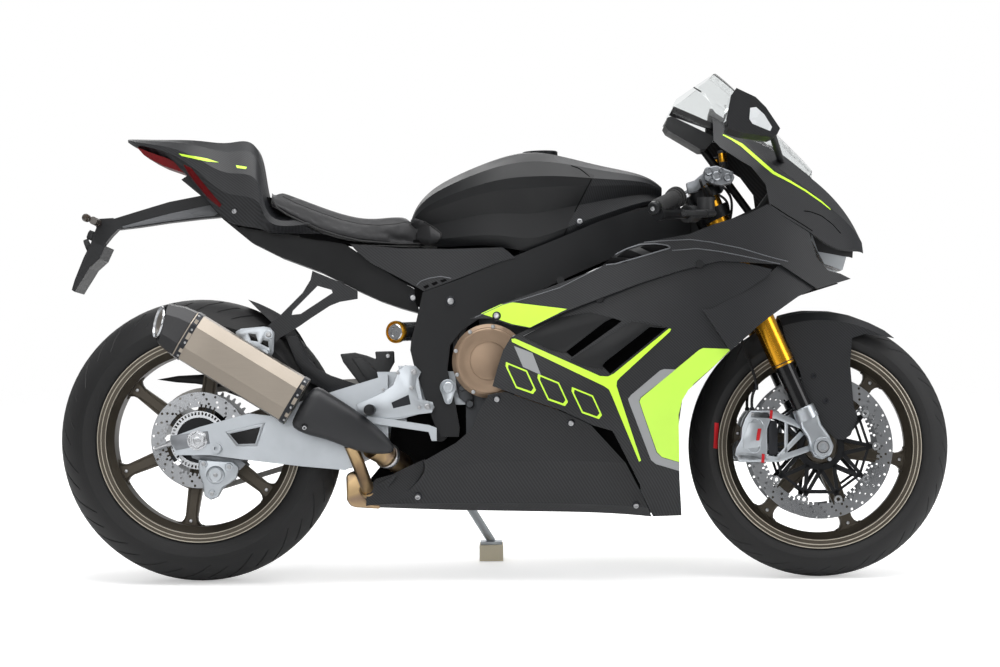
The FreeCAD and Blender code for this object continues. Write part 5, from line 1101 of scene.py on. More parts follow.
def buildForkLowers():
    up = stance["steerDirection"]
    base = steerPoint(frontEnd["clampOffset"], -frontEnd["forkSpacing"], 0)
    low, high, radius = frontEnd["legLow"], frontEnd["legHigh"], frontEnd["stanchion"]
    rod = turned("forkLowers", [(low, 0.001), (low, radius), (high, radius), (high, 0.001)], base,
                 up, 40)
    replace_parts(settleBoth("forkLowers", [rod], blackGloss, "steering"), "fork_legs")
    low, high, radius = frontEnd["sleeveLow"], frontEnd["sleeveHigh"], frontEnd["sleeveRadius"]
    sleeve = turned("forkSleeve", [(low, 0.0213), (low, radius), (low + 0.012, radius),
                                   (high - 0.002, radius - 0.0005), (high, radius - 0.002),
                                   (high, 0.0213)], base, up, 40)
    spacing = frontEnd["forkSpacing"]
    foot = photoPlate("forkFoot", frontEnd["foot"], spacing - 0.0165, spacing + 0.0165, 0.004, 3)
    insetFaces(foot, lambda place, normal: abs(normal.y) > 0.95, 0.0035, -0.0025)
    axle = axlePlace("front")
    outer = spacing + 0.0165
    boss = turned("axleBoss", [(-outer + 0.002, 0.0126), (-outer + 0.002, 0.023),
                               (-outer - 0.003, 0.0225), (-outer - 0.0045, 0.021),
                               (-outer - 0.0045, 0.0145), (-outer - 0.001, 0.0126)], axle, steps=40)
    pinch = solidOf("pinchBolt", [(-0.019, 0.0042), (-0.0165, 0.0046), (0.0165, 0.0046),
                                  (0.019, 0.0042)], photoPoint(829, 459, spacing), steps=12)
    settleBoth("forkFeet", [sleeve, foot, boss, pinch], castSilver, "steering", smooth=30)

    # wiper seals at the mouth of the gold tubes
    low = frontEnd["sealLow"]
    seal = turned("forkSeal", [(low - 0.001, 0.0216), (low - 0.001, 0.0245), (low + 0.001, 0.0262),
                               (low + 0.006, 0.0274), (low + 0.007, 0.0272), (low + 0.007, 0.0216)],
                  base, up, 40)
    settleBoth("forkSeals", [seal], rubber, "steering")
    rings = [turned("forkRing", [(z, 0.0269), (z, 0.0278), (z + 0.0014, 0.0278),
                                 (z + 0.0014, 0.0269)], base, up, 40)
             for z in (0.222, 0.2255, 0.268)]
    settleBoth("forkRings", rings, goldAnodised, "steering")


def buildCalipers():
    disc = wheels["discPlace"]
    outline = frontEnd["caliperOutline"]
    outer = photoPlate("caliperOuter", outline, disc + 0.0045, disc + 0.0215, 0.003, 3)
    inner = photoPlate("caliperInner", outline, disc - 0.0225, disc - 0.0045, 0.003, 3)
    bridge = photoPlate("caliperBridge", frontEnd["bridgeOutline"], disc - 0.014, disc + 0.016,
                        0.002)
    raised = photoPlate("caliperRaised", [(749, 422), (765, 425), (763, 436), (760, 447),
                                          (743, 449), (744, 436)], disc + 0.02, disc + 0.0232,
                        0.0012)
    parts = [outer, inner, bridge, raised]
    # piston caps, and the arms and struts that hold the caliper on the fork
    for u, v in ((756.5, 425.5), (754.0, 446.5)):
        spot = photoPoint(u, v, disc + 0.0215)
        parts.append(solidOf("pistonCap", [(0.002, 0.0158), (-0.001, 0.0155), (-0.0018, 0.0138),
                                           (-0.0006, 0.0128)], spot, steps=28))
    for name, spread in (("upperArm", 0.006), ("lowerArm", 0.006), ("upright", 0.003),
                         ("diagonal", 0.003), ("footWeb", 0.004)):
        parts.append(photoPlate(name, frontEnd[name], disc + 0.0135 - spread / 2,
                                disc + 0.0185 + spread / 2, 0.0014))
    caliper = settleBoth("frontCaliperBodies", parts, castSilver, "steering", smooth=30)
    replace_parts(caliper, "front_calipers")

    screws = []
    for u, v, size in ((752.5, 414.2, 3.6), (738.8, 456.6, 3.6), (784.0, 417.0, 2.6),
                       (779.0, 459.2, 2.6)):
        screws.append(socketBolt("caliperBolt", photoPoint(u, v, disc + 0.0225), (0, -1, 0),
                                 size / 1000))
    settleBoth("caliperBolts", screws, boltSteel, "steering")
    marks = []
    for pixels in ([(770.2, 409.9), (773.0, 410.4), (772.2, 419.0), (769.4, 418.4)],
                   [(762.0, 453.6), (764.9, 454.2), (764.2, 463.0), (761.2, 462.6)],
                   [(757.8, 428.5), (761.5, 428.5), (759.5, 440.5), (756.0, 440.5)]):
        marks.append(photoPlate("redMark", pixels, disc + 0.012, disc + 0.024, 0.0006, 1))
    settleBoth("caliperMarks", marks, redAccent, "steering")
    pads = photoPlate("brakePads", [(768.5, 420), (777, 421), (778, 455), (768.5, 456)],
                      disc + 0.0075, disc + 0.013, 0.001)
    settleBoth("brakePads", [pads], darkBolt, "steering")


# A bolt head with a socket, modelled at the origin and turned to its direction
def socketBolt(name, place, direction, radius):
    toObjectMode()
    bpy.ops.mesh.primitive_cylinder_add(vertices=18, radius=radius, depth=radius * 1.1)
    bolt = bpy.context.object
    bolt.name = name
    editMode(bolt)
    selectFaces(bolt, lambda centre, normal: normal.z > 0.9)
    bpy.ops.mesh.bevel(offset=radius * 0.18, segments=2, affect="EDGES")
    selectFaces(bolt, lambda centre, normal: normal.z > 0.99)
    bpy.ops.mesh.inset(thickness=radius * 0.28, depth=0)
    bpy.ops.mesh.inset(thickness=radius * 0.05, depth=-radius * 0.5)
    toObjectMode()
    turn = Vector(direction).to_track_quat("Z", "Y").to_matrix().to_4x4()
    bolt.data.transform(Matrix.Translation(place) @ turn)
    return bolt


def buildHoses():
    disc = wheels["discPlace"]
    hoses = []
    for way in (1, -1):
        banjo = photoPoint(752, 409, disc + 0.008)
        route = [banjo, photoPoint(751, 397, disc + 0.006), photoPoint(757, 385, disc + 0.012),
                 photoPoint(752, 368, 0.072), photoPoint(742, 345, 0.066),
                 steerPoint(-0.006, -0.06, 0.4), steerPoint(-0.004, -0.045, 0.47)]
        route = [Vector((p.x, p.y * way, p.z)) for p in route]
        hoses.append(pipeOf("hose", route, 0.0034))
    settle(join("brakeHoses", hoses), rubber, "steering", smooth=60)
    fittings = []
    for way in (1, -1):
        spot = photoPoint(752, 409, disc + 0.008)
        spot.y *= way
        fittings.append(rodOf("banjo", -0.006, 0.006, 0.0055, spot, steps=14))
        mid = photoPoint(756, 387, disc + 0.012)
        mid.y *= way
        fittings.append(turned("hoseClip", [(-0.006, 0.0036), (-0.006, 0.0054), (0.006, 0.0054),
                                            (0.006, 0.0036)], mid, (0, 0.2, 1), 14))
    settle(join("hoseFittings", fittings), darkBolt, "steering")


def buildFenderTrim():
    bolts = []
    for u, v in ((814, 376), (826, 401)):
        bolts.append(socketBolt("fenderBolt", photoPoint(u, v, 0.0785), (0, -1, 0), 0.0062))
    settleBoth("fenderBolts", bolts, darkBolt, "steering")


# Painted mark on the right side of the front tyre
def buildTyreMark():
    mark = skinPatch("tyreMark", "front_tyre", frontEnd["tyreMark"])
    swell(mark, graphics["filmThickness"])
    settle(mark, redAccent, "front_wheel", smooth=60)


buildForkLowers()
buildCalipers()
buildHoses()
buildFenderTrim()
buildTyreMark()
print("front end: fork lowers, calipers, hoses, tyre mark")


# Mudguard side and the dark blocks ahead of the rear tyre, as outlines of the photograph
hugger = {
    "side": [(286, 337.5), (297, 335.5), (305, 355), (316, 368), (331, 375.5), (362, 386),
             (345, 391), (329, 391), (309, 382), (296, 362)],
    "block": [(340, 354), (355, 352.5), (367, 355.5), (376, 359), (375, 351.5), (394, 351),
              (394.5, 362), (389, 372), (392, 378), (384, 386), (372, 393), (362, 387), (352, 374),
              (343, 362)],
    "rib": [(352, 358), (362, 358), (377, 371), (379, 381), (373, 384), (363, 375)],
}


def buildHuggerTrim():
    side = photoPlate("huggerSide", hugger["side"], 0.1035, 0.1065, 0.001)
    settle(side, carbonDark, "root")
    blocks = [photoPlate("huggerBlock", hugger["block"], 0.07, 0.092, 0.003, 3),
              photoPlate("huggerRib", hugger["rib"], 0.09, 0.098, 0.002)]
    settle(join("huggerBlocks", blocks), blackPlastic, "root")
    spots = [(371.0, 388.0), (386.5, 380.0), (388.0, 356.0)]
    bolts = [socketBolt("huggerBolt", photoPoint(u, v, 0.096), (0, -1, 0), 0.0048)
             for u, v in spots]
    settle(join("huggerBolts", bolts), boltSteel, "root")
    print("mudguard side and blocks")


buildHuggerTrim()


# Where the sight line through a pixel meets a CAD node: the place and the outward direction there
def onSkin(node, u, v):
    way = cameraMatrix.to_3x3() @ pixelRay(u, v).normalized()
    found, place, normal, face = nodes[node].ray_cast(Vector(camera["place"]), way)
    if not found:
        raise ValueError("nothing of %s at %s, %s" % (node, u, v))
    return unlean @ place, unlean.to_3x3() @ normal


# A panel laid on a body part: its outer skin inside an outline, given a thickness and soft edges
def raisedPanel(name, node, pixels, thickness, soften):
    skin = skinPatch(name, node, pixels)
    editMode(skin)
    bpy.ops.mesh.remove_doubles(threshold=0.00005)
    bpy.ops.mesh.dissolve_limited(angle_limit=math.radians(1.5))
    toObjectMode()
    applyModifier(skin, "SOLIDIFY", thickness=thickness + 0.0004, offset=1.0)
    softenEdges(skin, soften, 2, 40)
    return bothSides(skin, name)


# A slice of a long part between two planes, a little larger than the part itself
def sliceOf(name, node, place, direction, width, lift):
    piece = meshOfNode(name, node)
    editMode(piece)
    direction = Vector(direction).normalized()
    bpy.ops.mesh.bisect(plane_co=place, plane_no=direction, clear_inner=True)
    bpy.ops.mesh.select_all(action="SELECT")
    bpy.ops.mesh.bisect(plane_co=Vector(place) + direction * width, plane_no=direction,
                        clear_outer=True)
    bpy.ops.mesh.select_all(action="SELECT")
    toObjectMode()
    applyModifier(piece, "SOLIDIFY", thickness=lift, offset=1.0)
    return piece


# Muffler bands and outlet; a band is its line in the picture, how far it starts back in widths,
# and how far its rivets are shifted in pixels
muffler = {
    "axis": (0.853, 0, -0.523), "bandWidth": 0.0135, "bandLift": 0.0016,
    "bands": ((((197.6, 313.0), (174.5, 355.5)), 0.0, (2.6, 1.6)),
              (((305.5, 380.0), (283.0, 421.5)), 0.5, (0.2, 0.2))),
    "outletPlace": (159.6, 322.4), "outletDirection": (-0.915, -0.34, 0.22), "outletOut": 0.208,
}


def buildMuffler():
    axis = Vector(muffler["axis"]).normalized()
    parts, pads, studs = [], [], []
    for line, back, shift in muffler["bands"]:
        start = photoPoint(*line[0], 0.249) - axis * (muffler["bandWidth"] * back)
        parts.append(sliceOf("mufflerBand", "muffler", start + axis * 0.0005, axis,
                             muffler["bandWidth"], muffler["bandLift"]))
        (u0, v0), (u1, v1) = line
        for share in (0.05, 0.36, 0.66, 0.95):
            u, v = u0 + (u1 - u0) * share + shift[0], v0 + (v1 - v0) * share + shift[1]
            spot, way = onSkin("muffler", u, v)
            studs.append(turned("rivet", [(0, core), (0.0028, core), (0.0034, 0.0012),
                                          (0.0028, 0.0026), (0, 0.0034)], spot, way, 12))
        for share in (0.2, 0.51, 0.81):
            u, v = u0 + (u1 - u0) * share + shift[0], v0 + (v1 - v0) * share + shift[1]
            along = Vector((u1 - u0, v1 - v0)).normalized() * 3.6
            across = Vector((-along.y, along.x)).normalized() * 1.9
            pixels = [(u + along.x * a + across.x * b, v + along.y * a + across.y * b)
                      for a, b in ((-1, -1), (1, -1), (1, 1), (-1, 1))]
            out = -onSkin("muffler", u, v)[0].y
            pads.append(photoPlate("bandWindow", pixels, out, out + 0.0026, 0.0003, 1))
    settle(join("mufflerBands", parts), darkBolt, "root")
    settle(join("mufflerBandWindows", pads), titanium, "root")
    settle(join("mufflerRivets", studs), boltSteel, "root")
    spot = photoPoint(*muffler["outletPlace"], muffler["outletOut"])
    outlet = turned("mufflerOutlet", [(-0.004, 0.03), (-0.004, 0.0362), (0.003, 0.0368),
                                      (0.0045, 0.036), (0.0045, 0.0345), (0.0, 0.0335),
                                      (-0.002, 0.03)], spot, muffler["outletDirection"], 40)
    settle(outlet, machined, "root")
    baffle = turned("mufflerBaffle", [(-0.01, core), (0.0012, core), (0.0012, 0.017),
                                      (-0.001, 0.019), (-0.001, 0.0336), (-0.01, 0.0336)], spot,
                    muffler["outletDirection"], 32)
    settle(baffle, titanium, "root")
    print("muffler: bands, rivets, outlet")


def buildTail():
    spot, way = onSkin("tail_cowl", 234.5, 211.0)
    radius = 0.0058
    settleBoth("tailBolts", [socketBolt("tailBolt", spot + way * radius * 0.25, way, radius)],
               boltSteel)
    # the lower face of the plate hanger arm and its inset, in grey: painted highlight from the
    # light off the floor
    arm = [(122, 226.5), (140, 221.5), (170, 213.5), (203, 206.5), (211, 205), (219, 212.5),
           (214, 216), (196, 217.6), (170, 221.0), (140, 225.5), (123, 228.3)]
    lower = photoPlate("hangerLitUnderside", arm, 0.0215, 0.0245, 0.0012)
    inset = photoPlate("hangerInset", [(190, 212.5), (208.5, 208.4), (215.5, 212.8), (197, 216.4)],
                       0.024, 0.0258, 0.0008)
    settleBoth("hangerLitUndersides", [lower, inset], paintedUndersideHighlight, "root")

    back = Vector((-0.93, 0, -0.36)).normalized()
    reflector = solidOf("reflectorRim", [(-0.006, 0.0175), (0.004, 0.0175), (0.005, 0.016),
                                         (0.004, 0.015), (0.002, 0.015)],
                        photoPoint(88.0, 246.5, 0.0), back, 36)
    settle(reflector, blackPlastic, "root")
    glass = turned("reflectorGlass", [(0.001, core), (0.001, 0.0148), (0.0035, 0.0148),
                                      (0.0046, 0.01), (0.005, core)], photoPoint(88.0, 246.5, 0.0),
                   back, 36)
    settle(glass, redLens, "root")
    lamp = solidOf("plateLamp", [(0, 0.01), (0.006, 0.012), (0.018, 0.012), (0.022, 0.009)],
                  photoPoint(94.0, 231.5, 0.0), (-0.35, 0, -0.93), 24)
    settle(lamp, blackPlastic, "root")
    ends = []
    for way in (1, -1):
        spot = photoPoint(93.0, 221.0, 0.0)
        spot.y = way * (0.096 + 0.022)
        ends.append(turned("indicatorLens", [(-0.01 * way, core), (-0.01 * way, 0.0092),
                                             (0.01 * way, 0.0096), (0.016 * way, 0.0086),
                                             (0.0205 * way, 0.0055), (0.022 * way, core)], spot,
                           steps=28))
    settle(join("rearIndicatorLenses", ends), amberLens, "root")


def buildSwingarmTrim():
    face = -onSkin("swingarm", 205.0, 433.0)[0].y
    slot = photoPlate("axleBlock", [(170.4, 435.6), (207.8, 431.0), (209.8, 443.6), (176.0, 450.4),
                                    (171.0, 444.0)], face - 0.001, face + 0.0024, 0.001)
    block = photoPlate("axleSlider", [(187.0, 434.6), (205.8, 432.6), (207.6, 442.6),
                                      (188.6, 446.4)], face + 0.002, face + 0.0052, 0.0012)
    settleBoth("axleBlocks", [slot], greyMetal, "root")
    axle = axlePlace("rear")
    nut = turned("axleNut", [(0, 0.0142), (0, 0.0195), (0.006, 0.0195), (0.0075, 0.018),
                             (0.0075, 0.0142)], axle + Vector((0, -face - 0.004, 0)), (0, -1, 0), 6)
    washer = turned("axleWasher", [(0, 0.0142), (0, 0.0225), (0.002, 0.0225), (0.002, 0.0142)],
                    axle + Vector((0, -face - 0.002, 0)), (0, -1, 0), 36)
    settleBoth("axleNuts", [block, nut, washer], machined, "root", smooth=30)
    tail = photoPoint(154.5, 449.0, face - 0.008)
    head = photoPoint(176.0, 441.5, face - 0.008)
    adjuster = solidOf("adjuster", [(0, 0.004), (0.03, 0.004), (0.03, 0.0068), (0.034, 0.0075),
                                    (0.044, 0.0075)], tail, (head - tail).normalized(), 16)
    settleBoth("chainAdjusters", [adjuster], boltSteel, "root")
    out = -onSkin("swingarm", 245.0, 436.0)[0].y
    badge = [(225.0, 431.8), (264.8, 422.6), (257.3, 446.0), (236.4, 446.6)]
    rim = photoPlate("swingarmRecessRim", badge, out - 0.001, out + 0.003, 0.001)
    insetFaces(rim, lambda place, normal: normal.y < -0.95, 0.0035, -0.0022)
    settleBoth("swingarmRecessRims", [rim], castSilver, "root")
    pocket = photoPlate("swingarmRecess", [(229.5, 433.8), (260.5, 426.8), (255.2, 443.6),
                                           (238.2, 444.2)], out - 0.001, out + 0.0014, 0.0004,
                        1)
    settleBoth("swingarmRecesses", [pocket], blackGloss, "root")
    blade = photoPlate("chainGuardBlade", [(157, 379.6), (178, 375.8), (203, 374.4), (216, 377),
                                           (262, 397), (300, 414), (300, 419), (250, 401),
                                           (212, 386.5), (196, 383.8), (176, 382.4)], -0.1255,
                       -0.1215, 0.0008)
    settle(blade, satinPaint, "root")


def buildRearBrake():
    outline = [(198, 459), (214, 460.5), (232, 461.5), (239, 467), (236.5, 478), (228, 484.5),
               (222.5, 487), (218, 497), (211, 500), (204.5, 496), (203, 484), (199, 474)]
    outer = photoPlate("rearCaliperOuter", outline, 0.0845, 0.106, 0.003, 3)
    inner = photoPlate("rearCaliperInner", outline, 0.058, 0.0755, 0.003)
    bridge = photoPlate("rearCaliperBridge", [(203, 486), (226, 485.5), (222.5, 489), (218, 497),
                                              (211, 500), (204.5, 496)], 0.068, 0.098, 0.002)
    parts = [outer, inner, bridge]
    spot = photoPoint(215.5, 475.0, 0.106)
    parts.append(solidOf("rearPiston", [(0, 0.021), (0.004, 0.0195), (0.006, 0.016),
                                        (0.0045, 0.0135)], spot, (0, -1, 0), 36))
    bosses = ((229.0, 467.0), (203.5, 464.0), (212.0, 494.0))
    for u, v in bosses:
        parts.append(solidOf("rearCaliperBoss", [(0, 0.0095), (0.004, 0.009), (0.005, 0.0075)],
                            photoPoint(u, v, 0.106), (0, -1, 0), 20))
    caliper = join("rearCaliperBody", parts)
    settle(caliper, castSilver, "root", smooth=30)
    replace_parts(caliper, "rear_caliper")
    bolts = [socketBolt("rearCaliperBolt", photoPoint(u, v, 0.112), (0, -1, 0), 0.0048)
             for u, v in bosses + ((215.5, 475.0),)]
    settle(join("rearCaliperBolts", bolts), boltSteel, "root")
    # the plate that carries the caliper from the axle
    holder = photoPlate("caliperHolder", [(188, 447), (201, 447), (214, 455), (240, 459),
                                          (246, 464), (240, 470), (226, 468), (208, 463),
                                          (192, 458)], 0.086, 0.0925, 0.0015)
    settle(holder, greyMetal, "root")
    centre = axlePlace("rear")
    ring = turned("rearSensorRing", [(-0.0885, 0.052), (-0.0865, 0.052), (-0.0865, 0.0665),
                                     (-0.0885, 0.0665)], centre, steps=96)
    windows = 48
    cutOut(ring, [boxRound(centre, math.tau * i / windows, 0.061, -0.0875, (0.0065, 0.01, 0.0042))
                  for i in range(windows)])
    settle(ring, machined, "rear_wheel", smooth=30)


# Rearset plate with its window in pixels, its bolts (pixel and radius) and the rings of its peg
rearset = {
    "plate": [(356.3, 404.3), (382.9, 392.5), (393.0, 384.9), (396.1, 375.7), (397.1, 370.6),
              (405.3, 365.0), (415.5, 366.0), (420.8, 371.6), (416.5, 377.8), (415.0, 385.9),
              (418.6, 400.2), (427.8, 400.6), (434.4, 406.3), (431.8, 412.8), (419.6, 414.2),
              (395.1, 417.8), (370.6, 420.0), (358.3, 417.5)],
    "window": [(391, 402.6), (408.4, 394.6), (410.4, 404.3), (393, 408.4)],
    "windowFloor": [(390, 402), (409.4, 393.6), (411.4, 405), (392, 409.4)],
    "bolts": ((414.0, 371.8, 0.0072), (397.8, 372.8, 0.004), (411.5, 388.0, 0.005),
              (427.5, 406.5, 0.0072), (419.5, 407.5, 0.0046), (383.0, 389.5, 0.0034),
              (366.0, 413.5, 0.005)),
    "pegRings": 9, "ringPitch": 0.0088,
}


def buildRearset():
    plate = photoPlate("rearsetPlate", rearset["plate"], 0.164, 0.169, 0.0014)
    tool = photoPlate("rearsetWindow", rearset["window"], 0.15, 0.19)
    carve(plate, tool)
    floor = photoPlate("rearsetWindowFloor", rearset["windowFloor"], 0.16, 0.1652)
    settleBoth("rearsetPlates", [plate], castSilver, "root", smooth=30)
    settleBoth("rearsetWindowFloors", [floor], darkBolt, "root")
    bolts = [socketBolt("rearsetBolt", photoPoint(u, v, 0.17), (0, -1, 0), size)
             for u, v, size in rearset["bolts"]]
    settleBoth("rearsetBolts", bolts, boltSteel, "root")
    spot = photoPoint(370.6, 410.0, 0.176)
    grip = []
    for i in range(rearset["pegRings"]):
        start = 0.005 + i * rearset["ringPitch"]
        grip.append(turned("pegRing", [(start, 0.0108), (start, 0.0124), (start + 0.005, 0.0124),
                                       (start + 0.005, 0.0108)], spot, (0, -1, 0), 24))
    grip.append(solidOf("pegEnd", [(0.0785, 0.0128), (0.082, 0.0122), (0.083, 0.01)], spot,
                        (0, -1, 0), 24))
    settleBoth("pegGrips", grip, blackMetal, "root", smooth=30)


buildMuffler()
buildTail()
buildSwingarmTrim()
buildRearBrake()
buildRearset()


# Muffler cap, heat shield and pipes. A section of the cap or shield is (middle and upward way in
# the picture, half height in pixels, half depth, distance out); a pipe is pixels and distance out.
exhaust = {
    "cap": [((185.4, 333.9), (0.523, -0.853), 25.5, 0.044, 0.205),
            ((176.0, 328.6), (0.45, -0.89), 24.2, 0.0435, 0.205),
            ((164.2, 324.0), (0.257, -0.966), 21.2, 0.04, 0.205),
            ((159.3, 322.2), (0.257, -0.966), 16.2, 0.0365, 0.205)],
    "shield": [((300.3, 404.0), (0.523, -0.853), 24.6, 0.0445, 0.205),
               ((311.1, 410.2), (0.523, -0.853), 24.5, 0.044, 0.205),
               ((321.6, 415.8), (0.523, -0.853), 23.4, 0.043, 0.205),
               ((335.9, 421.2), (0.523, -0.853), 20.4, 0.04, 0.204),
               ((353.6, 430.7), (0.523, -0.853), 18.5, 0.037, 0.2),
               ((371.1, 440.5), (0.523, -0.853), 15.0, 0.033, 0.196),
               ((387.5, 448.0), (0.523, -0.853), 7.6, 0.024, 0.194),
               ((393.6, 450.8), (0.523, -0.853), 2.6, 0.01, 0.193)],
    "canister": [(346.0, 476), (349.0, 472.5), (353.0, 471.5), (380, 486), (380, 509), (356, 507.5),
                 (350.5, 506), (346.8, 500)],
    "link": ((350.5, 445, 0.19), (357, 460, 0.176), (363, 476, 0.15), (369, 492, 0.09)),
    "elbow": ((372, 447, 0.176), (386, 455, 0.142), (396, 461, 0.104), (404, 466, 0.05)),
}


def sectionRing(section, corners):
    (u, v), up, half, deep, out = section
    middle = photoPoint(u, v, out)
    rise = photoPoint(u + up[0] * half, v + up[1] * half, out) - middle
    return [middle + Vector((0, a * deep, 0)) + rise * b for a, b in corners]


def roundCorners(count, power):
    corners = []
    for i in range(count):
        angle = math.tau * i / count
        corners.append(tuple(math.copysign(abs(c) ** (2 / power), c)
                             for c in (math.sin(angle), math.cos(angle))))
    return corners


def buildExhaust():
    half = [(0, 1), (0.62, 0.94), (1, 0.46), (1, -0.46), (0.62, -0.94), (0, -1)]
    faceted = half + [(-a, b) for a, b in reversed(half[1:-1])]
    cap = loftOf("mufflerCap", [sectionRing(section, faceted) for section in exhaust["cap"]])
    # its end is cut on a slant, square to the outlet
    spot = photoPoint(*muffler["outletPlace"], muffler["outletOut"])
    carve(cap, rodOf("capEndCut", 0, 0.06, 0.07, spot, muffler["outletDirection"], 32))
    insetFaces(cap, lambda centre, normal: normal.x < -0.9, 0.004, -0.004)
    settle(cap, carbonGloss, "root", smooth=20)
    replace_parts(cap, "muffler_ends")
    shield = loftOf("heatShield", [sectionRing(section, roundCorners(28, 3.0))
                                   for section in exhaust["shield"]])
    applyModifier(shield, "SUBSURF", levels=1, render_levels=1)
    spot = photoPoint(304.3, 427.4, 0.246)
    settle(shield, shieldPaint, "root", smooth=50)
    way = (0.1, -0.86, -0.5)
    settle(socketBolt("shieldBolt", spot, way, 0.0052), boltSteel, "root")
    sleeve = rodOf("shieldSleeve", 0, 0.014, 0.006, spot - Vector(way) * 0.012, way, 16)
    settle(sleeve, darkBolt, "root")

    pipes = []
    for name, radius in (("link", 0.0148), ("elbow", 0.0262)):
        pipes.append(pipeOf(name + "Pipe", [photoPoint(*p) for p in exhaust[name]], radius, 7))
    canister = photoPlate("collector", exhaust["canister"], -0.07, 0.07, 0.011, 4)
    pipes.append(canister)
    for side in (-1, 1):
        pipes.append(pipeOf("header", [(-0.3, side * 0.045, 0.198), (0.1, side * 0.045, 0.194),
                                       (0.235, side * 0.05, 0.215), (0.262, side * 0.06, 0.29),
                                       (0.235, side * 0.07, 0.36)], 0.019, 6))
    spot = photoPoint(*exhaust["link"][3])
    way = (photoPoint(*exhaust["link"][2]) - spot).normalized()
    pipes.append(turned("linkCollar", [(0.006, 0.0145), (0.006, 0.0205), (0.013, 0.0205),
                                       (0.016, 0.019), (0.016, 0.0145)], spot, way, 28))
    body = join("exhaustPipes", pipes)
    settle(body, exhaustMetal, "root", smooth=50)
    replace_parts(body, "exhaust_pipe")
    spot, tip = photoPoint(*exhaust["elbow"][1]), photoPoint(*exhaust["elbow"][2])
    way = (tip - spot).normalized()
    clamp = turned("pipeClamp", [(0, 0.0265), (0, 0.029), (0.003, 0.03), (0.011, 0.03),
                                 (0.014, 0.029), (0.014, 0.0265)], spot, way, 36)
    settle(clamp, machined, "root")
    print("exhaust: cap, shield, pipes")


def buildMufflerBracket():
    plate = photoPlate("mufflerBracket", [(235.5, 331.5), (241, 328.6), (264, 326.4), (270, 327.6),
                                          (274.6, 332.5), (273.6, 352), (270.8, 357),
                                          (266.5, 356.5), (236, 339)], 0.1125, 0.121)
    for pixels in ([(247.2, 333.2), (254.0, 334.2), (256.8, 341.2), (249.6, 340.0)],
                   [(259.4, 343.4), (261.6, 340.0), (266.6, 341.0), (267.6, 347.5)]):
        tool = photoPlate("bracketWindow", pixels, 0.08, 0.16)
        carve(plate, tool)
    softenEdges(plate, 0.0012, 2)
    boss = solidOf("bracketBoss", [(0, 0.0095), (0.008, 0.0085), (0.05, 0.0085)],
                  photoPoint(266.0, 353.5, 0.118), (0, -1, 0), 20)
    washer = solidOf("bracketWasher", [(0, 0.0105), (0.002, 0.0105), (0.003, 0.0095)],
                    photoPoint(268.6, 334.6, 0.1205), (0, -1, 0), 24)
    body = join("mufflerBrackets", [plate, boss, washer])
    settle(body, castSilver, "root", smooth=30)
    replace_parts(body, "muffler_bracket")
    settle(socketBolt("bracketBolt", photoPoint(268.6, 334.6, 0.125), (0, -1, 0), 0.0062),
           boltSteel, "root")


def buildShock():
    face = photoPoint(396.0, 332.0, 0.15)
    way = Vector((-0.52, -0.85, -0.04)).normalized()
    ring = turned("reservoirRing", [(-0.006, 0.0185), (-0.006, 0.025), (0.0, 0.0256),
                                    (0.004, 0.025), (0.004, 0.0222), (0.001, 0.0205),
                                    (0.001, 0.0185)], face, way, 40)
    settle(ring, goldAnodised, "root")
    knob = solidOf("reservoirCap", [(-0.004, 0.019), (0.004, 0.019), (0.0062, 0.017),
                                    (0.0062, 0.011), (0.0035, 0.01), (0.0035, 0.0052),
                                    (0.0056, 0.0046)], face, way, 36)
    body = solidOf("reservoirBody", [(-0.088, 0.0185), (-0.082, 0.0215), (-0.006, 0.0215)], face,
                   way, 36)
    top, low = photoPoint(437, 300, 0.0), photoPoint(433, 372, 0.0)
    along = (low - top).normalized()
    length = (low - top).length
    rod = solidOf("shockBody", [(0, 0.0225), (length * 0.45, 0.0225), (length * 0.45, 0.0095),
                                (length, 0.0095)], top, along, 32)
    shock = join("shockBodies", [knob, body, rod])
    settle(shock, machined, "root", smooth=30)
    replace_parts(shock, "shock")
    coils = []
    side = along.cross(Vector((0, 1, 0))).normalized()
    turns = 7
    for i in range(turns * 10 + 1):
        angle = math.tau * i / 10
        coils.append(top + along * (length * (0.12 + 0.78 * i / (turns * 10)))
                     + (side * math.cos(angle) + Vector((0, 1, 0)) * math.sin(angle)) * 0.031)
    spring = pipeOf("shockSpring", coils, 0.0058, 4)
    settle(spring, blackGloss, "root", smooth=60)
    hose = pipeOf("reservoirHose", [face - way * 0.085,
                                    face - way * 0.105 + Vector((0.01, 0, 0.01)),
                                    top + Vector((0.0, -0.03, 0.012))], 0.0055, 4)
    settle(hose, rubber, "root", smooth=60)


carbonGloss = grained("blackGlazedEndCap", "#1C1C1E", 0.4, 0.24, 0.8, 0.04, 0.1)
shieldPaint = grained("blackHeatCoating", "#1B1C1F", 0.1, 0.5, 0.7, 0.12)
buildExhaust()
buildMufflerBracket()
buildShock()


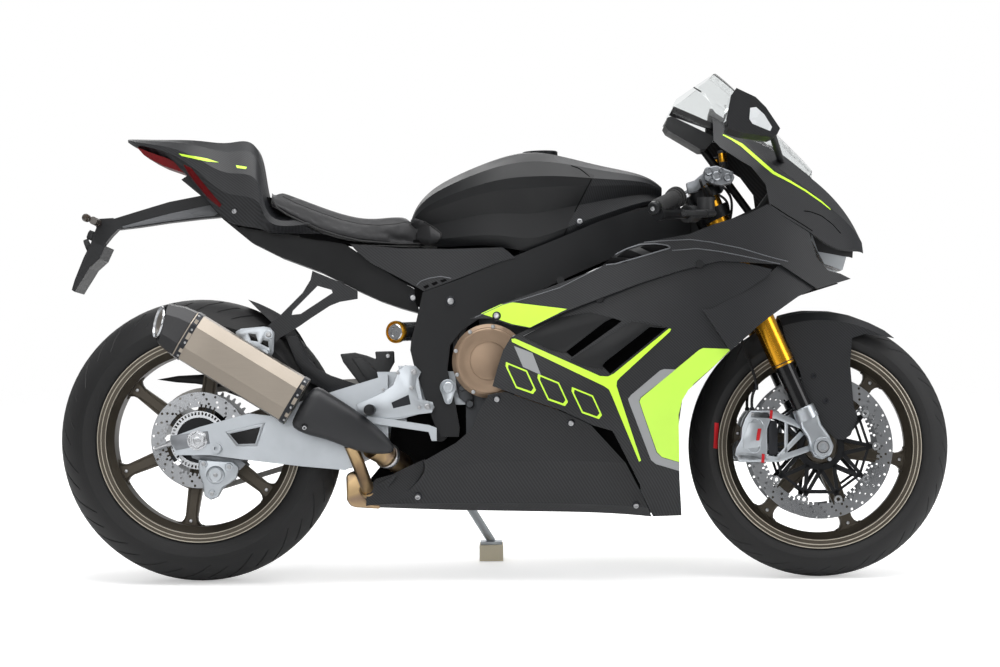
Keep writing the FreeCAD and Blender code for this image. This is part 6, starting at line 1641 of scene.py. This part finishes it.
# Bodywork details, their outlines in pixels of the photograph
bodywork = {
    "panelA": [(523.4, 336.5), (559.5, 317.6), (590.5, 312.4), (613.5, 318.5), (604.0, 327.5),
               (566.4, 352.9), (549.5, 350.0)],
    "panelB": [(581.9, 365.8), (569.9, 359.7), (631.9, 321), (662.9, 326.2), (657.7, 333),
               (602.6, 369.2)],
    # dark plates inside the duct openings: painted shade
    "ductShadePlate": [(548, 366), (556, 346), (602, 308), (632, 310), (680, 322), (676, 340),
                  (622, 382), (598, 382)],
    "ductFin": [(586, 352), (606, 338.5), (622, 332), (617, 339), (598, 352.5), (588, 356.5)],
    "lowDuctShadePlate": [(586, 418), (606, 422), (620, 433), (641, 478), (641, 491), (630, 485),
                 (606, 455)],
    "bellyPatch": [(366, 506), (367, 489), (376, 479), (392, 474.5), (404, 468.5), (425, 459),
                   (426, 486), (414, 498)],
    # dark plates deep behind the gaps between parts: painted shade
    "shades": [[(454, 316), (482, 313), (510, 336), (504, 420), (476, 444), (459, 442), (455, 400),
                (444, 372), (445, 348)],
               [(414, 286), (424, 288), (426, 306), (416, 305)],
               [(438, 243), (518, 250), (524, 262), (436, 254)],
               [(330, 232), (440, 242), (440, 246), (352, 244.5), (340, 241)],
               [(267, 197), (282, 199), (300, 214), (312, 226), (290, 222), (272, 217), (262, 205)],
               [(298, 231), (316, 234), (330, 235), (352, 241.5), (352, 244), (330, 241),
                (314, 239.5), (300, 237)],
               [(371, 478), (384, 462), (390, 440), (392, 420), (412, 413), (440, 411), (462, 430),
                (470, 446), (440, 458), (408, 474), (372, 488)]],
    "louvreFloor": [(602, 263), (612, 256.5), (626, 249), (640, 244.6), (655, 243.6), (668, 245.5),
                    (670.5, 248), (660, 251), (640, 257), (615, 264), (606, 265)],
    "louvreSlots": [[(604.8, 262.2), (611, 258.2), (624, 257.8), (628, 260), (626.5, 261.6),
                     (608.6, 264)],
                    [(617.5, 256.6), (627, 250.4), (631, 250.8), (642.6, 255.6), (641, 257),
                     (630, 257.8)],
                    [(641, 247.4), (645.3, 245.4), (665.5, 245.4), (669.5, 247.2), (664, 249),
                     (651.4, 252.2)]],
    "ridges": [[(640, 242.6), (668, 240.5), (690, 239.5), (710, 242), (740, 248), (770, 257),
                (788, 261.5)],
               [(672, 250.5), (697, 248.6), (720, 251.5), (750, 257.5), (780, 264)],
               [(475, 317.5), (503, 304.5), (523, 299.2), (560, 287.6), (602, 266.5)]],
    "noseLine": [(722.8, 134.9, 0.9), (732.0, 139.6, 1.7), (741.6, 145.2, 2.9), (751.2, 153.6, 3.1),
                 (762.3, 163.4, 3.1), (773.5, 173.0, 2.7), (789.4, 181.4, 1.9), (805.4, 190.9, 1.5),
                 (821.3, 202.0, 1.3), (830.2, 209.6, 0.8)],
    "lampShroud": [(812.3, 234.6), (853, 250.0), (852.5, 257.5), (842, 256), (818, 251.6)],
    "intakeCrease": [(803.8, 210.9), (810.2, 211.6), (821.3, 215.6), (832.5, 224.2),
                     (840.5, 233.2)],
    "mirrorLens": [(750.6, 108.2), (756, 107.4), (763.9, 114.6), (771.6, 127), (770.0, 130.6),
                   (752.8, 123.4), (749.8, 119)],
    "seamLines": {"fuel_tank": [[(558.4, 158.6), (563.0, 163.0), (583.5, 169.6), (592.6, 173.8),
                                 (592.0, 178.5), (578.0, 205.0), (564.2, 234.6)]],
                  "nose_cowl": [[(771, 204.5), (786, 214.5), (801, 223.5), (812.4, 230.8)]]},
}


# Points of the skin under a line of the picture, every few pixels
def skinLine(node, pixels, step=4.0):
    spots = []
    for (u0, v0), (u1, v1) in zip(pixels, pixels[1:]):
        count = max(1, round(math.hypot(u1 - u0, v1 - v0) / step))
        spots += [(u0 + (u1 - u0) * i / count, v0 + (v1 - v0) * i / count) for i in range(count)]
    found = []
    for u, v in spots + [pixels[-1]]:
        try:
            found.append(onSkin(node, u, v)[0])
        except ValueError:
            continue
    return found


def beadOn(name, node, lines, radius, material):
    beads = [pipeOf(name, skinLine(node, pixels), radius, 2) for pixels in lines]
    settleBoth(name, beads, material, smooth=60)


def ribbonOutline(line):
    upper, lower = [], []
    for i, (u, v, width) in enumerate(line):
        before, after = line[max(0, i - 1)], line[min(len(line) - 1, i + 1)]
        along = Vector((after[0] - before[0], after[1] - before[1])).normalized()
        upper.append((u + along.y * width / 2, v - along.x * width / 2))
        lower.append((u - along.y * width / 2, v + along.x * width / 2))
    return upper + lower[::-1]


# Bolt heads with the dark washer that each sits on
def fairingBolts(name, places):
    heads, washers = [], []
    for node, u, v, radius in places:
        spot, way = onSkin(node, u, v)
        washers.append(solidOf("washer", [(-0.002, radius * 1.55), (0.0012, radius * 1.5),
                                          (0.002, radius * 1.3)], spot, way, 28))
        heads.append(socketBolt(name, spot + way * (0.0015 + radius * 0.3), way, radius))
    settleBoth(name + "Washers", washers, darkBolt, "root")
    settleBoth(name, heads, boltSteel, "root")


def buildFairing():
    for name in ("panelA", "panelB"):
        settle(raisedPanel(name, "fairing_mid", bodywork[name], 0.0022, 0.0008), satinPaint, "root",
               smooth=30)
    # dark plates in the duct openings and behind the gaps: painted shade
    shadePlates = [photoPlate("ductShadePlate", bodywork["ductShadePlate"], 0.166, 0.169),
              photoPlate("lowDuctShadePlate", bodywork["lowDuctShadePlate"], 0.118, 0.121)]
    shadePlates += [photoPlate("shade", pixels, 0.066, 0.068) for pixels in bodywork["shades"]]
    settleBoth("paintedShadePlates", shadePlates, seamAndShadeBlack, "root")
    side = -onSkin("belly_pan", 418, 494)[0].y
    patch = photoPlate("bellyPatch", bodywork["bellyPatch"], side - 0.003, side + 0.001)
    settle(patch, carbon, "root")
    fin = photoPlate("ductFin", bodywork["ductFin"], 0.17, 0.196, 0.0015)
    settleBoth("ductFins", [fin], blackPlastic, "root")
    filmOn("louvreFloor", "fairing_upper", bodywork["louvreFloor"], satinPaint, 1.0, -0.2)
    # the louvre slots as black films: painted shade in place of their openings
    for pixels in bodywork["louvreSlots"]:
        filmOn("louvreSlot", "fairing_upper", pixels, seamAndShadeBlack, 2.5, -0.2)
    # pale beads on the louvre rim and the fairing ridges: painted highlight
    rim = bodywork["louvreFloor"] + bodywork["louvreFloor"][:1]
    beadOn("louvreRims", "fairing_upper", [rim], 0.0017, paintedEdgeHighlight)
    beadOn("fairingRidges", "fairing_upper", bodywork["ridges"], 0.0011, paintedEdgeHighlight)
    for node, lines in bodywork["seamLines"].items():
        beadOn(node + "Seams", node, lines, 0.0013, seamAndShadeBlack)
    fairingBolts("bodyBolts", [("fairing_upper", 496.7, 315.9, 0.0066),
                               ("belly_pan", 418, 496, 0.0066), ("belly_pan", 497, 399, 0.006),
                               ("belly_pan", 571, 423, 0.006), ("belly_pan", 636, 505, 0.006),
                               ("airbox_cover", 579.4, 222, 0.006), ("frame", 450.6, 301.2, 0.0075),
                               ("subframe", 413.3, 297.8, 0.0072)])
    filmOn("noseLine", "nose_cowl", ribbonOutline(bodywork["noseLine"]), limePaint, 1.5, 0.0)
    # a dark bead along the intake crease: painted shade in the crease
    beadOn("intakeCreases", "nose_cowl", [bodywork["intakeCrease"]], 0.0012, seamAndShadeBlack)
    # dark shroud over the upper edge of the lamp, which shows at its side
    side = -onSkin("headlamps", 838, 262)[0].y
    shroud = photoPlate("lampShroud", bodywork["lampShroud"], side - 0.004, side + 0.0015)
    settleBoth("lampShrouds", [shroud], blackPlastic, "root")
    print("fairing: panels, louvres, ridges, bolts")


# The faces of a CAD node that pass the test, as one plain face drawn in from its edge and raised
def glassOn(name, node, keep, flatten, margin, lift):
    glass = meshOfNode(name, node)
    editMode(glass)
    selectFaces(glass, lambda centre, normal: not keep(centre, normal))
    bpy.ops.mesh.delete(type="FACE")
    bpy.ops.mesh.select_all(action="SELECT")
    bpy.ops.mesh.dissolve_limited(angle_limit=math.radians(flatten))
    bpy.ops.mesh.select_all(action="SELECT")
    bpy.ops.mesh.inset(thickness=margin, depth=0.0)
    bpy.ops.mesh.select_all(action="INVERT")
    bpy.ops.mesh.delete(type="FACE")
    bpy.ops.mesh.select_all(action="SELECT")
    bpy.ops.transform.shrink_fatten(value=lift)
    toObjectMode()
    return glass


def buildMirrorsAndScreen():
    filmOn("mirrorLenses", "mirrors", bodywork["mirrorLens"], frostedLens, 2.0, -0.2)
    glass = glassOn("mirrorGlasses", "mirrors",
                    lambda centre, normal: normal.x < -0.75 and abs(centre.y) > 0.27, 12, 0.006,
                    0.0008)
    settle(glass, mirrorGlass, "root", smooth=30)
    screen = meshOfNode("screen", "windscreen")
    rings = []
    for low, high in (((668.8, 115.5), (673.6, 106.4)), ((694, 124.5), (697, 116.4)),
                      ((714, 131.5), (716, 125.0)), ((725, 134), (726.5, 130.0))):
        out = -onSkin("windscreen", high[0], high[1] - 1.2)[0].y
        rings.append([photoPoint(*low, out), photoPoint(*high, out), photoPoint(*high, out - 0.003),
                      photoPoint(*low, out - 0.003)])
    settle(bothSides(loftOf("screenBand", rings), "screenBand"), blackGloss, "root", smooth=30)
    # stands a hair off the nose where the two skins share a plane
    swell(screen, 0.0007)
    settle(screen, screenClear, "root", smooth=30)
    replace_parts(screen, "windscreen")
    print("mirrors and screen")


# near black without sheen: real seams, and painted shade in openings, slots, vents, creases and
# gaps
seamAndShadeBlack = grained("seamAndPaintedShadeBlack", "#060607", 0, 0.8, 1.2, 0.1, 0.1,
                       Specular_IOR_Level=0.1)
# pale grey on ridges, rims and creases: painted highlight
paintedEdgeHighlight = grained("paintedHighlightGrey", "#5A5C60", 0.2, 0.35, 0.9, 0.03, 0.05)
buildFairing()
buildMirrorsAndScreen()


# Engine covers, frame fittings, chain and sprocket, radiator core, stand
drive = {
    "chainPlace": 0.108, "rearPitch": 0.116, "frontPitch": 0.04, "frontSprocket": (-0.078, 0.432),
    "linkCount": 110, "plateThickness": 0.0018, "rollerRadius": 0.005,
    "teeth": 46, "toothRoot": 0.1085, "toothTip": 0.117, "sprocketHub": 0.05,
    "finCount": 34,
}


def ringOfBolts(name, centre, direction, radius, count, size, start=0.0):
    direction = Vector(direction).normalized()
    across = direction.cross(Vector((0, 0, 1))).normalized()
    upward = across.cross(direction)
    made = []
    for i in range(count):
        angle = start + math.tau * i / count
        spot = Vector(centre) + (across * math.cos(angle) + upward * math.sin(angle)) * radius
        made.append(socketBolt(name, spot, direction, size))
    return join(name, made)


def buildEngineTrim():
    centre = photoPoint(489.0, 361.0, -onSkin("engine_covers", 489.0, 361.0)[0].y)
    rings = [turned("clutchStep", [(-0.001, 0.05), (-0.001, 0.0745), (0.0014, 0.074),
                                   (0.0026, 0.072), (0.0026, 0.064), (0.001, 0.06), (0.001, 0.05)],
                    centre, (0, -1, 0), 72),
             turned("clutchDome", [(-0.001, core), (-0.001, 0.044), (0.0022, 0.0425),
                                   (0.0036, 0.038), (0.0042, core)], centre, (0, -1, 0), 60)]
    lowCentre = photoPoint(539.0, 394.0, -onSkin("engine_covers", 541.0, 391.0)[0].y)
    rings.append(solidOf("pickupStep", [(-0.001, 0.048), (0.002, 0.047), (0.003, 0.044),
                                        (0.002, 0.039), (0.003, 0.02)], lowCentre, (0, -1, 0), 60))
    settleBoth("coverSteps", rings, bronzeCover, "root", smooth=30)
    bolts = []
    for middle, *ring in ((centre, 0.0785, 9, 0.0046, 0.3), (lowCentre, 0.0525, 6, 0.0042, 0.1)):
        bolts.append(ringOfBolts("coverBolts", middle + Vector((0, -0.001, 0)), (0, -1, 0), *ring))
    settleBoth("coverBolts", bolts, boltSteel, "root")
    # the dark edge of the crankcase round the clutch cover, with its bosses
    parts = []
    for u, v, size in ((455, 331, 4.4), (461, 350, 3.6), (458, 368, 3.8), (462, 388, 3.8),
                       (470, 404, 4.2), (486, 411, 3.8), (459, 343, 2.6), (464, 325, 2.8),
                       (456, 357, 2.4), (472, 321, 2.4)):
        parts.append(solidOf("caseBoss", [(0, size * 0.00232), (0.01, size * 0.0021),
                                          (0.012, size * 0.0017)], photoPoint(u, v, 0.128),
                             (0, -1, 0), 18))
    for pixels in ([(453, 324), (462, 318), (470, 322), (462, 338), (457, 352), (453, 352)],
                   [(455, 372), (462, 380), (474, 398), (470, 406), (459, 398), (456, 384)]):
        parts.append(photoPlate("caseRib", pixels, 0.118, 0.131, 0.0025))
    settleBoth("caseBosses", parts, engineCast, "root", smooth=30)
    route = ((464, 318, 0.1), (457, 332, 0.138), (456, 350, 0.14), (462, 372, 0.13),
             (470, 396, 0.12))
    hose = pipeOf("coolantHose", [photoPoint(*p) for p in route], 0.0048)
    settleBoth("engineHoses", [hose], rubber, "root", smooth=60)


def buildFrameTrim():
    outline = []
    for u, v, radius, start, sweep, steps in ((448, 387.4, 8.3, -35, 250, 24),
                                              (448.2, 400.4, 3.9, 200, 140, 8)):
        for i in range(steps + 1):
            angle = math.radians(start + sweep * i / steps)
            outline.append((u + radius * math.cos(angle), v - radius * math.sin(angle)))
    face = -onSkin("frame", 448.0, 388.0)[0].y
    cover = photoPlate("pivotCover", outline, face - 0.001, face + 0.006, 0.0016)
    insetFaces(cover, lambda centre, normal: normal.y < -0.95, 0.003, -0.0015)
    nut = solidOf("pivotNut", [(0, 0.0125), (0.0055, 0.012), (0.0065, 0.0105), (0.0065, 0.0075),
                               (0.003, 0.007)], photoPoint(448.0, 387.4, face + 0.0045), (0, -1, 0),
                  32)
    small = solidOf("pivotScrew", [(0, 0.005), (0.004, 0.0048), (0.005, 0.0036)],
                   photoPoint(448.2, 400.6, face + 0.0045), (0, -1, 0), 16)
    settleBoth("pivotCovers", [cover, nut, small], castSilver, "root", smooth=30)
    # shallow vents of the carbon side cover, as dark plates: painted shade in their recesses
    parts = []
    for pixels in ([(423.0, 286.6), (427.6, 284.4), (429.6, 286.4), (425.2, 288.8)],
                   [(431.2, 283.4), (436.2, 281.2), (438.4, 283.2), (433.6, 285.6)],
                   [(440.0, 280.4), (445.0, 278.8), (447.2, 280.6), (442.2, 282.6)]):
        u, v = sum(p[0] for p in pixels) / 4, sum(p[1] for p in pixels) / 4
        out = -onSkin("side_covers", u, v)[0].y
        parts.append(photoPlate("coverVent", pixels, out - 0.002, out + 0.0008))
    settleBoth("coverVents", parts, seamAndShadeBlack, "root")
    # a pale bead along the crease of the side cover: painted highlight
    beadOn("sideCoverCreases", "side_covers", [[(416.5, 285.6), (420.8, 281.0), (430, 278.0),
                                                (441, 276.4), (451, 278.4)]], 0.0011, paintedEdgeHighlight)


# Outline of a chain wheel in x and z: each tooth has a root, two flanks and a tip
def toothOutline(centre, teeth, root, tip):
    points = []
    for i in range(teeth):
        for share, radius in ((-0.3, root), (-0.12, tip), (0.12, tip), (0.3, root)):
            angle = math.tau * (i + share) / teeth
            points.append((centre[0] + radius * math.cos(angle),
                           centre[1] + radius * math.sin(angle)))
    return points


def buildChain():
    place = drive["chainPlace"]
    rear = Vector(stance["rearAxle"])
    front = Vector(drive["frontSprocket"])
    big, small = drive["rearPitch"], drive["frontPitch"]
    # the loop: two straight runs and two arcs round the pitch circles
    line = front - rear
    slope = math.atan2(line.y, line.x)
    lift = math.asin((big - small) / line.length)
    path = []
    topAngle, lowAngle = slope + math.pi / 2 - lift, slope - math.pi / 2 + lift
    for i in range(41):
        angle = topAngle + (math.tau - (topAngle - lowAngle)) * i / 40
        path.append(rear + Vector((math.cos(angle), math.sin(angle))) * big)
    for i in range(25):
        angle = lowAngle + (topAngle - lowAngle) * i / 24
        path.append(front + Vector((math.cos(angle), math.sin(angle))) * small)
    path.append(path[0])
    lengths = [0.0]
    for a, b in zip(path, path[1:]):
        lengths.append(lengths[-1] + (b - a).length)
    count = drive["linkCount"]
    pitch = lengths[-1] / count

    def along(distance):
        distance %= lengths[-1]
        for i in range(len(path) - 1):
            if distance <= lengths[i + 1]:
                share = (distance - lengths[i]) / (lengths[i + 1] - lengths[i])
                return path[i].lerp(path[i + 1], share)
        return path[-1]

    links = []
    outline = []
    for end, start in ((0.5, -90), (-0.5, 90)):
        for i in range(5):
            angle = math.radians(start + 45 * i)
            outline.append((end * pitch + 0.0062 * math.cos(angle), 0.0062 * math.sin(angle)))
    model = {}
    # the outer links carry the pins, the inner links the rollers
    for kind, inner, reach, radius, steps in (("outer", 0.0058, 0.0086, 0.0024, 6),
                                              ("inner", 0.0038, 0.0038, drive["rollerRadius"], 8)):
        plates = [plateOf("linkPlate", outline, -inner - drive["plateThickness"], -inner),
                  plateOf("linkPlate", outline, inner, inner + drive["plateThickness"])]
        for end in (-0.5, 0.5):
            plates.append(rodOf("linkPin", -reach, reach, radius, (end * pitch, 0, 0), steps=steps))
        model[kind] = join(kind + "Link", plates)
    for i in range(count):
        a, b = along(i * pitch), along((i + 1) * pitch)
        turn = math.atan2(b.y - a.y, b.x - a.x)
        middle = (a + b) / 2
        link = copyOf(model["outer" if i % 2 else "inner"], "chainLink")
        link.data.transform(Matrix.Translation((middle.x, place, middle.y))
                            @ Matrix.Rotation(-turn, 4, "Y"))
        links.append(link)
    for piece in model.values():
        bpy.data.objects.remove(piece)
    chain = join("chainLinks", links)
    settle(chain, chainSteel, "root", smooth=30)
    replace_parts(chain, "chain")

    half = 0.0026
    wheel = plateOf("sprocketTeeth", toothOutline(rear, drive["teeth"], drive["toothRoot"],
                                                  drive["toothTip"]), -place - half, -place + half)
    tools = [rodOf("sprocketBore", -0.02, 0.02, drive["sprocketHub"], (rear.x, place, rear.y))]
    for i in range(10):
        angle = math.tau * i / 10
        radius = 0.0125 if i % 2 else 0.0095
        spot = (rear.x + 0.086 * math.cos(angle), place, rear.y + 0.086 * math.sin(angle))
        tools.append(rodOf("sprocketHole", -0.02, 0.02, radius, spot, steps=20))
    carve(wheel, join("sprocketTools", tools))
    hub = turned("sprocketCarrier", [(-0.014, 0.03), (-0.014, 0.066), (-0.0035, 0.07),
                                     (-0.003, 0.03)], (rear.x, place, rear.y), steps=60)
    settle(wheel, boltSteel, "rear_wheel", smooth=30)
    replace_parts(wheel, "rear_sprocket")
    settle(hub, blackMetal, "rear_wheel", smooth=30)
    nuts = ringOfBolts("sprocketNuts", (rear.x, place + 0.0045, rear.y), (0, 1, 0), 0.0605, 5,
                       0.0062, 0.3)
    settle(nuts, boltSteel, "rear_wheel")
    print("chain: %d links, sprocket" % count)


def buildRadiatorCore():
    fins = []
    count = drive["finCount"]
    piece = meshOfNode("radiatorFins", "radiator")
    corners = [v.co.copy() for v in piece.data.vertices]
    bpy.data.objects.remove(piece)
    lowZ, highZ = min(c.z for c in corners), max(c.z for c in corners)
    tilt = math.radians(8)
    for i in range(count):
        share = (i + 0.5) / count
        toObjectMode()
        bpy.ops.mesh.primitive_cube_add(size=1)
        fin = bpy.context.object
        height = (highZ - lowZ) * 0.92 / count
        along = lowZ + (highZ - lowZ) * (0.04 + 0.92 * share)
        front = max(c.x for c in corners if abs(c.z - along) < (highZ - lowZ)) - 0.013
        front -= math.tan(tilt) * (highZ - along)
        size = Matrix.Diagonal((0.036, 0.296, height * 0.32, 1))
        fin.data.transform(Matrix.Translation((front, 0, along)) @ size)
        editMode(fin)
        selectEdges(fin,
                    lambda a, b: abs(a.x - b.x) < 0.001 and abs(a.z - b.z) < 0.001 and a.x > front)
        bpy.ops.mesh.bevel(offset=height * 0.1, segments=1)
        toObjectMode()
        fins.append(fin)
    settle(join("radiatorFins", fins), darkBolt, "root", smooth=0)


def buildStand():
    up, foot = Vector((-0.15, 0.125, 0.25)), Vector((-0.046, 0.31, 0.07))
    way = (foot - up).normalized()
    start = up + Vector((-0.02, -0.004, 0))
    spring = []
    side = way.cross(Vector((1, 0, 0))).normalized()
    other = way.cross(side)
    turns = 9
    for i in range(turns * 8 + 1):
        angle = math.tau * i / 8
        spring.append(start + way * (0.03 + 0.07 * i / (turns * 8))
                      + (side * math.cos(angle) + other * math.sin(angle)) * 0.0052)
    settle(pipeOf("standSpring", spring, 0.0014, 2), boltSteel, "side_stand", smooth=60)


buildEngineTrim()
buildFrameTrim()
buildChain()
buildRadiatorCore()
buildStand()


# Seat: the CAD block a little smaller, blown up as a cloth under pressure, with piping and a seam
cushion = {
    "voxel": 0.005, "shrink": 0.0035, "pressure": 4.0, "frames": 20, "cap": 0.006,
    "piping": [(273, 201.5), (277, 208), (287, 214.6), (301, 221.4), (320, 229.8), (340, 236.2),
               (360, 240.8), (380, 242.6), (400, 243.9), (426, 243.8), (432, 240.0),
               (434.6, 235.6)],
    "nose": [(410, 221), (415, 219), (424, 221.5), (436, 229), (441, 233.5), (441.5, 236.5),
             (437, 242), (430, 244.6), (410, 245)],
    "nosePiping": [(424, 221.5), (436, 229), (441, 233.5), (441.5, 236.5), (437, 242),
                   (430, 244.4)],
    "seam": [(283, 196.5), (296, 202.8), (310, 208.6), (325, 214.2), (342, 219.8), (360, 223.8),
             (378, 225.2), (396, 223.8), (408, 221.6), (418, 224.4), (427, 229.6)],
}


def buildSeat():
    beadOn("seatPiping", "seat", [cushion["piping"]], 0.0024, rubber)
    beadOn("seatSeam", "seat", [cushion["seam"]], 0.0009, rubber)
    filmOn("seatNoses", "fuel_tank", cushion["nose"], vinyl, 4.0, -0.2)
    beadOn("seatNosePiping", "fuel_tank", [cushion["nosePiping"]], 0.0024, rubber)
    pad = meshOfNode("seatPad", "seat")
    applyModifier(pad, "REMESH", mode="VOXEL", voxel_size=cushion["voxel"])
    swell(pad, -cushion["shrink"])
    rest = [v.co.copy() for v in pad.data.vertices]
    normals = [v.normal.copy() for v in pad.data.vertices]
    modifier = pad.modifiers.new("Cloth", "CLOTH")
    cloth = modifier.settings
    cloth.quality = 5
    cloth.use_pressure = True
    cloth.uniform_pressure_force = cushion["pressure"]
    cloth.effector_weights.gravity = 0
    for number in range(1, cushion["frames"] + 1):
        bpy.context.scene.frame_set(number)
    activate(pad)
    bpy.ops.object.modifier_apply(modifier=modifier.name)
    bpy.context.scene.frame_set(1)
    for vertex, start, normal in zip(pad.data.vertices, rest, normals):
        moved = vertex.co - start
        cap = cushion["cap"] if normal.z > -0.2 else 0.001
        if moved.length > cap:
            vertex.co = start + moved * (cap / moved.length)
    applyModifier(pad, "SMOOTH", factor=0.5, iterations=4)
    applyModifier(pad, "SUBSURF", levels=1, render_levels=1)
    settle(pad, vinyl, "root", smooth=60)
    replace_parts(pad, "seat")
    print("seat: pad, piping, seam")


buildSeat()


# Fuel cap, grips, fork tops, controls and clocks
cockpit = {
    "gripRibs": 14, "ribPitch": 0.0058,
    "gripEnd": (0.325, -0.34, 0.833), "barInward": (0.4363, 0.865, 0.2477),
    "cableRoutes": [[(706, 186, 0.2), (712, 196, 0.15), (720, 206, 0.08), (726, 218, 0.05)],
                    [(716, 181, 0.18), (724, 186, 0.11), (734, 202, 0.05), (730, 220, 0.04)],
                    [(700, 180, 0.205), (704, 192, 0.17), (710, 206, 0.1), (716, 222, 0.06)]],
    "masterBody": [(703.5, 171.0), (709.0, 166.6), (716.5, 165.4), (724.0, 168.0), (731.0, 170.6),
                   (735.0, 177.0), (732.0, 183.0), (722.0, 185.8), (710.0, 184.0), (704.0, 179.5)],
    "masterSteps": [(708.5, 171.5, 4.6), (716.5, 176.5, 5.2), (727.5, 177.5, 4.4),
                    (712.0, 181.0, 3.0), (731.0, 173.5, 2.4), (721.0, 170.5, 2.6)],
}


def buildGrips():
    end = Vector(cockpit["gripEnd"])
    inward = Vector(cockpit["barInward"]).normalized()
    section = [(0.0, core), (0.0, 0.015), (0.0015, 0.0162)]
    for i in range(cockpit["gripRibs"]):
        start = 0.004 + i * cockpit["ribPitch"]
        section += [(start, 0.0166), (start + 0.0012, 0.0173), (start + 0.0036, 0.0173),
                    (start + 0.0046, 0.0166)]
    section += [(0.088, 0.0172), (0.094, 0.019), (0.0955, 0.0215), (0.0985, 0.022), (0.1, 0.0195),
                (0.104, 0.0192), (0.1052, 0.0232), (0.108, 0.0236), (0.1095, 0.02), (0.113, 0.0198),
                (0.1142, 0.0238), (0.1172, 0.024), (0.118, core)]
    grip = settleBoth("gripRubbers", [turned("gripRubbers", section, end, inward, 36)], rubber,
                      "steering", smooth=40)
    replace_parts(grip, "grips")
    weight = solidOf("barEnd", [(0.001, 0.0146), (-0.003, 0.015), (-0.015, 0.0146),
                                (-0.018, 0.0122), (-0.0185, 0.0075), (-0.0165, 0.007)], end, inward,
                     32)
    settleBoth("barEnds", [weight], blackMetal, "steering", smooth=30)
    settle(bothSides(socketBolt("barEndBolts", end - inward * 0.0175, -inward, 0.0052),
                     "barEndBolts"), boltSteel, "steering")


def buildForkTops():
    clamp, spacing = frontEnd["clampOffset"], frontEnd["forkSpacing"]
    up = stance["steerDirection"]
    base = steerPoint(clamp, -spacing, 0)
    parts = [turned("forkCap", [(0.64, 0.0276), (0.64, 0.0305), (0.644, 0.031), (0.6605, 0.0306),
                                (0.6625, 0.0285), (0.6625, 0.0185), (0.66, 0.018), (0.66, core)],
                    base, up, 44)]
    settleBoth("forkCaps", parts, blackMetal, "steering", smooth=30)
    screw = turned("forkAdjuster", [(0.659, core), (0.659, 0.0135), (0.668, 0.013), (0.67, 0.0108),
                                    (0.67, 0.006), (0.674, 0.0055), (0.6745, core)], base, up, 6)
    collar = turned("forkCollar", [(0.648, 0.03), (0.648, 0.0322), (0.6535, 0.0322),
                                   (0.6535, 0.03)], base, up, 44)
    settleBoth("forkAdjusters", [screw, collar], goldAnodised, "steering", smooth=30)
    nut = solidOf("stemNut", [(0.644, 0.019), (0.654, 0.0186), (0.656, 0.0165), (0.656, 0.011),
                              (0.65, 0.0105)], steerPoint(0, 0, 0), up, 32)
    ring = turned("stemRing", [(0.6435, 0.019), (0.6435, 0.0235), (0.6465, 0.0235),
                               (0.6465, 0.019)], steerPoint(0, 0, 0), up, 40)
    settle(join("stemNuts", [nut, ring]), machined, "steering", smooth=30)
    holder = steerPoint(-0.046, 0, 0.634)
    lock = solidOf("ignitionLock", [(-0.01, 0.0175), (0.012, 0.0175), (0.014, 0.0155),
                                    (0.014, 0.006), (0.0115, 0.0055)], holder, up, 32)
    settle(lock, blackPlastic, "steering", smooth=30)


def buildControls():
    out = 0.178
    body = photoPlate("masterBody", cockpit["masterBody"], out - 0.03, out + 0.004, 0.0045, 3)
    arm = photoPlate("masterArm", [(686, 183), (694, 180.5), (706, 171), (709, 181), (697, 192),
                                   (688, 194)], out - 0.022, out - 0.004, 0.003)
    parts = [body, arm]
    for u, v, size in cockpit["masterSteps"]:
        radius = size * stance["pixelSize"]
        parts.append(solidOf("masterStep", [(0, radius), (0.006, radius * 0.95),
                                            (0.0085, radius * 0.75), (0.0065, radius * 0.5)],
                             photoPoint(u, v, out + 0.002), (0, -1, 0), 20))
    settleBoth("masterCylinders", parts, greyMetal, "steering", smooth=30)
    spot = photoPoint(723.3, 162.5, 0.1)
    up = Vector((-0.1, 0, 1)).normalized()
    cup = solidOf("fluidCup", [(0, 0.0088), (0.003, 0.0094), (0.022, 0.0094)], spot, up, 28)
    settleBoth("fluidCups", [cup], goldAnodised, "steering", smooth=30)
    lid = solidOf("fluidLid", [(0.0215, 0.0108), (0.026, 0.0108), (0.0285, 0.009)], spot, up, 24)
    low = solidOf("fluidSeat", [(-0.012, 0.0085), (0.001, 0.0104)], spot, up, 24)
    holder = pipeOf("cupHolder", [photoPoint(723.3, 165.5, 0.1), photoPoint(722.8, 167.5, 0.13),
                                  photoPoint(722.0, 171.5, 0.156)], 0.0042, 3)
    settleBoth("fluidLids", [lid, low, holder], blackPlastic, "steering",
               smooth=30)
    cables = []
    for i, route in enumerate(cockpit["cableRoutes"]):
        cables.append(pipeOf("cable", [photoPoint(*p) for p in route], 0.003 if i else 0.0036, 3))
    settleBoth("barCables", cables, rubber, "steering", smooth=60)


def buildClocks():
    face = glassOn("dashFace", "dash", lambda centre, normal: normal.x < -0.35 and normal.z > -0.2,
                   8, 0.008, 0.0012)
    settle(face, blackGloss, "root", smooth=30)


def buildFuelCap():
    spot = photoPoint(540, 152.6, 0.0)
    cap = solidOf("fuelCap", [(-0.012, 0.0405), (0.0005, 0.0405), (0.0022, 0.038), (0.0022, 0.0315),
                              (0.0008, 0.03), (0.0008, 0.013), (0.0026, 0.0115)], spot,
                  (-0.02, 0, 1), 56)
    settle(cap, blackMetal, "root", smooth=30)
    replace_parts(cap, "fuel_cap")
    bolts = ringOfBolts("capBolts", spot + Vector((0, 0, 0.0022)), (0, 0, 1), 0.035, 7, 0.0026)
    settle(bolts, boltSteel, "root")


buildFuelCap()
buildGrips()
buildForkTops()
buildControls()
buildClocks()
print("cockpit: grips, fork tops, controls, clocks")
